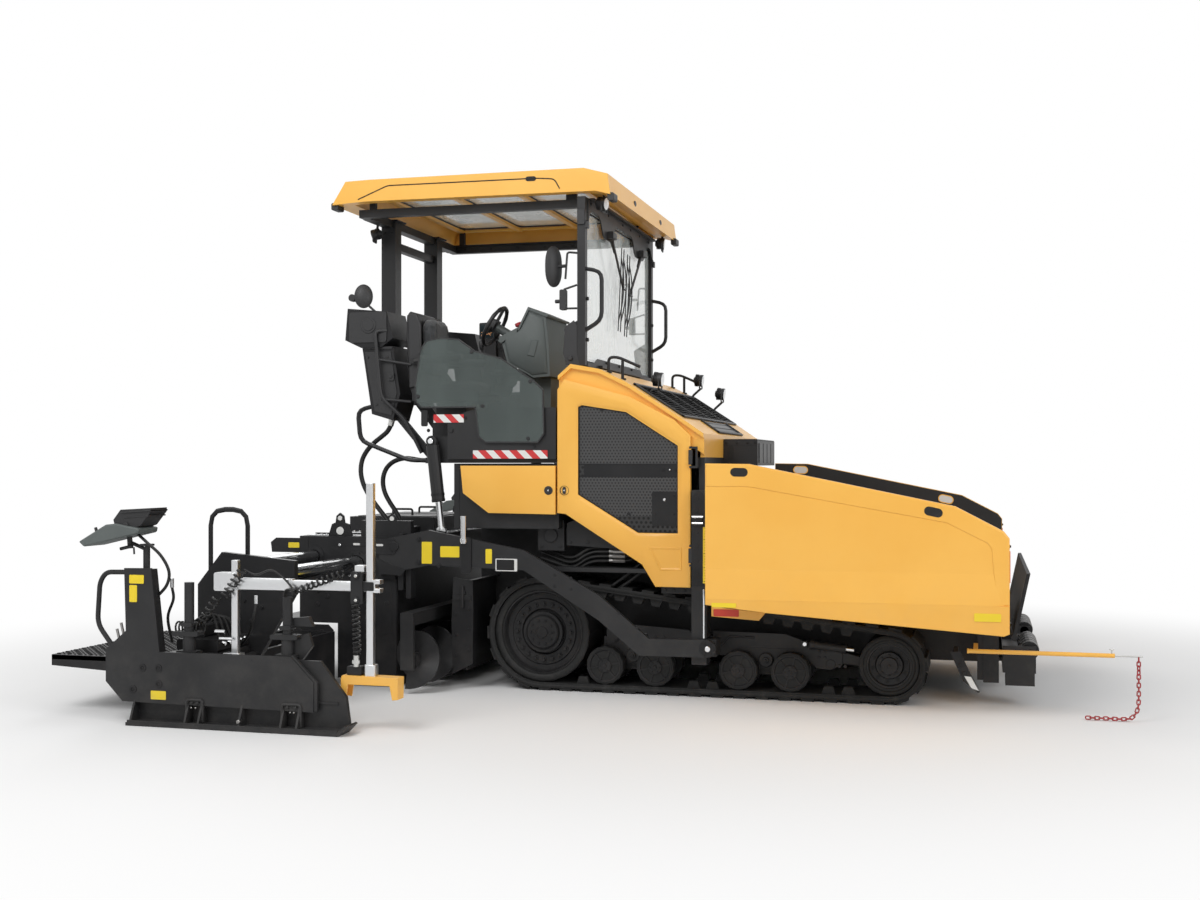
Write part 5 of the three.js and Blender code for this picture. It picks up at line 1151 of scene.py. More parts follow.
def make_door(side, s):
    body = "service_door_" + side

    def across(a, b):
        return sorted((s * a, s * b))

    frame_skin = Shape()
    rings = [
        (inset(DOOR_EDGE, 0.001), SKIN - 0.003),
        (inset(DOOR_EDGE, 0.003), SKIN + 0.0015),
        (inset(DOOR_EDGE, 0.042), SKIN + 0.009),
        (inset(DOOR_WINDOW, -0.030), SKIN + 0.009),
        (inset(DOOR_WINDOW, -0.006), SKIN + 0.001),
        (inset(DOOR_WINDOW, -0.001), SKIN - 0.003),
    ]
    ringed(frame_skin, rings, s)
    frame_skin.make(f"door_{side}_frame", YELLOW, body, "yellow_paint", 0.002, 25)
    panel = Shape()
    edge = ((0.262, 1.056), (0.478, 1.056), (0.478, 0.912), (0.338, 0.912))
    loops = [
        (inset(edge, -0.012), SKIN + 0.008),
        (inset(edge, -0.008), SKIN + 0.0125),
        (edge, SKIN + 0.0125),
        (inset(edge, 0.008), SKIN + 0.008),
    ]
    ringed(panel, loops, s)
    panel.make(f"door_{side}_panel_bead", YELLOW, body, "yellow_paint", 0.001, 25)
    screen = Shape()
    screen.prism(inset(DOOR_WINDOW, 0.001), across(1.2326, 1.2344))
    screen.make(f"door_{side}_mesh", MESH, body, "black_plastic")
    dense = Shape()
    foot = ((-0.020, 1.278), (0.455, 1.290), (0.455, 1.166), (0.172, 1.166))
    dense.prism(foot, across(1.2343, 1.2352))
    dense.prism(((-0.270, 1.645), (-0.232, 1.645), (-0.232, 1.570), (-0.270, 1.570)), across(1.2360, 1.2366))
    dense.make(f"door_{side}_open_mesh", OPEN_MESH, body, "black_plastic")
    band = Shape()
    band.box((-0.271, 0.456), across(1.2343, 1.2358), (1.560, 1.655))
    band.box((-0.271, 0.456), across(1.2355, 1.2385), (1.560, 1.566))
    band.box((-0.271, 0.456), across(1.2355, 1.2385), (1.649, 1.655))
    trim = [
        (inset(DOOR_WINDOW, 0.001), 1.2340),
        (inset(DOOR_WINDOW, 0.001), 1.2440),
        (inset(DOOR_WINDOW, 0.006), 1.2440),
        (inset(DOOR_WINDOW, 0.006), 1.2340),
    ]
    ringed(band, trim, s)
    band.rounded((0.268, 0.448), across(1.2350, 1.2372), (1.215, 1.458), 0.014)
    band.rounded((0.330, 0.385), across(1.2370, 1.2390), (1.225, 1.262), 0.006)
    for x in (0.296, 0.425):
        band.box((x - 0.010, x + 0.010), across(1.2370, 1.2388), (1.205, 1.262))
    band.bolts([Vector((x, 0, 1.612)) for x in (0.352, 0.398, 0.440)], 0.008, (s * 1.2355, s * 1.2425))
    band.bolts(
        [Vector((x, 0, z)) for x in (0.292, 0.428) for z in (1.432, 1.300)], 0.006, (s * 1.237, s * 1.242)
    )
    for x in (-0.10, 0.10):
        band.box((x - 0.012, x + 0.012), across(1.2343, 1.2400), (1.290, 1.305) if x > 0 else (2.030, 2.046))
    band.make(f"door_{side}_band", BLACK, body, "black_plastic", 0.0008)
    pins = Shape()
    pins.disc(Vector((0.358, 0, 1.400)), 0.011, across(1.237, 1.243), sides=20)
    pins.disc(Vector((0.398, 0, 1.612)), 0.006, across(1.242, 1.246), sides=14)
    pins.make(f"door_{side}_catch_pins", CHROME, body, "rod_chrome")
    furniture = Shape()
    for z in (1.700, 1.010):
        furniture.rounded((0.538, 0.566), across(1.250, 1.272), (z - 0.052, z + 0.052), 0.006)
    furniture.turned(
        [(0.000001, s * 1.2515), (0.026, s * 1.2515), (0.030, s * 1.258), (0.034, s * 1.262), (0.034, s * 1.2505),
         (0.000001, s * 1.2505)],
        Vector((-0.372, 0, 1.462)), sides=28,
    )
    furniture.rounded((-0.384, -0.360), across(1.252, 1.266), (1.436, 1.488), 0.010)
    furniture.make(f"door_{side}_hinges_and_latch", PLASTIC, body, "black_plastic", 0.001)
    barrel = Shape().disc(Vector((-0.372, 0, 1.462)), 0.006, across(1.265, 1.268), sides=16)
    barrel.make(f"door_{side}_lock", CHROME, body, "rod_chrome")


def make_cover(side, s):
    body = "rear_cover_" + side
    edge = ((-1.164, 1.640), (-0.440, 1.640), (-0.440, 1.290), (-0.947, 1.296), (-1.144, 1.440))
    skin = Shape()
    raised(skin, inset(edge, 0.001), 1.2645, 0.007, 0.030, s)
    skin.make(f"rear_cover_{side}_skin", YELLOW, body, "yellow_paint", 0.002, 25)
    latch = Shape()
    latch.rounded((-0.500, -0.476), sorted((s * 1.270, s * 1.281)), (1.436, 1.488), 0.010)
    latch.disc(Vector((-0.488, 0, 1.462)), 0.032, sorted((s * 1.270, s * 1.275)), sides=28, chamfer=0.002)
    latch.make(f"rear_cover_{side}_latch", PLASTIC, body, "black_plastic", 0.001)
    barrel = Shape().disc(Vector((-0.488, 0, 1.462)), 0.006, sorted((s * 1.280, s * 1.283)), sides=16)
    barrel.make(f"rear_cover_{side}_lock", CHROME, body, "rod_chrome")


# ---- Hood ------------------------------------------------------------------------------------

HOOD_LINE = ((-0.425, 2.290), (-0.330, 2.372), (-0.122, 2.334), (0.088, 2.232), (0.478, 1.979), (0.640, 1.868))


def hood_point(x, lift):
    """The place over the hood's sheet at x, lifted along the sheet's normal."""
    for (x0, z0), (x1, z1) in zip(HOOD_LINE, HOOD_LINE[1:]):
        if x <= x1:
            slope = (z1 - z0) / (x1 - x0)
            size = math.hypot(1, slope)
            return (x - lift * slope / size, z0 + slope * (x - x0) + lift / size)
    return HOOD_LINE[-1]


def hood_slab(shape, x, y, lift):
    """A flat bar on one straight stretch of the hood."""
    corners = [
        hood_point(x[0], lift[0]),
        hood_point(x[1], lift[0]),
        hood_point(x[1], lift[1]),
        hood_point(x[0], lift[1]),
    ]
    return shape.prism(corners, y)


def make_grille():
    sheet = Shape()
    hood_slab(sheet, (0.100, 0.470), (-1.10, 1.10), (-0.002, 0.004))
    hood_slab(sheet, (0.482, 0.612), (-0.53, 0.53), (-0.002, 0.004))
    sheet.make("hood_grille_sheet", OPEN_MESH, "root", "black_plastic")
    frame_bars = Shape()
    for x in (0.096, 0.452):
        hood_slab(frame_bars, (x, x + 0.022), (-1.105, 1.105), (0.001, 0.016))
    for y in (-1.105, -0.55, -0.02, 0.51, 1.085):
        hood_slab(frame_bars, (0.100, 0.470), (y, y + 0.022), (0.001, 0.016))
    for y in (-0.54, 0.52):
        hood_slab(frame_bars, (0.482, 0.620), (y, y + 0.022), (0.001, 0.016))
    hood_slab(frame_bars, (0.604, 0.624), (-0.54, 0.54), (0.001, 0.016))
    frame_bars.make("hood_grille_frame", PLASTIC, "root", "black_plastic", 0.003)
    slat = Shape()
    slat.prism(((-0.014, 0.0), (0.014, 0.010), (0.014, 0.013), (-0.014, 0.003)), (-0.252, 0.252))
    steps = [0.130 + 0.030 * i for i in range(11)]
    places = []
    for x in steps:
        slope = math.atan2(2.232 - 1.979, 0.478 - 0.088)
        at = hood_point(x, 0.004)
        for y in (-0.817, -0.274, 0.256, 0.808):
            places.append((Vector((at[0], y, at[1])), (0, slope, 0)))
    repeat("hood_grille_slats", slat, places, PLASTIC, "root")


def work_lamp(name, place, aim, stand, body="root", radius=0.052):
    """A round work lamp on a bracket from its stand."""
    place = Vector(place)
    aim = Vector(aim).normalized()
    side = aim.cross(Vector((0, 0, 1))).normalized()
    shell = Shape()
    line = [
        place - aim * 0.060, place - aim * 0.045, place - aim * 0.012, place + aim * 0.010, place + aim * 0.018
    ]
    shell.tube(line, [radius * 0.45, radius * 0.72, radius * 0.96, radius, radius * 0.98], 28)
    for fin in (-0.020, -0.030, -0.040):
        shell.tube([place + aim * fin, place + aim * (fin - 0.004)], radius * 1.02, 28)
    bracket = bent_line([place + side * radius * 1.1, place + side * radius * 1.1 - Vector((0, 0, radius * 1.3)),
                         place - side * radius * 1.1 - Vector((0, 0, radius * 1.3)), place - side * radius * 1.1], 0.014)
    shell.tube(bracket, 0.006, 8)
    shell.tube(bent_line([place - Vector((0, 0, radius * 1.3)), *stand], 0.03), 0.010, 10)
    shell.make(name, PLASTIC, body, "black_plastic", 0)
    lens = Shape().tube([place + aim * 0.016, place + aim * 0.0205], radius * 0.86, 28)
    lens.make(name + "_lens", LENS, body, "black_plastic")


def make_hood_fittings():
    """Three work lamps on stalks, the grab rail, the lifting slot and the exhaust duct's details; the slots are dark
    ovals of painted shade.
    """
    ahead = (1, 0, -0.12)
    for index, (x, y, foot) in enumerate(((0.270, -0.98, 0.20), (0.190, 0.98, 0.12), (0.370, 1.02, 0.30))):
        ground = hood_point(foot, -0.005)
        lift = 0.16 if y > 0 else 0.11
        work_lamp(
            f"hood_lamp_{index}",
            (x, y, ground[1] + lift),
            ahead,
            [(foot, y, ground[1] + 0.03), (foot, y, ground[1])],
        )
    # The lifting slot is a dark oval on the hood: painted shade, not a cut hole.
    hood_slot = Shape()
    hood_slot.prism([(x, y) for x, y in oval(-0.26, -0.90, 0.10, 0.032)], (2.357, 2.3615), "z")
    hood_slot.make("hood_lifting_slot", TYRE_AND_SHADE, "root", "black_plastic")
    rail = Shape()
    for y in (-1.10, 1.10):
        rail.tube(
            bent_line(
                [(-0.085, y, 2.28), (-0.085, y, 2.425), (-0.015, y, 2.425), (0.150, y, 2.352)], 0.035
            ), 0.011, 12
        )
        rail.tube(bent_line([(0.020, y, 2.23), (0.020, y, 2.345), (0.020, y, 2.400)], 0.02), 0.011, 12)
        rail.disc(Vector((-0.085, y, 0)), 0.026, (2.310, 2.322), "z", 20)
        rail.disc(Vector((0.020, y, 0)), 0.026, (2.258, 2.272), "z", 20)
    rail.make("hood_grab_rail", BLACK, "root", "black_paint")
    # The duct's slots are dark ovals on its sides: painted shade, not cut holes.
    duct = Shape()
    for s in (-1, 1):
        upright = [(0.700 + b, 1.738 + a) for a, b in oval(0, 0, 0.110, 0.036)]
        duct.prism(upright, sorted((s * 0.449, s * 0.4520)))
    duct.make("duct_slot", TYRE_AND_SHADE, "root", "black_plastic")
    bolts = Shape()
    for s in (-1, 1):
        bolts.bolts(
            [Vector((x, 0, 1.812)) for x in (0.665, 0.745, 0.825, 0.882)], 0.007, (s * 0.449, s * 0.456)
        )
        bolts.box((0.642, 0.898), sorted((s * 0.449, s * 0.4512)), (1.792, 1.795))
    bolts.rounded((0.642, 0.898), (-0.448, 0.448), (1.829, 1.840), 0.005, along="y")
    for y in (-0.30, -0.10, 0.10, 0.30):
        bolts.box((0.899, 0.906), (y - 0.085, y + 0.085), (1.660, 1.810))
    bolts.make("duct_bolts", BLACK, "root", "black_paint", 0.001)


# ---- Hopper wings ----------------------------------------------------------------------------

WING_SIDE = (
    (0.739, 1.657),
    (1.028, 1.653),
    (2.360, 1.382),
    (2.660, 1.225),
    (2.695, 1.180),
    (2.695, 0.575),
    (2.660, 0.560),
    (1.141, 0.669),
    (0.739, 0.712),
)
WING_SLOTS = ((0.968, 1.598, -0.02), (2.225, 1.346, -0.22))
WING_FACE = 1.700


def make_wing(side, s):
    body = "hopper_wing_" + side

    def across(a, b):
        return sorted((s * a, s * b))

    skin = Shape()
    upper = (
        (0.742, 1.654),
        (1.028, 1.650),
        (2.359, 1.379),
        (2.658, 1.222),
        (2.692, 1.178),
        (2.692, 0.752),
        (2.612, 0.752),
        (2.582, 1.115),
        (2.555, 1.150),
        (2.308, 1.274),
        (1.030, 1.500),
        (0.742, 1.500),
    )
    raised(skin, upper, WING_FACE, 0.0055, 0.007, s)
    rail = [(0.742, 0.752), (2.692, 0.752), (2.692, 0.578), (2.660, 0.563), (1.141, 0.672), (0.742, 0.715)]
    wedge = [[(x, WING_FACE - 0.002, z) for x, z in rail], []]
    for x, z in rail:
        out = 0.014 if z == 0.752 else 0.0012
        wedge[1].append((x, WING_FACE + out, z))
    skin._skin([[(x, s * y, z) for x, y, z in ring] for ring in wedge])
    skin.prism([(0.742, 0.752), (2.692, 0.752), (2.692, 0.775), (0.742, 0.775)], across(1.698, 1.7005))
    slope_up = [[(0.742, 1.698, 0.752), (2.692, 1.698, 0.752), (2.692, 1.698, 0.95), (0.742, 1.698, 0.95)],
                [(0.742, 1.714, 0.752), (2.612, 1.714, 0.752), (2.612, 1.7003, 0.95), (0.742, 1.7003, 0.95)]]
    skin._skin([[(x, s * y, z) for x, y, z in ring] for ring in slope_up])
    skin.make(f"wing_{side}_skin", YELLOW, body, "yellow_paint", 0.0015, 25)
    # The slots are black ovals on the outer face: painted shade, not cut holes.
    holes = Shape()
    rims = Shape()
    for x, z, slope in WING_SLOTS:
        holes.prism(oval(x, z, 0.118, 0.058, slope), across(1.704, 1.7066))
        rims.prism(oval(x, z, 0.132, 0.072, slope), across(1.628, 1.6345))
    holes.make(f"wing_{side}_slots", TYRE_AND_SHADE, body, "black_plastic")
    rims.make(f"wing_{side}_slot_rims", YELLOW, body, "yellow_paint")
    lining = Shape()
    lining.prism(inset(WING_SIDE, 0.004), across(1.633, 1.6405))
    lining.make(f"wing_{side}_lining", CHARCOAL, body, "black_paint", 0.001)
    # White ovals inside the slots: painted daylight seen through them.
    gaps = Shape()
    for x, z, slope in WING_SLOTS:
        gaps.prism(oval(x, z, 0.116, 0.056, slope), across(1.626, 1.630))
    gaps.make(f"wing_{side}_daylight", WHITE, body, "yellow_paint")
    label(f"wing_{side}_label_rear", LABEL, body, 0.866, 0.724, 1.7045, s, (0.165, 0.052))
    label(f"wing_{side}_label_front", LABEL, body, 2.560, 0.678, 1.7100, s, (0.165, 0.052))
    front = Shape()
    front.box((2.6945, 2.6995), across(1.655, 1.695), (0.90, 1.10))
    front.make(f"wing_{side}_reflector", ORANGE, body, "black_plastic", 0.001)
    bolts = Shape()
    bolts.bolts([Vector((0, s * 1.67, z)) for z in (0.66, 0.84, 1.13)], 0.009, (2.694, 2.704), "x")
    bolts.make(f"wing_{side}_front_bolts", BLACK, body, "black_paint")


# ---- Tow columns and what shows under the doors ----------------------------------------------


def make_tow_column(side, s):
    """Scale strip, rack holes, guide rod and lifting eye of the tow-point column."""
    def across(a, b):
        return sorted((s * a, s * b))

    plate = Shape()
    plate.prism([(0.566, 1.420), (0.600, 1.462), (0.634, 1.462), (0.668, 1.420), (0.668, 0.800), (0.566, 0.800)],
                across(1.2895, 1.2925))
    for z in (1.412, 1.330, 1.180, 1.080, 0.980, 0.880):
        plate.disc(Vector((0.600, 0, z)), 0.017, across(1.292, 1.2945), sides=20, chamfer=0.001)
    plate.rounded((0.582, 0.642), across(1.2925, 1.303), (1.218, 1.305), 0.010)
    plate.make(f"tow_column_{side}_face", BLACK, "root", "black_paint", 0.0015)
    strip = Shape().box((0.646, 0.667), across(1.2925, 1.2940), (0.820, 1.212))
    strip.make(f"tow_column_{side}_scale", LABEL, "root", "yellow_paint")
    ticks = Shape()
    for index in range(20):
        z = 0.832 + 0.0195 * index
        ticks.box((0.658 if index % 5 else 0.650, 0.667), across(1.2940, 1.2943), (z, z + 0.0035))
    ticks.make(f"tow_column_{side}_scale_marks", BLACK, "root", "black_paint")
    rods = Shape()
    rods.rod((0.652, s * 1.298, 0.438), (0.652, s * 1.298, 0.780), 0.0075, 14)
    for z in (1.284, 1.240):
        rods.rod((0.572, s * 1.310, z), (0.650, s * 1.310, z), 0.0085, 14)
    rods.make(f"tow_column_{side}_rods", CHROME, "root", "rod_chrome")
    plate = Shape()
    plate.prism([(0.694, 0.655), (1.075, 0.619), (1.029, 0.564), (0.694, 0.585)], across(1.225, 1.237))
    plate.make(f"side_plate_{side}", YELLOW, "root", "yellow_paint", 0.002)
    label(f"side_plate_label_{side}", ORANGE, "root", 0.800, 0.612, 1.2375, s, (0.180, 0.050))
    foot = Shape()
    foot.box((0.330, 0.548), across(1.175, 1.205), (0.735, 0.782))
    foot.bolts([Vector((x, 0, 0.760)) for x in (0.36, 0.42, 0.50)], 0.008, (s * 1.204, s * 1.212))
    foot.make(f"door_sill_{side}", BLACK, "root", "black_paint", 0.002)


def pipe(shape, points, radius, bend=0.05):
    return shape.tube(bent_line(points, bend, 6), radius, 10)


def make_engine_bay_lines(side, s):
    """Clipped pipes and hose ends that run behind the tow arm, under the door."""
    lines = Shape()
    y = 1.06
    for index in range(4):
        lift = 0.034 * index
        pipe(lines, [
            (-0.62, s * (y - 0.03 * index), 0.930 + lift),
            (-0.36, s * y, 0.850 + lift),
            (-0.24, s * y, 0.945 + lift),
            (0.060, s * y, 0.950 + lift),
            (0.160, s * (y - 0.05), 0.985 + lift),
        ], 0.013, 0.09)
    for x in (-0.02, 0.06):
        pipe(
            lines, [(x - 0.14, s * 1.09, 0.700), (x, s * 1.09, 0.800), (x + 0.16, s * 1.05, 0.930)], 0.014, 0.08
        )
    lines.make(f"bay_lines_{side}", HOSE, "root", "black_plastic")
    ends = Shape()
    for index in range(4):
        z = 0.950 + 0.034 * index
        ends.rod((-0.060, s * y, z), (0.030, s * y, z), 0.017, 6)
        ends.rod((-0.090, s * y, z), (-0.060, s * y, z), 0.0155, 16)
    ends.make(f"bay_line_ends_{side}", STEEL, "root", "worn_steel", 0.001)
    plates = Shape()
    plates.prism([(-0.400, 1.220), (-0.335, 1.245), (0.050, 1.060), (0.050, 1.035), (-0.400, 1.060)],
                 sorted((s * 1.085, s * 1.100)))
    plates.bolts([Vector((x, 0, 1.085)) for x in (-0.37, -0.24, -0.06, 0.02)], 0.009, (s * 1.099, s * 1.108))
    plates.box((-0.62, -0.42), sorted((s * 1.06, s * 1.10)), (1.02, 1.24))
    plates.bolts(
        [Vector((x, 0, z)) for x in (-0.59, -0.45) for z in (1.05, 1.21)], 0.009, (s * 1.099, s * 1.108)
    )
    plates.disc(Vector((-0.52, 0, 1.13)), 0.050, sorted((s * 1.099, s * 1.115)), sides=28)
    plates.make(f"bay_plates_{side}", CHARCOAL, "root", "charcoal_paint", 0.002)


for side, s in SIDES:
    make_door(side, s)
    make_cover(side, s)
    make_wing(side, s)
    make_tow_column(side, s)
    make_engine_bay_lines(side, s)
make_grille()
make_hood_fittings()
# ---- Operator's station ----------------------------------------------------------------------

SEAT_Y = 0.850
PAD_GRID = 0.009
PAD_SWELL = 0.022


def swell(piece, grid, reach):
    """Pads a soft piece out: an even grid, cloth under pressure, and a cap on how far a point moves."""
    scene = bpy.context.scene
    remesh = piece.modifiers.new("grid", "REMESH")
    remesh.mode = "VOXEL"
    remesh.voxel_size = grid
    bpy.context.view_layer.update()
    start = bpy.data.meshes.new_from_object(piece.evaluated_get(bpy.context.evaluated_depsgraph_get()))
    piece.modifiers.clear()
    piece.data = start
    cloth = piece.modifiers.new("swell", "CLOTH")
    cloth.settings.use_pressure = True
    cloth.settings.uniform_pressure_force = 4
    cloth.settings.effector_weights.gravity = 0
    cloth.point_cache.frame_end = 20
    for frame_number in range(1, 21):
        scene.frame_set(frame_number)
    swollen = bpy.data.meshes.new_from_object(piece.evaluated_get(bpy.context.evaluated_depsgraph_get()))
    piece.modifiers.clear()
    for vertex, origin in zip(swollen.vertices, start.vertices):
        move = vertex.co - origin.co
        if move.length > reach:
            vertex.co = origin.co + move * (reach / move.length)
    piece.data = swollen
    scene.frame_set(1)


def pad(name, x, y, z, radius, along):
    """A seat cushion: a rounded block that starts small and swells into its space."""
    cushion = Shape()
    cushion.rounded(x, y, z, radius, 6, along)
    piece = cushion.make(name, SEAT, "root", "seat_fabric", smooth=180)
    swell(piece, PAD_GRID, PAD_SWELL)
    piece.data.shade_smooth()
    fine = piece.modifiers.new("fine", "SUBSURF")
    fine.levels = fine.render_levels = 1
    return piece


def lay_seam(shape, piece, points, way):
    """A sewn cord that follows a padded surface: each point is dropped onto it along a direction."""
    graph = bpy.context.evaluated_depsgraph_get()
    bpy.context.view_layer.update()
    target = piece.evaluated_get(graph)
    line = []
    for point in smooth_line(points, 6):
        hit, place, _, _ = target.ray_cast(point - Vector(way) * 0.4, Vector(way))
        if hit:
            line.append(place)
    if len(line) > 3:
        shape.tube(line, 0.0045, 8)


def make_seat(side, s):
    y0 = s * SEAT_Y
    cushion = pad(
        f"seat_pad_{side}", (-1.478, -1.102), (y0 - 0.205, y0 + 0.205), (2.196, 2.252), 0.07, "z"
    )
    back = pad(
        f"seat_back_pad_{side}", (-1.552, -1.492), (y0 - 0.195, y0 + 0.195), (2.312, 2.770), 0.09, "x"
    )
    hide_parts("seat_cushion_" + side)
    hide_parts("seat_cushion_" + side)
    seams = Shape()
    for offset in (-0.115, 0.115):
        lay_seam(seams, cushion, [(-1.47, y0 + offset, 2.3), (-1.30, y0 + offset, 2.3), (-1.11, y0 + offset, 2.3)],
                 (0, 0, -1))
        lay_seam(seams, back, [(-1.4, y0 + offset, 2.32), (-1.4, y0 + offset * 0.9, 2.5), (-1.4, y0 + offset, 2.76)],
                 (-1, 0, 0))
    for z in (2.46, 2.60):
        lay_seam(seams, back, [(-1.4, y0 - 0.11, z), (-1.4, y0, z - 0.01), (-1.4, y0 + 0.11, z)], (-1, 0, 0))
    lay_seam(seams, cushion, [(-1.26, y0 - 0.11, 2.3), (-1.25, y0, 2.3), (-1.26, y0 + 0.11, 2.3)], (0, 0, -1))
    seams.make(f"seat_seams_{side}", PLASTIC, "root", "black_plastic", smooth=180)
    shell = Shape()
    outline = [(-1.585, 2.215), (-1.575, 2.30), (-1.600, 2.70), (-1.608, 2.790), (-1.640, 2.806), (-1.668, 2.770),
               (-1.672, 2.60), (-1.650, 2.26), (-1.630, 2.180)]
    shell.prism(outline, (y0 - 0.225, y0 + 0.225))
    for edge in (-1, 1):
        wing_y = sorted((y0 + edge * 0.222, y0 + edge * 0.248))
        shell.prism([(-1.640, 2.22), (-1.560, 2.24), (-1.540, 2.40), (-1.545, 2.70), (-1.580, 2.790), (-1.650, 2.780)],
                    wing_y)
        shell.prism(
            [(-1.500, 2.120), (-1.085, 2.120), (-1.075, 2.190), (-1.200, 2.225), (-1.500, 2.235)], wing_y
        )
    shell.rounded((-1.52, -1.09), (y0 - 0.22, y0 + 0.22), (2.118, 2.150), 0.03, along="z")
    shell.make(f"seat_shell_{side}", PLASTIC, "root", "black_plastic", 0.010, 30)
    arms = Shape()
    for edge in (-1, 1):
        y = y0 + edge * 0.275
        arms.rounded((-1.53, -1.20), (y - 0.035, y + 0.035), (2.425, 2.468), 0.018, along="x")
    arms.make(f"seat_arm_pads_{side}", PLASTIC, "root", "black_plastic", 0.004)
    lever = Shape()
    x = -1.235
    lever.rod((x, y0 + 0.275, 2.46), (x - 0.01, y0 + 0.275, 2.545), 0.007, 10)
    lever.tube([(x - 0.01, y0 + 0.275, 2.54), (x - 0.012, y0 + 0.275, 2.56), (x - 0.016, y0 + 0.275, 2.60),
                (x - 0.018, y0 + 0.275, 2.615)], [0.012, 0.019, 0.021, 0.012], 16)
    lever.make(f"seat_lever_{side}", PLASTIC, "root", "black_plastic")


STEER = Vector((-1.128, -0.600, 2.721))
STEER_TILT = math.radians(30)


def make_steering_wheel():
    """A padded ring with three spokes and a boxy hub, on the console's raked column."""
    grip = Shape()
    rings = []
    for i in range(56):
        angle = 2 * math.pi * i / 56
        out = Vector((0, math.cos(angle), math.sin(angle)))
        swelling = 0.0155 + 0.0012 * math.cos(12 * angle)
        rings.append([out * (0.160 + swelling * a) + Vector((swelling * b, 0, 0)) for a, b in circle(1, 14)])
    grip._skin(rings, closed=False)
    for degrees in (90, 210, 330):
        first = grip.count()
        grip.rounded((-0.012, 0.004), (0.03, 0.155), (-0.020, 0.020), 0.005, along="y")
        grip.turn(Matrix.Rotation(math.radians(degrees), 4, "X"), first)
    grip.rounded((-0.035, 0.012), (-0.055, 0.055), (-0.050, 0.050), 0.016, along="x")
    grip.disc(Vector((0, 0, 0)), 0.030, (-0.050, -0.034), "x", 24)
    grip.turn(Matrix.Translation(STEER) @ Matrix.Rotation(STEER_TILT, 4, "Y"))
    wheel = grip.make("steering_wheel_grip", PLASTIC, "steering_wheel", "black_plastic", 0.002)
    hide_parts("steering_wheel")


CONSOLE_SIDE = (
    (-0.945, 2.430),
    (-0.760, 2.325),
    (-0.640, 2.335),
    (-0.650, 2.530),
    (-0.674, 2.752),
    (-0.782, 2.802),
    (-0.852, 2.680),
    (-0.990, 2.612),
)


def make_console():
    body = Shape()
    for start, out in ((-0.800, -1), (-0.240, 1)):
        rings = [
            [(x, start - out * 0.002, z) for x, z in CONSOLE_SIDE],
            [(x, start + out * 0.004, z) for x, z in CONSOLE_SIDE],
            [(x, start + out * 0.016, z) for x, z in inset(CONSOLE_SIDE, 0.022)],
        ]
        body._skin(rings)
        step = ((-0.800, 2.470), (-0.735, 2.455), (-0.700, 2.590), (-0.765, 2.600))
        body._skin([[(x, start + out * 0.014, z) for x, z in step],
                    [(x, start + out * 0.022, z) for x, z in inset(step, 0.010)]])
    # Desk lip and the dark dashboard that slopes towards the seat.
    body.prism(
        [(-1.030, 2.585), (-1.005, 2.570), (-0.860, 2.655), (-0.870, 2.690), (-1.018, 2.618)], (-0.815, -0.225)
    )
    body.prism([(-0.885, 2.655), (-0.868, 2.650), (-0.785, 2.815), (-0.640, 2.758), (-0.630, 2.775), (-0.790, 2.842)],
               (-0.815, -0.225))
    body.make("console_shell", GREY, "root", "grey_plastic", 0.006, 30)
    dash = Shape()
    dash.prism([(-0.985, 2.628), (-0.880, 2.682), (-0.884, 2.690), (-0.989, 2.636)], (-0.780, -0.260))
    for index in range(5):
        y = -0.74 + 0.055 * index
        dash.rounded((-0.965, -0.935), (y, y + 0.034), (2.640, 2.668), 0.004, along="y")
    dash.rounded((-0.985, -0.930), (-0.43, -0.36), (2.640, 2.700), 0.010, along="y")
    dash.tube(
        [(-0.955, -0.395, 2.69), (-0.965, -0.395, 2.755), (-0.967, -0.395, 2.775)], [0.010, 0.014, 0.008], 16
    )
    dash.make("console_controls", PLASTIC, "root", "black_plastic", 0.002)
    button = Shape()
    button.rod((-0.874, -0.735, 2.675), (-0.889, -0.735, 2.712), 0.016, 20)
    button.rod((-0.887, -0.735, 2.706), (-0.896, -0.735, 2.728), 0.027, 24)
    button.make("stop_button", RED, "root", "black_plastic", 0.003)
    # The display on its arm beside the wheel.
    arm = Shape()
    arm.tube(bent_line([(-0.99, -0.42, 2.60), (-1.12, -0.42, 2.60), (-1.20, -0.42, 2.68)], 0.03), 0.012, 12)
    first = arm.count()
    arm.rounded((-0.075, 0.075), (-0.016, 0.016), (-0.065, 0.065), 0.010, along="y")
    place = Matrix.Translation((-1.240, -0.440, 2.703)) @ Matrix.Rotation(math.radians(-12), 4, "Z")
    arm.turn(place, first)
    arm.make("display_case", PLASTIC, "root", "black_plastic", 0.003)
    face = Shape().rounded((-0.064, 0.064), (-0.0185, -0.0160), (-0.054, 0.054), 0.005, along="y")
    face.turn(place)
    face.make("display_face", SCREEN, "root", "black_plastic")
    lines = Shape()
    for start, end in (((-0.055, -0.04), (-0.01, 0.03)), ((-0.01, 0.03), (0.05, 0.045)), ((-0.055, -0.01), (0.0, -0.03)),
                       ((0.0, -0.03), (0.055, -0.012)), ((-0.02, 0.01), (0.035, -0.04))):
        lines.tube([(start[0], -0.0190, start[1]), (end[0], -0.0190, end[1])], 0.0018, 6)
    lines.turn(place)
    lines.make("display_lines", AMBER, "root", "black_plastic")

SHIELD_EDGE = (
    (-1.519, 2.232),
    (-1.477, 2.488),
    (-1.434, 2.559),
    (-1.309, 2.580),
    (-1.176, 2.566),
    (-1.052, 2.479),
    (-0.852, 2.423),
    (-0.602, 2.257),
    (-0.528, 2.186),
    (-0.521, 1.871),
    (-0.568, 1.807),
    (-0.965, 1.809),
    (-1.020, 1.850),
    (-1.048, 2.066),
    (-1.470, 2.068),
    (-1.510, 2.110),
)


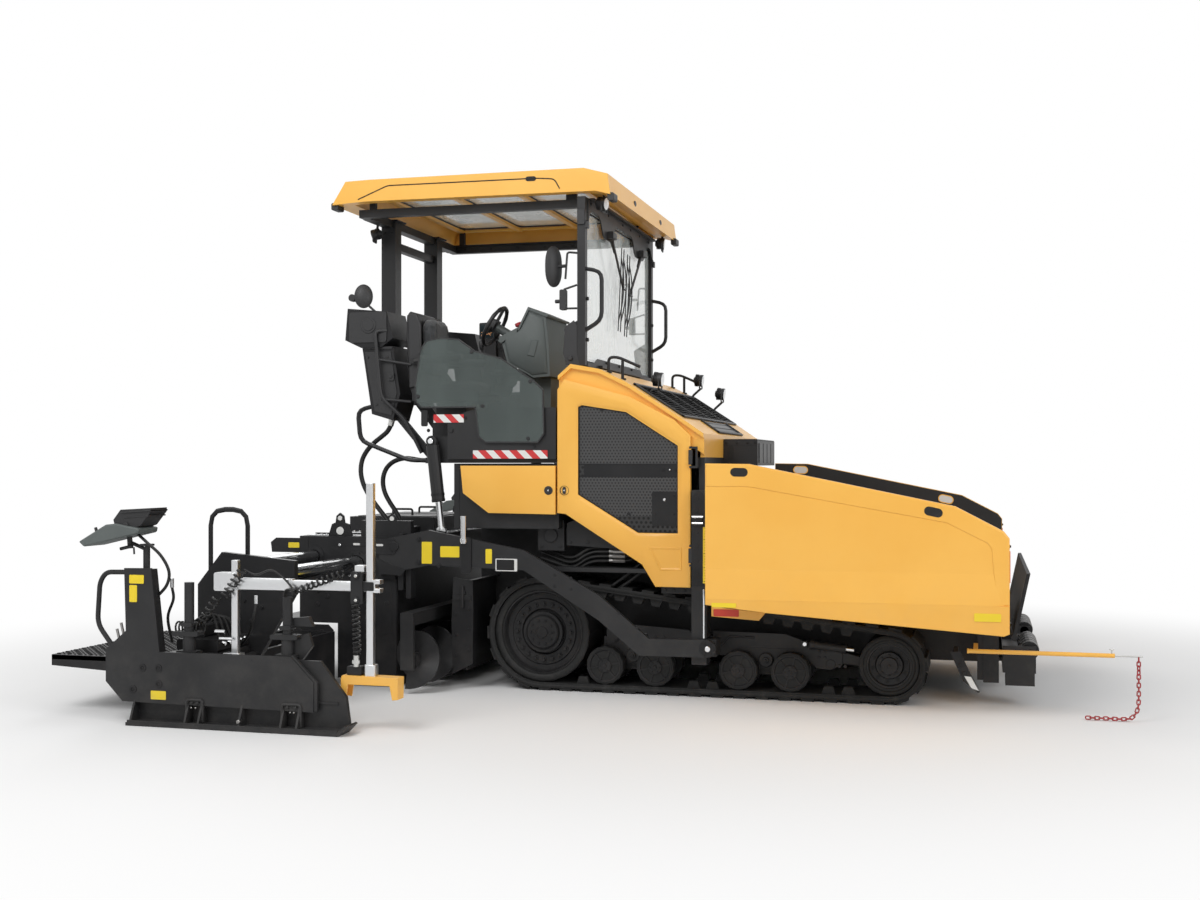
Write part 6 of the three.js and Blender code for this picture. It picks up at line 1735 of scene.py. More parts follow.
def make_shields():
    """Rubber edge and screws of the smoked side screens, and striped bars on the deck's walls."""
    outline = tuple(tuple(p) for p in SHIELD_EDGE)
    for side, s in SIDES:
        edge = Shape()
        rings = [
            (inset(outline, -0.003), 1.2600),
            (inset(outline, -0.003), 1.2745),
            (inset(outline, 0.007), 1.2745),
            (inset(outline, 0.007), 1.2600),
        ]
        ringed(edge, rings, s)
        edge.bolts(
            [Vector((x, 0, z)) for x, z in ((-1.488, 2.470), (-1.075, 2.470), (-0.625, 2.248), (-1.492, 2.150),
                                            (-0.990, 2.075), (-0.640, 1.835))],
            0.010, (s * 1.272, s * 1.281),
        )
        edge.make(f"side_shield_{side}_edge", PLASTIC, "root", "black_plastic", 0.001)
        for name, x, z, long in (("short", -1.26, 1.987, 0.236), ("long", -0.785, 1.722, 0.570)):
            bar = Shape().rounded(
                (x - long / 2, x + long / 2), sorted((s * 1.2515, s * 1.2550)), (z - 0.030, z + 0.030), 0.003
            )
            bar.make(f"stripe_{name}_{side}", STRIPES, "root", "yellow_paint")
        wall = Shape()
        wall.bolts([Vector((x, 0, z)) for x, z in ((-1.13, 1.99), (-1.43, 2.00), (-1.42, 1.90), (-0.60, 1.78), (-0.55, 1.60))],
                   0.009, (s * 1.249, s * 1.258))
        wall.rounded((-1.475, -1.425), sorted((s * 1.249, s * 1.259)), (1.930, 2.050), 0.012)
        wall.make(f"deck_wall_{side}_bolts", BLACK, "root", "black_paint", 0.001)


def make_rear_guard():
    """Boxes, grab rails and latches of the guard behind the seats, and its mirror on the right."""
    for side, s in SIDES:
        def across(a, b):
            return sorted((s * a, s * b))

        rail = Shape()
        rail.tube(
            bent_line([(-1.80, s * 1.135, 2.655), (-1.885, s * 1.165, 2.655), (-1.835, s * 1.165, 2.154),
                       (-1.660, s * 1.120, 1.983), (-1.545, s * 1.075, 1.735)], 0.05), 0.014, 12)
        rail.tube([(-1.865, s * 1.160, 2.44), (-1.62, s * 1.10, 2.40)], 0.011, 10)
        rail.tube([(-1.835, s * 1.160, 2.14), (-1.62, s * 1.10, 2.12)], 0.011, 10)
        rail.rounded((-2.105, -1.800), across(1.1405, 1.148), (2.570, 2.800), 0.02)
        rail.disc(Vector((-1.946, 0, 2.700)), 0.062, across(1.147, 1.154), sides=36)
        rail.disc(Vector((-1.946, 0, 2.700)), 0.045, across(1.153, 1.158), sides=36)
        rail.box((-1.995, -1.765), across(1.119, 1.128), (2.520, 2.536))
        rail.prism(
            [(-1.985, 2.500), (-1.775, 2.500), (-1.725, 2.190), (-1.770, 2.020), (-1.905, 2.050)],
            across(1.119, 1.126),
        )
        rail.rounded((-1.795, -1.745), across(1.125, 1.138), (2.280, 2.340), 0.008)
        rail.disc(Vector((-1.770, 0, 2.310)), 0.014, across(1.137, 1.146), sides=20)
        rail.bolts([Vector((x, 0, z)) for x, z in ((-1.96, 2.46), (-1.80, 2.46), (-1.89, 2.10), (-1.78, 2.08))],
                   0.008, (s * 1.125, s * 1.133))
        for x in (-1.70, -1.67):
            rail.tube(bent_line([(x, s * 0.95, 2.70), (x + 0.04, s * 0.95, 2.60), (x + 0.02, s * 0.95, 2.40),
                                 (x + 0.05, s * 0.95, 2.10)], 0.08), 0.012, 10)
        rail.make(f"rear_guard_{side}_fittings", PLASTIC, "root", "black_plastic", 0.003)
        if side == "left":
            continue
        mirror = Shape()
        mirror.tube(
            bent_line([(-1.905, s * 1.10, 2.80), (-1.985, s * 1.10, 2.870), (-2.088, s * 1.12, 2.915)], 0.03),
            0.009,
            10,
        )
        mirror.disc(Vector((-2.088, 0, 2.912)), 0.028, across(1.09, 1.14), sides=20)
        centre = Vector((-1.998, s * 1.12, 2.925))
        first = mirror.count()
        profile = [(0.0, -0.02), (0.35, -0.018), (0.75, -0.008), (1.0, 0.006), (1.0, 0.014), (0.9, 0.014)]
        rings = []
        for r, depth in profile[1:]:
            rings.append([(depth, 0.070 * r * a, 0.092 * r * b) for a, b in circle(1, 32)])
        mirror._skin(rings)
        spin = Matrix.Translation(centre) @ Matrix.Rotation(
            math.radians(90 - 24 * s), 4, "Z"
        ) @ Matrix.Rotation(0.12, 4, "Y")
        mirror.turn(spin, first)
        mirror.tube([(-2.085, s * 1.12, 2.912), centre + Vector((-0.018, 0, 0))], 0.010, 10)
        mirror.make(f"rear_mirror_{side}", PLASTIC, "root", "black_plastic", 0)
        glass = Shape()
        glass._skin([[(0.0145, 0.060 * a, 0.082 * b) for a, b in circle(1, 32)],
                     [(0.0158, 0.059 * a, 0.081 * b) for a, b in circle(1, 32)]])
        glass.turn(spin)
        glass.make(f"rear_mirror_{side}_face", MIRROR, "root", "black_plastic")


# ---- Windscreen ------------------------------------------------------------------------------

HEAD_PLATE = (
    (-1.045, 3.596),
    (-1.045, 3.420),
    (-0.985, 3.500),
    (-0.930, 3.515),
    (-0.760, 3.515),
    (-0.700, 3.490),
    (-0.620, 3.385),
    (-0.560, 3.370),
    (-0.360, 3.370),
    (-0.310, 3.400),
    (-0.270, 3.490),
    (-0.220, 3.515),
    (0.270, 3.515),
    (0.330, 3.490),
    (0.380, 3.400),
    (0.430, 3.370),
    (0.680, 3.370),
    (0.740, 3.400),
    (0.800, 3.490),
    (0.850, 3.515),
    (0.950, 3.515),
    (0.990, 3.490),
    (1.045, 3.420),
    (1.045, 3.596),
)


def make_wiper(name, pivot, elbow, lean):
    """A pantograph wiper: a motor boss, two arm rods and a pair of blades."""
    x = -0.232
    arm = Shape()
    arm.disc(Vector((0, pivot[0], pivot[1])), 0.032, (-0.252, -0.215), "x", 24)
    arm.rounded(
        (-0.250, -0.200), (pivot[0] - 0.055, pivot[0] + 0.055), (pivot[1] - 0.022, pivot[1] + 0.030), 0.010
    )
    for offset in (0.0, 0.028):
        arm.tube([(x, pivot[0] + offset, pivot[1]), (x + 0.008, elbow[0] + offset, elbow[1])], 0.0062, 8)
    arm.tube([(x, pivot[0], pivot[1]), (x, pivot[0] * 0.7 + elbow[0] * 0.3, pivot[1] * 0.7 + elbow[1] * 0.3)],
             [0.020, 0.009], 10)
    for offset in (-0.030, 0.045):
        top = Vector((x - 0.010, elbow[0] + offset + lean, elbow[1] + 0.335))
        low = Vector((x - 0.010, elbow[0] + offset - lean, elbow[1] - 0.335))
        arm.tube([top, low], 0.0045, 8)
        arm.tube(smooth_line([top.lerp(low, 0.12), top.lerp(low, 0.3) + Vector((0.022, 0, 0)),
                              top.lerp(low, 0.5) + Vector((0.03, 0, 0)), top.lerp(low, 0.7) + Vector(
                                  (0.022, 0, 0)
                              ),
                              top.lerp(low, 0.88)], 4), 0.005, 8)
        arm.tube([(x + 0.020, elbow[0], elbow[1]), (x + 0.020, elbow[0] + offset, elbow[1])], 0.008, 8)
    arm.make(name, PLASTIC, "root", "black_plastic")


def make_windscreen():
    frame_plate = Shape()
    frame_plate.prism(HEAD_PLATE, (-0.2595, -0.2505), "x")
    frame_plate.prism(
        [(-1.045, 2.366), (-1.045, 2.395), (-0.860, 2.400), (-0.760, 2.440), (0.600, 2.440), (0.700, 2.400),
         (1.045, 2.395), (1.045, 2.366)], (-0.2640, -0.2560), "x")
    frame_plate.box((-0.262, -0.225), (-0.74, 0.58), (2.372, 2.392))
    for y in (-0.52, -0.12, 0.30):
        frame_plate.disc(Vector((0, y, 2.425)), 0.012, (-0.257, -0.246), "x", 6)
    for y in (-0.98, -0.66, -0.47, -0.02, 0.24, 0.55, 0.90):
        frame_plate.disc(Vector((0, y, 3.562)), 0.012, (-0.251, -0.243), "x", 6)
    frame_plate.box((-0.252, -0.215), (-1.02, 1.02), (3.585, 3.600))
    frame_plate.make("windscreen_head_plate", PLASTIC, "root", "black_plastic", 0.002)
    seal = Shape()
    loop = ((-1.043, 2.402), (1.043, 2.402), (1.043, 3.512), (-1.043, 3.512))
    rings = [[(x, y, z) for y, z in inset(loop, depth)] for x, depth in
             ((-0.296, -0.001), (-0.284, -0.001), (-0.284, 0.010), (-0.296, 0.010))]
    seal._skin(rings, closed=False)
    seal.make("windscreen_seal", TYRE_AND_SHADE, "root", "black_plastic")
    make_wiper("wiper_right", (-0.46, 3.405), (-0.115, 3.035), 0.060)
    make_wiper("wiper_left", (0.55, 3.405), (0.085, 3.010), 0.055)
    for side, s in SIDES:
        def across(a, b):
            return sorted((s * a, s * b))

        posts = Shape()
        posts.prism([(-0.400, 2.375), (-0.300, 2.372), (-0.322, 2.450), (-0.322, 2.660), (-0.345, 2.700), (-0.412, 2.655),
                     (-0.428, 2.460)], across(1.098, 1.1065))
        posts.disc(Vector((-0.372, 0, 2.425)), 0.020, across(1.106, 1.122), sides=6)
        posts.rounded((-0.318, -0.262), across(1.1045, 1.116), (3.395, 3.505), 0.010)
        posts.box((-0.262, -0.240), across(1.060, 1.104), (3.370, 3.420))
        for z in (2.56, 2.86, 3.42):
            posts.disc(Vector((0, s * 1.055, z)), 0.016, (-0.262, -0.246), "x", 6)
        posts.rounded((-0.462, -0.412), across(1.040, 1.085), (2.780, 2.930), 0.012)
        posts.tube([(-0.43, s * 1.075, 2.93), (-0.33, s * 1.075, 2.96)], 0.008, 8)
        posts.tube([(-0.43, s * 1.075, 2.79), (-0.33, s * 1.075, 2.79)], 0.008, 8)
        posts.disc(Vector((0, s * 1.062, 2.845)), 0.014, (-0.500, -0.462), "x", 16)
        posts.tube(
            bent_line([(-0.31, s * 1.09, 3.190), (-0.390, s * 1.12, 3.195), (-0.405, s * 1.12, 3.000)], 0.02),
            0.008,
            10,
        )
        posts.tube([(-0.400, s * 1.12, 3.095), (-0.470, s * 1.10, 3.095)], 0.013, 10)
        posts.make(f"windscreen_post_{side}_fittings", PLASTIC, "root", "black_plastic", 0.002)
        head = Shape()
        rings = []
        for r, depth in ((0.35, -0.026), (0.78, -0.014), (1.0, 0.004), (1.0, 0.014), (0.9, 0.015)):
            rings.append(
                [
                    (depth, 0.075 * r * a, 0.150 * r * (abs(b) ** 0.75) * (1 if b > 0 else -1))
                    for a, b in circle(1, 36)
                ],
            )
        head._skin(rings)
        spin = Matrix.Translation((-0.492, s * 1.11, 3.095)) @ Matrix.Rotation(
            math.radians(180 + 35 * s), 4, "Z"
        )
        head.turn(spin)
        head.make(f"front_mirror_{side}", PLASTIC, "root", "black_plastic")
        glass = Shape()
        panes = []
        for x, r in ((0.0150, 0.86), (0.0165, 0.84)):
            panes.append(
                [
                    (x, 0.075 * r * a, 0.150 * r * (abs(b) ** 0.75) * (1 if b > 0 else -1))
                    for a, b in circle(1, 36)
                ],
            )
        glass._skin(panes)
        glass.turn(spin)
        glass.make(f"front_mirror_{side}_face", MIRROR, "root", "black_plastic")


# ---- Canopy ----------------------------------------------------------------------------------

SKYLIGHT_X = (-1.960, -0.420)
SKYLIGHT_Y = (0.030, 0.900)


def make_canopy():
    seams = Shape()
    for s in (-1, 1):
        line = [(-2.030, 3.652), (-1.790, 3.745), (-0.620, 3.740), (-0.480, 3.728), (-0.440, 3.655)]
        outline = bent_line([(x, 0, z) for x, z in line], 0.03)
        seams.tube([(p.x, s * 1.1505, p.z) for p in outline], 0.0042, 8)
        seams.prism(oval(-0.660, 3.738, 0.080, 0.034), sorted((s * 1.1490, s * 1.1530)))
    seams.make("roof_seams", TYRE_AND_SHADE, "root", "black_plastic")
    lamps = Shape()
    for s in (-1, 1):
        lamps.rounded((-2.262, -2.205), sorted((s * 1.02, s * 1.13)), (3.585, 3.640), 0.012)
        lamps.rounded((-0.085, -0.035), sorted((s * 1.03, s * 1.14)), (3.555, 3.612), 0.012)
        lamps.tube([(-2.235, s * 1.07, 3.62), (-2.20, s * 1.07, 3.655)], 0.015, 12)
        lamps.tube([(-0.07, s * 1.08, 3.60), (-0.10, s * 1.08, 3.640)], 0.015, 12)
    for y in (-0.35, 0.55):
        lamps.prism([(y + 0.035 * a, 3.668 + 0.022 * b) for a, b in circle(1, 20)], (-0.075, -0.0655), "x")
    lamps.make("roof_corner_lamps", PLASTIC, "root", "black_plastic", 0.003)
    for s in (-1, 1):
        name = "left" if s > 0 else "right"
        work_lamp(f"roof_front_lamp_{name}", (-0.150, s * 0.985, 3.560), (1, s * 0.12, -0.10), [(-0.150, s * 0.985, 3.64)],
                  radius=0.050)
        work_lamp(f"roof_rear_lamp_{name}", (-2.130, s * 0.62, 3.470), (-1, s * 0.15, -0.30), [(-2.10, s * 0.62, 3.56)],
                  radius=0.045)
    rims = Shape()
    pitch = (SKYLIGHT_X[1] - SKYLIGHT_X[0] + 0.060) / 3
    for index in range(3):
        x0 = SKYLIGHT_X[0] + index * pitch
        x1 = x0 + pitch - 0.060
        for s in (-1, 1):
            y0, y1 = sorted((s * SKYLIGHT_Y[0], s * SKYLIGHT_Y[1]))
            edge = ((x0 + 0.06, y0), (x1 - 0.06, y0), (x1, y0 + 0.06), (x1, y1 - 0.06), (x1 - 0.06, y1), (x0 + 0.06, y1),
                    (x0, y1 - 0.06), (x0, y0 + 0.06))
            rings = [[(x, y, z) for x, y in inset(edge, depth)] for z, depth in
                     ((3.7505, -0.012), (3.7440, -0.012), (3.7400, 0.004), (3.7505, 0.010))]
            rims._skin(rings, closed=False)
            corner = 0.085
            for cx, cy, ax, ay in ((x0, y0, 1, 1), (x1, y0, -1, 1), (x1, y1, -1, -1), (x0, y1, 1, -1)):
                rims.prism([(cx, cy), (cx + ax * corner, cy), (cx, cy + ay * corner)], (3.744, 3.7505), "z")
    rims.make("skylight_rims", PLASTIC, "root", "black_plastic", 0.002)
    ribs = Shape()
    for index in range(4):
        x = SKYLIGHT_X[0] - 0.045 + index * pitch
        ribs.prism(
            [(x - 0.020, 3.744), (x + 0.050, 3.744), (x + 0.038, 3.722), (x - 0.008, 3.722)], (-1.03, 1.03)
        )
    for y in (-0.965, 0.0, 0.965):
        ribs.prism([(y - 0.030, 3.743), (y + 0.030, 3.743), (y + 0.018, 3.726), (y - 0.018, 3.726)],
                   (SKYLIGHT_X[0] - 0.06, SKYLIGHT_X[1] + 0.06), "x")
    ribs.make("roof_under_ribs", YELLOW, "root", "yellow_paint", 0.003)
    rail_bolts = Shape()
    for s in (-1, 1):
        rail_bolts.bolts([Vector((x, 0, 3.570)) for x in (-1.95, -1.70, -1.45, -1.20, -0.95, -0.70, -0.45)],
                         0.009, (s * 0.939, s * 0.930))
        rail_bolts.box((-2.05, -0.40), sorted((s * 0.925, s * 0.941)), (3.600, 3.612))
        for z in (2.52, 2.62, 3.50, 3.56):
            rail_bolts.disc(Vector((-2.03, 0, z)), 0.012, sorted((s * 0.509, s * 0.518)), sides=6)
            rail_bolts.disc(Vector((-2.09, 0, z)), 0.012, sorted((s * 0.509, s * 0.518)), sides=6)
        rail_bolts.prism(
            [(-2.118, 2.445), (-2.002, 2.445), (-2.002, 2.700), (-2.118, 2.700)], sorted((s * 0.509, s * 0.513))
        )
        rail_bolts.box((-2.15, -1.97), sorted((s * 0.36, s * 0.54)), (3.588, 3.600))
    rail_bolts.make("canopy_frame_bolts", BLACK, "root", "black_paint", 0.001)


for side, s in SIDES:
    make_seat(side, s)
make_steering_wheel()
make_console()
make_shields()
make_rear_guard()
make_windscreen()
make_canopy()
# ---- Screed, end gates, walkways and controls ------------------------------------------------


def curly(start, end, turns, radius):
    """A curly cord's line: a helix along a straight stretch; its turns are worked out."""
    start, end = Vector(start), Vector(end)
    way = (end - start).normalized()
    side = way.orthogonal().normalized()
    up = way.cross(side)
    steps = turns * 12
    line = []
    for i in range(steps + 1):
        angle = 2 * math.pi * i / 12
        centre = start.lerp(end, i / steps)
        line.append(centre + side * (radius * math.cos(angle)) + up * (radius * math.sin(angle)))
    return line


def make_tubes(side, s):
    """Chromed sleeves on the telescopic tubes, with their flanged collars on the main screed."""
    sleeves = Shape()
    span = sorted((s * 1.290, s * 2.418))
    sleeves.prism([(-1.990 + a, 0.900 + b) for a, b in circle(0.06825, 14, math.pi / 2)], span)
    sleeves.prism([(-2.330 + a, 0.960 + b) for a, b in circle(0.04425, 12)], span)
    sleeves.make(f"tube_chrome_{side}", CHROME, "extension_" + side, "rod_chrome", smooth=60)
    collars = Shape()
    for x, z, r in ((-1.990, 0.900, 0.0700), (-2.330, 0.960, 0.0460)):
        ring = [
            (r + 0.003, s * 1.2750), (r + 0.034, s * 1.2750), (r + 0.034, s * 1.2795), (r + 0.003, s * 1.2795)
        ]
        collars.turned(ring, Vector((x, 0, z)), sides=40)
    places = [Vector((-1.990 + a, 0, 0.900 + b)) for a, b in circle(0.091, 10)]
    collars.bolts(places, 0.0060, (s * 1.2795, s * 1.2850))
    collars.make(f"tube_collars_{side}", BLACK, "screed", "black_paint")


def make_screed_frame():
    """Slotted side plates, lifting eyes, strip grating, covers, labels and heater boxes; white patches in the eye holes
    and slots are painted daylight.
    """
    plates = Shape()
    for s in (-1, 1):
        def across(a, b):
            return sorted((s * a, s * b))

        eye = [(-2.235, 1.110), (-2.205, 1.200), (-2.175, 1.212), (-2.168, 1.262), (-2.140, 1.285), (-2.110, 1.262),
               (-2.102, 1.212), (-2.065, 1.200), (-2.040, 1.110)]
        plates.prism(eye, across(1.215, 1.235))
        first = plates.count()
        plates.prism(eye, across(1.215, 1.235))
        plates.turn(Matrix.Translation((0.42, 0, 0)), first)
        plates.tube(bent_line([(-2.03, s * 1.00, 1.11), (-2.03, s * 1.00, 1.245), (-1.93, s * 1.00, 1.245),
                               (-1.93, s * 1.00, 1.11)], 0.04), 0.014, 12)
        for x0 in (-2.02, -1.85):
            plates.rounded((x0, x0 + 0.12), across(1.2745, 1.2800), (1.040, 1.075), 0.016)
        for x, z in (
            (-2.120, 1.046),
            (-1.674, 1.049),
            (-2.30, 0.70),
            (-2.22, 0.66),
            (-2.30, 0.60),
            (-1.80, 0.70),
            (-1.74, 0.62),
        ):
            plates.disc(Vector((x, 0, z)), 0.018, across(1.2745, 1.2815), sides=24)
        plates.prism(
            [(-2.06, 0.78), (-1.70, 0.79), (-1.70, 0.40), (-1.90, 0.36), (-2.06, 0.44)], across(1.2745, 1.2775)
        )
        plates.rounded((-1.58, -1.54), across(1.20, 1.296), (0.66, 1.13), 0.008)
        plates.rounded((-1.64, -1.60), across(1.20, 1.300), (0.72, 1.14), 0.008)
        plates.box((-2.42, -1.56), across(1.05, 1.075), (1.110, 1.126))
        plates.rounded((-1.95, -1.75), across(0.60, 0.98), (1.108, 1.165), 0.012)
        plates.prism([(-2.690, 1.060), (-2.645, 1.094), (-2.380, 1.094), (-2.380, 0.985), (-2.680, 0.985)],
                     across(1.2700, 1.2785))
        plates.prism([(-2.440, 0.600), (-2.380, 0.575), (-2.080, 0.575), (-2.080, 0.830), (-2.440, 0.830)],
                     across(1.2620, 1.2700))
        plates.box((-2.140, -2.080), across(1.2620, 1.2700), (0.050, 0.600))
        plates.rounded((-1.870, -1.640), across(1.3370, 1.3450), (0.985, 1.100), 0.030)
        plates.disc(Vector((-1.655, 0, 1.045)), 0.036, across(1.3370, 1.3500), sides=32)
        plates.prism([(-1.800, 0.960), (-1.640, 0.900), (-1.560, 0.880), (-1.600, 0.830), (-1.760, 0.840)],
                     across(1.3370, 1.3430))
    plates.box((-1.668, -1.660), (-1.270, 1.270), (0.140, 1.085))
    plates.make("screed_side_plates", BLACK, "screed", "black_paint", 0.003)
    # White discs and patches in the eye holes and slots: painted daylight seen through them.
    eyes = Shape()
    for s in (-1, 1):
        for x in (-2.138, -1.718):
            eyes.disc(Vector((x, 0, 1.150)), 0.030, sorted((s * 1.2340, s * 1.2365)), sides=28, chamfer=0.001)
            eyes.disc(Vector((x, 0, 1.245)), 0.018, sorted((s * 1.2340, s * 1.2365)), sides=24, chamfer=0.001)
        eyes.rounded((-2.010, -1.955), sorted((s * 1.2780, s * 1.2812)), (1.046, 1.062), 0.007)
        eyes.rounded((-1.795, -1.740), sorted((s * 1.3445, s * 1.3460)), (1.046, 1.062), 0.007)
    eyes.make("lifting_eye_holes", WHITE, "screed", "black_paint")
    pins = Shape()
    for s in (-1, 1):
        for x, z in ((-2.120, 1.046), (-1.674, 1.049), (-2.04, 0.82)):
            pins.disc(Vector((x, 0, z)), 0.011, sorted((s * 1.281, s * 1.287)), sides=20)
    pins.make("screed_pin_ends", CHROME, "screed", "rod_chrome")
    grating = Shape()
    grating.box((-2.43, -1.55), (-1.19, 1.19), (1.1105, 1.1145))
    grating.make("screed_top_tread", PROFILE, "screed", "aluminium_profile")
    stud = Shape().disc(Vector((0, 0, 0)), 0.011, (0.0, 0.005), "z", 8, 0.002)
    places = []
    for row in range(-23, 24):
        for column in range(4):
            places.append((Vector((-2.40 + 0.045 * column + 0.022 * (row % 2), row * 0.05, 1.1143)), (0, 0, 0)))
            places.append(
                (Vector((-1.63 + 0.045 * (column % 2) + 0.022 * (row % 2), row * 0.05, 1.1143)), (0, 0, 0))
            )
    repeat("screed_tread_studs", stud, places, PROFILE, "screed")
    covers = Shape()
    for s in (-1, 1):
        for y in (0.07, 0.31):
            covers.rounded((-2.34, -1.70), sorted((s * y, s * (y + 0.18))), (1.2290, 1.2370), 0.02, along="z")
        covers.tube(bent_line([(-2.12, s * 0.28, 1.23), (-2.12, s * 0.28, 1.285), (-1.95, s * 0.28, 1.285),
                               (-1.95, s * 0.28, 1.23)], 0.02), 0.009, 10)
    covers.make("screed_cover_lids", CHARCOAL, "screed", "charcoal_paint", 0.003)
    for s, side in ((-1, "right"), (1, "left")):
        for index, (x, z, w, h) in enumerate(((-1.397, 1.003, 0.080, 0.160), (-1.218, 1.013, 0.148, 0.080),
                                              (-0.918, 0.985, 0.048, 0.105))):
            label(f"tow_arm_label_{side}_{index}", LABEL, "screed", x, z, 1.3385, s, (w, h))
        label(f"tow_arm_plate_{side}", WHITE, "screed", -0.784, 0.925, 1.3385, s, (0.165, 0.090))
        dark = Shape().rounded((-0.858, -0.724), sorted((s * 1.3395, s * 1.3403)), (0.887, 0.963), 0.004)
        dark.make(f"tow_arm_plate_face_{side}", BLACK, "screed", "black_paint")
        label(f"screed_label_{side}", LABEL, "screed", -2.497, 1.040, 1.2792, s, (0.090, 0.040))


def make_tow_arm(side, s):
    """Bolts, weld pads, the pivot's cap and the lifting link on the tow arm."""
    arm = Shape()
    for x, z in ((-0.42, 0.86), (-0.30, 0.84), (-0.42, 0.78), (-0.30, 0.76), (0.05, 0.60), (0.18, 0.50)):
        arm.disc(Vector((x, 0, z)), 0.011, sorted((s * 1.3375, s * 1.3410)), sides=18)
    arm.bolts([Vector((x, 0, z)) for x, z in ((-1.46, 1.10), (-1.46, 0.93), (-1.09, 1.09), (-1.09, 0.92), (-1.30, 0.91))],
              0.013, (s * 1.3375, s * 1.3500))
    arm.rounded((-1.125, -1.050), sorted((s * 1.3375, s * 1.352)), (0.860, 1.120), 0.012)
    arm.disc(Vector((0.690, 0, 0.370)), 0.058, sorted((s * 1.3375, s * 1.350)), sides=36)
    arm.bolts([Vector((0.690 + a, 0, 0.370 + b)) for a, b in circle(0.042, 6)], 0.007, (s * 1.350, s * 1.357))
    arm.make(f"tow_arm_{side}_fittings", BLACK, "screed", "black_paint", 0.002)
    pin = Shape()
    pin.disc(Vector((0.690, 0, 0.370)), 0.020, sorted((s * 1.3495, s * 1.362)), sides=28)
    pin.tube([(-1.106, s * 1.352, 1.075), (-1.106, s * 1.352, 1.275)], 0.024, 28)
    pin.tube([(-1.106, s * 1.352, 1.085), (-1.106, s * 1.352, 1.110)], 0.030, 28)
    pin.make(f"tow_arm_{side}_pins", CHROME, "screed", "rod_chrome", 0.001)


def make_lift(side, s):
    """The lift cylinder's bands and its top pin."""
    body = "lift_barrel_" + side
    top = Vector((-1.395, s * 1.240, 1.820))
    foot = Vector((-1.320, s * 1.240, 1.160))
    way = (foot - top).normalized()
    barrel = Shape()
    for at, outer in ((0.385, 0.0505), (0.428, 0.0505)):
        barrel.turned(
            [(0.0487, at), (outer, at), (outer, at + 0.018), (0.0487, at + 0.018)], Vector((0, 0, 0)), "z", 36
        )
    barrel.turn(Matrix.Translation(top) @ Vector((0, 0, 1)).rotation_difference(way).to_matrix().to_4x4())
    barrel.make(f"lift_barrel_{side}_detail", BLACK, body, "black_paint", 0.002)
    pin = Shape().disc(top, 0.021, sorted((s * 0.028, s * 0.040)), sides=28)
    pin.make(f"lift_pin_{side}", CHROME, body, "rod_chrome", 0.001)


GATE_FACE = 3.0680
DESK = [(-3.079, 1.155), (-2.882, 1.266), (-2.808, 1.274), (-2.640, 1.245), (-2.648, 1.212), (-3.042, 1.122)]
DISPLAY = [
    (-2.816, 1.228),
    (-2.836, 1.297),
    (-2.784, 1.362),
    (-2.566, 1.374),
    (-2.566, 1.349),
    (-2.638, 1.262),
    (-2.699, 1.240),
]


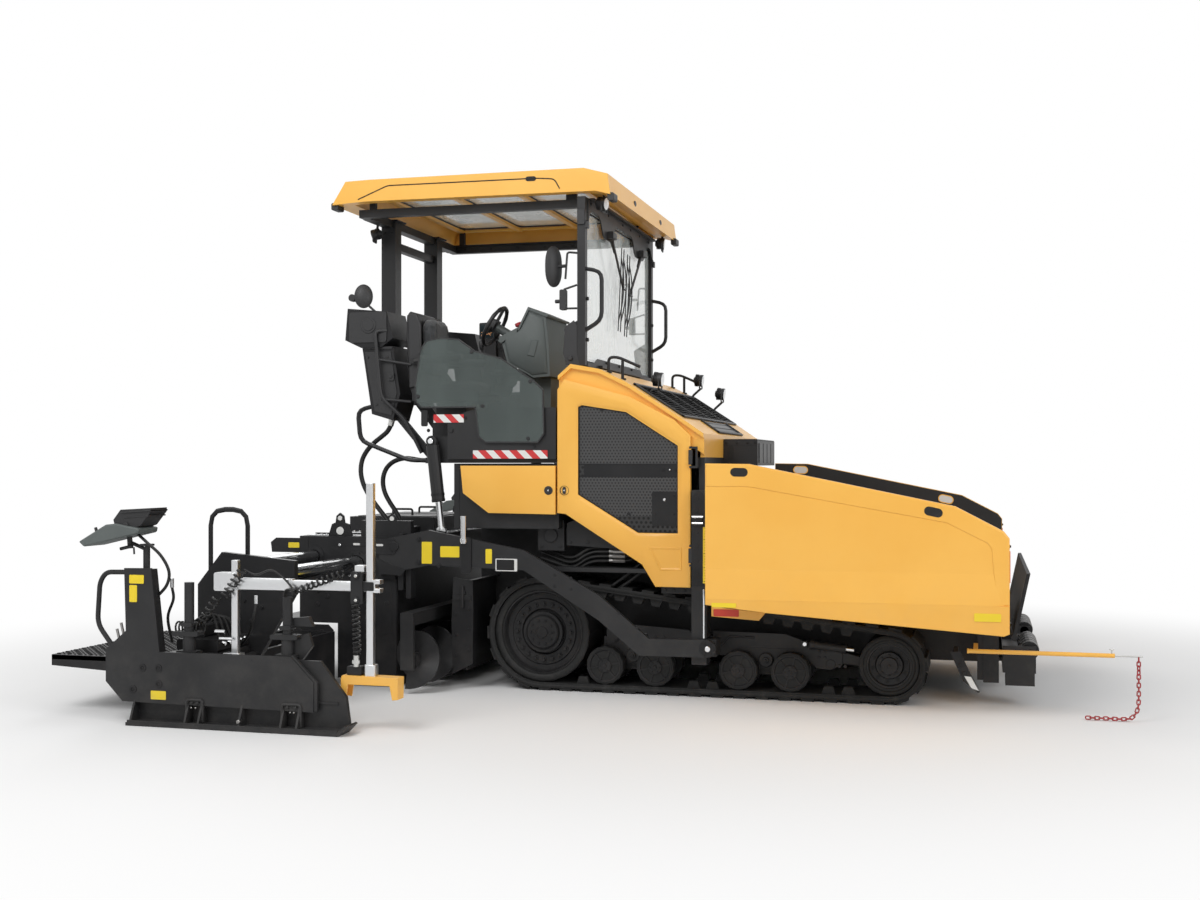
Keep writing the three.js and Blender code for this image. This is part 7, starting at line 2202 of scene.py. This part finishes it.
def make_end_gate(side, s):
    """The end gate with its folded panel, open shoe, jacks, labels, hand rail and control box."""
    body = "end_gate_" + side

    def across(a, b):
        return sorted((s * a, s * b))

    gate = Shape()
    panel = [(-2.771, 0.988), (-2.577, 0.991), (-2.517, 0.460), (-1.600, 0.460), (-1.447, 0.308), (-1.447, 0.124),
             (-2.783, 0.137), (-2.905, 0.261), (-2.905, 0.465), (-2.759, 0.588)]
    gate.prism(panel, across(3.052, GATE_FACE))
    gate.prism([(-2.765, 0.980), (-2.583, 0.983), (-2.523, 0.452), (-1.606, 0.452), (-1.455, 0.300), (-1.455, 0.130),
                (-2.777, 0.143), (-2.897, 0.268), (-2.897, 0.458), (-2.752, 0.582)], across(2.985, 3.055))
    gate.prism([(-1.640, 0.445), (-1.570, 0.435), (-1.423, 0.434), (-1.250, 0.220), (-1.222, 0.020), (-2.690, 0.020),
                (-2.690, 0.200), (-1.640, 0.200)], across(2.992, 3.022))
    gate.prism(
        [(-1.640, 0.445), (-1.620, 0.575), (-1.525, 0.600), (-1.500, 0.520), (-1.570, 0.430)],
        across(2.945, 2.975),
    )
    gate.prism([(-2.709, 0.000), (-2.709, 0.020), (-1.250, 0.026), (-1.200, 0.066), (-1.188, 0.058), (-1.245, 0.000)],
               across(2.985, 3.148))
    gate.box((-2.700, -1.250), across(3.135, 3.146), (0.020, 0.034))
    gate.prism([(-1.447, 0.130), (-1.447, 0.300), (-1.606, 0.458), (-1.592, 0.470), (-1.425, 0.308), (-1.425, 0.130)],
               across(3.040, 3.062))
    for x in (-2.695, -2.310, -2.215, -1.935, -1.648, -1.540):
        gate.prism(
            [(3.020 * s, 0.020), (3.020 * s, 0.150), (3.066 * s, 0.150), (3.120 * s, 0.024)],
            (x - 0.007, x + 0.007),
            "x",
        )
    for x0, x1 in ((-2.318, -2.208), (-1.656, -1.532)):
        gate.tube(bent_line([(x0, s * 3.072, 0.030), (x0, s * 3.072, 0.168), (x1, s * 3.072, 0.168),
                             (x1, s * 3.072, 0.030)], 0.02), 0.011, 8)
        for x in (x0 + 0.035, x1 - 0.035):
            gate.disc(Vector((x, 0, 0.150)), 0.011, across(3.066, 3.080), sides=6)
    gate.box((-2.780, -1.440), across(3.020, 3.052), (0.150, 0.166))
    for x in (-2.600, -2.250, -1.880, -1.560):
        gate.rounded((x, x + 0.060), across(3.100, 3.132), (0.020, 0.027), 0.003)
    gate.prism([(-1.700, 0.185), (-1.300, 0.185), (-1.300, 0.172), (-1.700, 0.172)], across(3.020, 3.030))
    for index in range(9):
        x = -2.15 + 0.07 * index
        gate.disc(Vector((x, 0, 0.432)), 0.004, across(3.067, 3.070), sides=8)
    gate.tube(bent_line([(-2.780, s * 3.005, 0.958), (-2.945, s * 3.005, 0.955), (-2.990, s * 3.005, 0.890),
                         (-3.008, s * 3.005, 0.620), (-2.890, s * 3.005, 0.470)], 0.06), 0.016, 16)
    for x in (-2.353, -1.663):
        top = 0.900 if x < -2 else 0.822
        gate.tube([(x, s * 2.985, 0.452), (x, s * 2.985, top)], 0.031, 20)
        gate.tube([(x, s * 2.985, 0.452), (x, s * 2.985, 0.560)], 0.040, 20)
        gate.rounded((x - 0.100, x + 0.085), across(2.950, 3.030), (0.560, 0.590), 0.012)
        gate.rounded((x - 0.040, x + 0.040), across(2.945, 3.025), (0.620, 0.645), 0.012)
        gate.box((x - 0.070, x + 0.070), across(2.945, 3.025), (0.450, 0.466))
    gate.prism([(-1.640, 0.640), (-1.500, 0.640), (-1.530, 0.700), (-1.640, 0.690)], across(2.930, 2.970))
    gate.tube([(-2.645, s * 3.000, 0.980), (-2.645, s * 3.000, 1.140)], 0.017, 16)
    gate.tube([(-2.665, s * 3.000, 0.985), (-2.665, s * 3.000, 1.120)], 0.010, 12)
    gate.rounded((-2.685, -2.612), across(2.970, 3.030), (1.128, 1.142), 0.006)
    gate.tube([(-2.770, s * 3.000, 1.110), (-2.778, s * 3.000, 1.215)], 0.017, 16)
    gate.tube([(-2.822, s * 3.030, 1.108), (-2.735, s * 3.030, 1.128)], 0.011, 12)
    gate.tube([(-2.725, s * 3.030, 1.120), (-2.722, s * 3.030, 1.075)], 0.006, 10)
    gate.tube([(-2.770, s * 3.000, 1.150), (-2.640, s * 3.000, 1.100)], 0.012, 12)
    piece = gate.make(f"end_gate_{side}_panel", CHARCOAL, body, "charcoal_paint", 0.002)
    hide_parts("end_gate_" + side)
    bolts = Shape()
    for x, z in ((-2.637, 0.356), (-2.523, 0.357), (-2.521, 0.257), (-2.706, 0.217)):
        bolts.turned(
            [(0.013, s * 3.066), (0.025, s * 3.066), (0.025, s * 3.072), (0.013, s * 3.072)],
            Vector((x, 0, z)),
            sides=28,
        )
        bolts.disc(Vector((x, 0, z)), 0.012, across(3.064, 3.0695), sides=6)
    bolts.make(f"end_gate_{side}_bolts", BLACK, body, "black_paint")
    studs = Shape()
    for x in (-2.255, -1.600, -2.285, -1.575):
        studs.disc(Vector((x, 0, 0.118)), 0.006, across(3.070, 3.080), sides=12)
    studs.disc(Vector((-1.935, 0, 0.052)), 0.013, across(3.080, 3.120), sides=18)
    for x, z in ((-2.82, 0.60), (-2.85, 0.56)):
        studs.tube([(x, s * 3.000, z - 0.04), (x - 0.018, s * 3.000, z + 0.03)], 0.009, 12)
    studs.make(f"end_gate_{side}_studs", STEEL, body, "worn_steel")
    if side == "right":
        label("gate_label_top", LABEL, body, -2.680, 0.919, GATE_FACE + 0.0008, s, (0.105, 0.055))
        label("gate_label_tall", LABEL, body, -2.704, 0.827, GATE_FACE + 0.0008, s, (0.055, 0.108))
    label(f"gate_label_low_{side}", LABEL, body, -2.523, 0.186, GATE_FACE + 0.0008, s, (0.108, 0.055))
    desk = Shape().prism(DESK, across(2.880, 3.110))
    desk.make(f"control_box_{side}", GREY, body, "grey_plastic", 0.010, 30)
    display = Shape().prism(DISPLAY, across(2.900, 3.090))
    for depth, grow in ((0.012, 0.010), (0.034, 0.004)):
        lip = [(-2.790 + depth, 1.366 - depth * 1.5), (-2.560 - depth * 0.5, 1.379 - depth * 1.5),
               (-2.560 - depth * 0.5, 1.371 - depth * 1.5), (-2.790 + depth, 1.358 - depth * 1.5)]
        display.prism(lip, across(2.900 - grow, 3.090 + grow))
    for offset in (-0.080, 0.0, 0.080):
        display.tube([(-2.960, s * (2.995 + offset), 1.200), (-2.975, s * (2.995 + offset), 1.246)], 0.010, 12)
    display.rounded((-2.990, -2.945), across(2.960, 3.030), (1.196, 1.214), 0.008)
    display.disc(Vector((-2.742, 0, 1.262)), 0.020, across(3.085, 3.100), sides=24)
    display.make(f"control_display_{side}", PLASTIC, body, "black_plastic", 0.004)
    lead = Shape()
    lead.tube(smooth_line([(-2.700, s * 3.03, 1.208), (-2.620, s * 3.04, 1.150), (-2.530, s * 3.03, 1.070),
                           (-2.478, s * 3.02, 0.970), (-2.500, s * 3.01, 0.880), (-2.580, s * 3.00, 0.800)], 6),
              0.010, 12)
    lead.make(f"control_lead_{side}", HOSE, body, "black_plastic")


def make_extension(side, s):
    """Cylinders, valve block, clipped lines, and the tread on the extension and its walkway."""
    body = "extension_" + side

    def across(a, b):
        return sorted((s * a, s * b))

    gear = Shape()
    gear.rounded((-2.52, -2.22), across(2.46, 2.86), (0.440, 0.520), 0.020)
    gear.rounded((-2.50, -2.38), across(2.55, 2.75), (0.520, 0.600), 0.012)
    gear.prism([(-2.590, 0.030), (-2.158, 0.030), (-2.158, 0.410), (-2.200, 0.450), (-2.500, 0.450), (-2.590, 0.400)],
               across(1.3000, 1.3080))
    for x, z in ((-2.250, 0.400), (-2.250, 0.330), (-2.235, 0.240), (-2.430, 0.400)):
        gear.disc(Vector((x, 0, z)), 0.016, across(1.3080, 1.3120), sides=20)
    gear.bolts([Vector((x, 0, z)) for x, z in ((-2.20, 0.60), (-2.12, 0.70), (-2.25, 0.74), (-2.45, 0.62), (-2.40, 0.52))],
               0.012, (s * 2.470, s * 2.482))
    gear.make(f"extension_{side}_gear", BLACK, body, "black_paint", 0.003)
    lines = Shape()
    for index in range(5):
        y = 2.52 + 0.07 * index
        lines.tube(smooth_line([(-2.24, s * y, 0.50), (-2.30, s * y, 0.60 + 0.02 * index), (-2.40, s * (y + 0.02), 0.64),
                                (-2.47, s * (y + 0.01), 0.58), (-2.45, s * y, 0.52)], 5), 0.0085, 8)
    lines.tube(smooth_line([(-2.54, s * 2.88, 0.50), (-2.56, s * 2.90, 0.66), (-2.52, s * 2.90, 0.78),
                            (-2.53, s * 2.90, 0.86)], 6), 0.0095, 10)
    lines.tube(smooth_line([(-2.20, s * 2.60, 0.46), (-2.12, s * 2.64, 0.54), (-2.08, s * 2.66, 0.64),
                            (-2.08, s * 2.62, 0.74)], 6), 0.0095, 10)
    lines.make(f"extension_{side}_lines", HOSE, body, "black_plastic")
    ends = Shape()
    ends.rod((-2.53, s * 2.90, 0.855), (-2.53, s * 2.90, 0.915), 0.013, 14)
    ends.rod((-2.08, s * 2.62, 0.735), (-2.08, s * 2.62, 0.790), 0.013, 14)
    for index in range(5):
        y = 2.52 + 0.07 * index
        ends.rod((-2.24, s * y, 0.500), (-2.20, s * y, 0.490), 0.013, 6)
    ends.rod((-2.20, s * 2.93, 0.585), (-2.13, s * 2.93, 0.585), 0.012, 14)
    ends.make(f"extension_{side}_couplings", CHROME, body, "rod_chrome", 0.001)
    tread = Shape()
    tread.box((-2.535, -2.215), across(2.075, 2.405), (0.4400, 0.4440))
    tread.make(f"extension_{side}_tread", TREAD, body, "tread_aluminium")
    tray = Shape()
    tray.box((-3.518, -2.740), across(1.382, 2.778), (0.340, 0.3735))
    for y in (1.382, 2.766):
        tray.prism([(-3.510, 0.300), (-2.790, 0.262), (-2.745, 0.300), (-2.745, 0.3725), (-3.516, 0.3725)],
                   across(y, y + 0.012))
    tray.box((-3.518, -3.506), across(1.382, 2.778), (0.300, 0.3735))
    for y in (1.50, 2.08, 2.66):
        tray.disc(Vector((-2.735, 0, 0.352)), 0.019, across(y - 0.040, y + 0.040), sides=24)
    piece = tray.make(f"walkway_{side}_tray", BLACK, "walkway_" + side, "black_paint", 0.002)
    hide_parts("walkway_" + side)
    bar = Shape().prism([(-0.016, 0.0), (0.016, 0.0), (0.010, 0.006), (-0.010, 0.006)], (-0.004, 0.004))
    places = []
    for row in range(18):
        for column in range(30):
            turn = math.pi / 4 if (row + column) % 2 else -math.pi / 4
            place = Vector((-3.490 + 0.041 * row, s * (1.430 + 0.045 * column), 0.3742))
            places.append((place, (0, 0, turn)))
    repeat(f"walkway_{side}_bars", bar, places, BLACK, "walkway_" + side)


# ---- Augers ----------------------------------------------------------------------------------


def make_auger(side, s):
    """Smooth helical flights with a thick worn edge, the shaft and its end nut."""
    body = "auger_" + side
    flight = Shape()
    centre = Vector((-1.450, 0, 0.235))
    low, high = 0.135, 1.545
    turns = (high - low) / 0.330
    steps = int(turns * 40)
    rings = []
    for i in range(steps + 1):
        angle = s * 2 * math.pi * turns * i / steps
        y = s * (low + (high - low) * i / steps)
        spoke = Vector((math.cos(angle), 0, math.sin(angle)))
        rings.append([
            centre + spoke * 0.044 + Vector((0, y - 0.010, 0)),
            centre + spoke * 0.2005 + Vector((0, y - 0.011, 0)),
            centre + spoke * 0.2005 + Vector((0, y + 0.011, 0)),
            centre + spoke * 0.044 + Vector((0, y + 0.010, 0)),
        ])
    flight._skin(rings)
    flight.tube([(-1.450, s * 0.12, 0.235), (-1.450, s * 1.555, 0.235)], 0.0460, 32)
    for y in (0.45, 0.80, 1.15):
        flight.tube([(-1.450, s * y, 0.235), (-1.450, s * (y + 0.035), 0.235)], 0.060, 32)
    flight.tube([(-1.450, s * 1.50, 0.235), (-1.450, s * 1.545, 0.235)], 0.066, 8)
    piece = flight.make(f"auger_{side}_flight", BLACK, body, "black_paint", smooth=50)
    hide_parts("auger_" + side)


def make_bulkhead():
    """The plate between the tracks and the augers, open at the tunnels, with folded side wings."""
    plate = Shape()
    plate.box((-1.128, -1.120), (-0.600, 0.600), (0.140, 0.420))
    for s in (-1, 1):
        plate.box((-1.128, -1.120), sorted((s * 0.590, s * 1.240)), (0.140, 0.800))
        plate.box((-1.128, -1.080), sorted((s * 0.590, s * 1.240)), (0.792, 0.800))
        wing = [
            (-1.232, 0.110), (-1.075, 0.190), (-1.070, 0.560), (-1.075, 0.800), (-1.225, 0.820), (-1.240, 0.500)
        ]
        plate.prism(wing, sorted((s * 1.240, s * 1.248)))
        for z in (0.25, 0.40, 0.55):
            plate.bolts([Vector((-1.205, 0, z)), Vector((-1.105, 0, z + 0.04))], 0.009, (s * 1.248, s * 1.256))
        plate.rounded((-1.225, -1.085), sorted((s * 1.248, s * 1.258)), (0.655, 0.690), 0.006)
        plate.tube([(-1.150, s * 1.262, 0.60), (-1.150, s * 1.262, 0.76)], 0.012, 14)
        plate.rounded((-1.170, -1.130), sorted((s * 1.240, s * 1.266)), (0.700, 0.725), 0.006)
    plate.make("auger_bulkhead", BLACK, "root", "black_paint", 0.002)


make_bulkhead()
for side, s in SIDES:
    make_tubes(side, s)
    make_tow_arm(side, s)
    make_lift(side, s)
    make_end_gate(side, s)
    make_extension(side, s)
    make_auger(side, s)
make_screed_frame()
# ---- Grade sensor, guide bar, chain and push beam --------------------------------------------

ARM_Y = -2.920


def make_sensor():
    """The telescopic arm with its head box, clamps, leg, yellow guard and curly cables."""
    body = "end_gate_right"
    y = ARM_Y
    bars = Shape()
    bars.rounded((-2.082, -2.038), (y - 0.021, y + 0.021), (0.440, 1.042), 0.006, along="z")
    bars.rounded((-2.040, -1.655), (y - 0.026, y + 0.026), (0.857, 0.931), 0.006, along="x")
    bars.rounded((-1.660, -1.160), (y - 0.021, y + 0.021), (0.864, 0.924), 0.006, along="x")
    bars.rounded((-1.154, -1.108), (y - 0.022, y + 0.022), (0.400, 1.534), 0.006, along="z")
    bars.rounded((-1.164, -1.090), (y - 0.034, y + 0.034), (0.336, 0.412), 0.016, along="z")
    bars.rounded((-2.135, -2.015), (y - 0.035, y + 0.035), (0.438, 0.452), 0.006, along="z")
    bars.rounded((-2.195, -2.048), (y - 0.040, y + 0.040), (0.846, 0.964), 0.014)
    bars.rounded((-2.185, -2.110), (y + 0.036, y + 0.044), (0.870, 0.946), 0.010)
    bars.rounded((-1.226, -1.164), (y - 0.030, y + 0.030), (0.985, 1.026), 0.006)
    bars.prism([(-1.112, 0.858), (-1.058, 0.858), (-1.058, 0.884), (-1.090, 0.884), (-1.090, 0.912), (-1.058, 0.912),
                (-1.058, 0.938), (-1.112, 0.938)], (y - 0.030, y + 0.030))
    bars.tube([(-2.150, y - 0.045, 0.545), (-2.060, y - 0.045, 0.545)], 0.010, 12)
    bars.tube([(-1.668, y - 0.030, 0.852), (-1.668, y - 0.030, 0.936)], 0.008, 12)
    piece = bars.make("sensor_bars", PROFILE, body, "aluminium_profile", 0.002)
    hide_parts("sensor_bracket")
    guard = Shape()
    guard.prism([(-1.310, 0.207), (-1.278, 0.203), (-1.262, 0.290), (-0.985, 0.290), (-0.968, 0.203), (-0.932, 0.207),
                 (-0.930, 0.340), (-1.300, 0.346), (-1.310, 0.330)], (y - 0.050, y - 0.040))
    guard.prism([(-1.310, 0.207), (-1.278, 0.203), (-1.262, 0.290), (-0.985, 0.290), (-0.968, 0.203), (-0.932, 0.207),
                 (-0.930, 0.340), (-1.300, 0.346), (-1.310, 0.330)], (y + 0.040, y + 0.050))
    guard.prism([(-1.310, 0.207), (-1.302, 0.207), (-1.302, 0.330), (-0.938, 0.332), (-0.938, 0.207), (-0.930, 0.207),
                 (-0.930, 0.340), (-1.300, 0.346), (-1.310, 0.338)], (y - 0.045, y + 0.045))
    guard.make("sensor_guard", YELLOW, body, "yellow_paint", 0.002)
    clamp = Shape()
    clamp.rounded((-1.248, -1.168), (y - 0.044, y - 0.024), (0.786, 0.988), 0.014)
    clamp.rounded((-1.238, -1.178), (y + 0.022, y + 0.040), (0.800, 0.975), 0.010)
    for x, z in ((-1.208, 0.962), (-1.208, 0.812)):
        clamp.disc(Vector((x, 0, z)), 0.020, (y - 0.056, y - 0.044), sides=24)
    clamp.rounded((-1.172, -1.098), (y - 0.036, y - 0.024), (0.870, 0.924), 0.006)
    clamp.rounded((-2.200, -2.188), (y - 0.036, y + 0.036), (0.856, 0.954), 0.004)
    clamp.rounded((-1.280, -1.180), (y - 0.030, y + 0.030), (0.345, 0.400), 0.010)
    clamp.tube([(-1.222, y - 0.01, 0.380), (-1.222, y - 0.01, 0.540)], 0.020, 16)
    clamp.make("sensor_clamps", BLACK, body, "black_paint", 0.002)
    steel = Shape()
    for x, z in ((-1.208, 0.962), (-1.208, 0.812)):
        steel.disc(Vector((x, 0, z)), 0.011, (y - 0.061, y - 0.055), sides=6)
    steel.tube([(-1.215, y - 0.030, 0.400), (-1.215, y - 0.030, 0.470)], 0.019, 18)
    steel.tube([(-1.215, y - 0.030, 0.420), (-1.215, y - 0.030, 0.440)], 0.026, 6)
    steel.make("sensor_steel", BRIGHT, body, "worn_steel", 0.001)
    cables = Shape()
    cables.tube(curly((-1.205, y - 0.036, 0.475), (-1.215, y - 0.036, 0.790), 11, 0.022), 0.0065, 8)
    cables.tube(curly((-1.640, y - 0.052, 0.850), (-1.300, y - 0.040, 0.975), 10, 0.020), 0.0065, 8)
    cables.tube(curly((-2.110, y - 0.060, 0.810), (-1.985, y - 0.052, 0.985), 6, 0.026), 0.0065, 8)
    cables.tube(curly((-2.300, y - 0.020, 0.640), (-2.160, y - 0.045, 0.810), 5, 0.024), 0.0065, 8)
    cables.tube(curly((-2.470, y - 0.005, 0.600), (-2.290, y - 0.020, 0.600), 7, 0.040), 0.0065, 8)
    cables.tube(smooth_line([(-1.985, y - 0.03, 0.985), (-1.900, y - 0.03, 0.955), (-1.800, y - 0.03, 0.985),
                             (-1.720, y - 0.03, 0.945), (-1.640, y - 0.05, 0.880)], 6), 0.0065, 8)
    for turn in range(4):
        ring = circle(0.040 + 0.004 * turn, 20)
        line = [(-1.655 + a * 0.6, y - 0.055 - 0.006 * turn, 0.835 + b * 0.7) for a, b in ring[:18]]
        cables.tube(line, 0.0065, 8)
    cables.make("sensor_cables", HOSE, body, "black_plastic")


GUIDE_Y = -1.370
CHAIN_WIRE = 0.0042
CHAIN_PITCH = 0.0270


def make_guide():
    """The guide bar with its sliding rod and thumb screw, and the scraper beside it."""
    y = GUIDE_Y
    bar = Shape()
    bar.tube([(2.433, y, 0.420), (3.350, y, 0.420)], 0.0145, 24)
    bar.disc(Vector((0, y, 0.420)), 0.017, (2.430, 2.442), "x", 24)
    bar.box((2.470, 2.500), (y + 0.008, -1.010), (0.410, 0.430))
    piece = bar.make("guide_bar_tube", YELLOW, "root", "yellow_paint", 0.001)
    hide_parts("guide_bar")
    rod = Shape()
    rod.tube([(3.340, y, 0.420), (3.520, y, 0.420)], 0.0065, 16)
    rod.tube([(3.332, y, 0.430), (3.332, y, 0.458)], 0.004, 10)
    rod.tube([(3.318, y, 0.462), (3.332, y, 0.455), (3.346, y, 0.462)], 0.004, 10)
    rod.make("guide_bar_rod", BRIGHT, "root", "worn_steel")
    scraper = Shape()
    scraper.prism(
        [(2.320, 0.405), (2.385, 0.412), (2.442, 0.289), (2.514, 0.146), (2.500, 0.142), (2.405, 0.215)],
        (-1.345, -1.335),
    )
    scraper.box((2.340, 2.370), (-1.340, -1.010), (0.380, 0.405))
    for x, z in ((2.385, 0.320), (2.412, 0.270)):
        scraper.disc(Vector((x, 0, z)), 0.012, (-1.353, -1.345), sides=20)
    for s in (-1, 1):
        scraper.rounded((2.533, 2.637), sorted((s * 1.015, s * 1.028)), (0.165, 0.520), 0.006)
        scraper.box((2.494, 2.540), sorted((s * 1.010, s * 1.024)), (0.180, 0.500))
        for z in (0.20, 0.26, 0.32, 0.38):
            scraper.disc(Vector((2.510, 0, z)), 0.011, sorted((s * 1.005, s * 1.016)), sides=16)
    scraper.make("scraper", BLACK, "root", "black_paint", 0.002)
    face = Shape().prism([(2.412, 0.250), (2.456, 0.246), (2.505, 0.156), (2.458, 0.172)], (-1.3475, -1.3455))
    face.make("scraper_face", WHITE, "root", "black_paint")


def chain_link():
    """One oval link of round wire, standing on end."""
    loop = []
    for i in range(20):
        angle = 2 * math.pi * i / 20
        reach = 0.0090 * math.sin(angle) + math.copysign(0.0080, math.sin(angle))
        loop.append(Vector((0.0102 * math.cos(angle), 0, reach)))
    rings = []
    for i, here in enumerate(loop):
        ahead = (loop[(i + 1) % 20] - loop[i - 1]).normalized()
        out = ahead.cross(Vector((0, 1, 0)))
        rings.append([here + out * p + Vector((0, q, 0)) for p, q in circle(CHAIN_WIRE, 8)])
    return Shape()._skin(rings, closed=False)


def make_chain():
    """The red chain of oval links that hangs from the rod to the ground and trails back."""
    x = 3.495
    route = (
        (x, 0.4115),
        (x, 0.300),
        (x, 0.180),
        (x - 0.006, 0.085),
        (x - 0.040, 0.028),
        (x - 0.090, 0.0155),
        (x - 0.180, 0.0150),
        (x - 0.320, 0.0150),
    )
    line = smooth_line([(a, GUIDE_Y, b) for a, b in route], 6)
    total = line_length(line)
    count = int(total / CHAIN_PITCH)
    places = []
    for index in range(count):
        left = total * (index + 0.5) / count
        for start, end in zip(line, line[1:]):
            step = (end - start).length
            if step >= left:
                break
            left -= step
        turn = Vector((0, 0, 1)).rotation_difference(end - start).to_matrix()
        quarter = Matrix.Rotation(math.pi / 2 * (index % 2), 3, "Z")
        places.append((start.lerp(end, left / step), tuple((turn @ quarter).to_euler())))
    piece = repeat("guide_chain_links", chain_link(), places, RED, "root", smooth=60)
    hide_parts("guide_chain")


def make_push_beam():
    """Rubber-edged push beam with its bolted roller brackets."""
    plates = Shape()
    for s in (-1, 1):
        for y in (0.27, 0.96):
            plates.disc(Vector((2.840, 0, 0.380)), 0.036, sorted((s * (y - 0.006), s * (y + 0.006))), sides=30)
        places = [Vector((0, s * y, 0.380 + z)) for y in (0.16, 0.62, 0.90) for z in (-0.045, 0.045)]
        plates.bolts(places, 0.010, (2.765, 2.780), "x")
    plates.make("push_beam_bolts", BLACK, "push_beam", "black_paint", 0.001)
    for side, s in SIDES:
        rings = Shape()
        for index in range(5):
            y = 0.36 + 0.13 * index
            rings.turned([(0.060, s * y), (0.0645, s * y), (0.0645, s * (y + 0.012)), (0.060, s * (y + 0.012))],
                         Vector((2.840, 0, 0.380)), sides=36)
        for end in (0.305, 0.935):
            rings.disc(
                Vector((2.840, 0, 0.380)), 0.034, sorted((s * (end - 0.004), s * (end + 0.004))), sides=28
            )
        rings.make(f"push_roller_{side}_bands", STEEL, "push_roller_" + side, "worn_steel")


make_sensor()
make_guide()
make_chain()
make_push_beam()

# ---- Floor, light and finish -----------------------------------------------------------------


def make_floor():
    """A wide pale floor; close by it keeps the shadow, and further off it fades into the white behind."""
    half = 60.0
    mesh = bmesh.new()
    corners = [
        mesh.verts.new((x, y, -0.002))
        for x, y in ((-half, -half), (half, -half), (half, half), (-half, half))
    ]
    mesh.faces.new(corners)
    data = bpy.data.meshes.new("floor")
    mesh.to_mesh(data)
    mesh.free()
    floor = Finish("floor_pale", (0.90, 0.90, 0.90), 0.85, Specular_IOR_Level=0.0)
    seen = floor.node("LightPath", out="Is Camera Ray")
    away = floor.node("VectorMath", {0: floor.coords()}, out="Value", operation="LENGTH")
    white = floor.node("Emission", {"Color": (1, 1, 1, 1), "Strength": 1.0})
    both = floor.node(
        "MixShader", {0: floor.ramp(away, 3.4, 7.5) * seen, 1: Value(floor, floor.shader.outputs[0]), 2: white}
    )
    floor.put(floor.output.inputs["Surface"], both)
    data.materials.append(floor.material)
    piece = bpy.data.objects.new("floor", data)
    bpy.context.scene.collection.objects.link(piece)


def make_world():
    """An even white sky that shows as white behind the machine."""
    world = bpy.data.worlds.new("sky")
    world.use_nodes = True
    tree = world.node_tree
    tree.nodes.clear()
    path = tree.nodes.new("ShaderNodeLightPath")
    seen = tree.nodes.new("ShaderNodeMath")
    seen.operation = "MAXIMUM"
    any_way = tree.nodes.new("ShaderNodeMath")
    any_way.operation = "MAXIMUM"
    shown = tree.nodes.new("ShaderNodeBackground")
    lit = tree.nodes.new("ShaderNodeBackground")
    both = tree.nodes.new("ShaderNodeMixShader")
    output = tree.nodes.new("ShaderNodeOutputWorld")
    shown.inputs["Strength"].default_value = 1.0
    lit.inputs["Strength"].default_value = SKY_LIGHT
    for background in (shown, lit):
        background.inputs["Color"].default_value = (1, 1, 1, 1)
    links = tree.links
    links.new(path.outputs["Is Camera Ray"], seen.inputs[0])
    links.new(path.outputs["Is Transmission Ray"], seen.inputs[1])
    links.new(seen.outputs[0], any_way.inputs[0])
    links.new(path.outputs["Is Glossy Ray"], any_way.inputs[1])
    links.new(any_way.outputs[0], both.inputs[0])
    links.new(lit.outputs[0], both.inputs[1])
    links.new(shown.outputs[0], both.inputs[2])
    links.new(both.outputs[0], output.inputs["Surface"])
    bpy.context.scene.world = world


SKY_LIGHT = 0.52
LAMPS = (
    ("key", (-3.0, -9.0, 9.0), 6.0, 480),
    ("front", (9.0, -7.0, 6.0), 5.0, 300),
    ("back", (-6.0, 8.0, 8.0), 6.0, 260),
)


def make_lamps():
    """Large soft lamps that look at the middle of the machine."""
    for name, place, size, power in LAMPS:
        data = bpy.data.lights.new(name, "AREA")
        data.shape = "DISK"
        data.size = size
        data.energy = power
        lamp = bpy.data.objects.new(name, data)
        lamp.location = place
        lamp.rotation_euler = (Vector((0, 0, 1.4)) - Vector(place)).to_track_quat("-Z", "Y").to_euler()
        bpy.context.scene.collection.objects.link(lamp)


make_floor()
make_world()
make_lamps()
bpy.context.scene.view_settings.view_transform = "Standard"
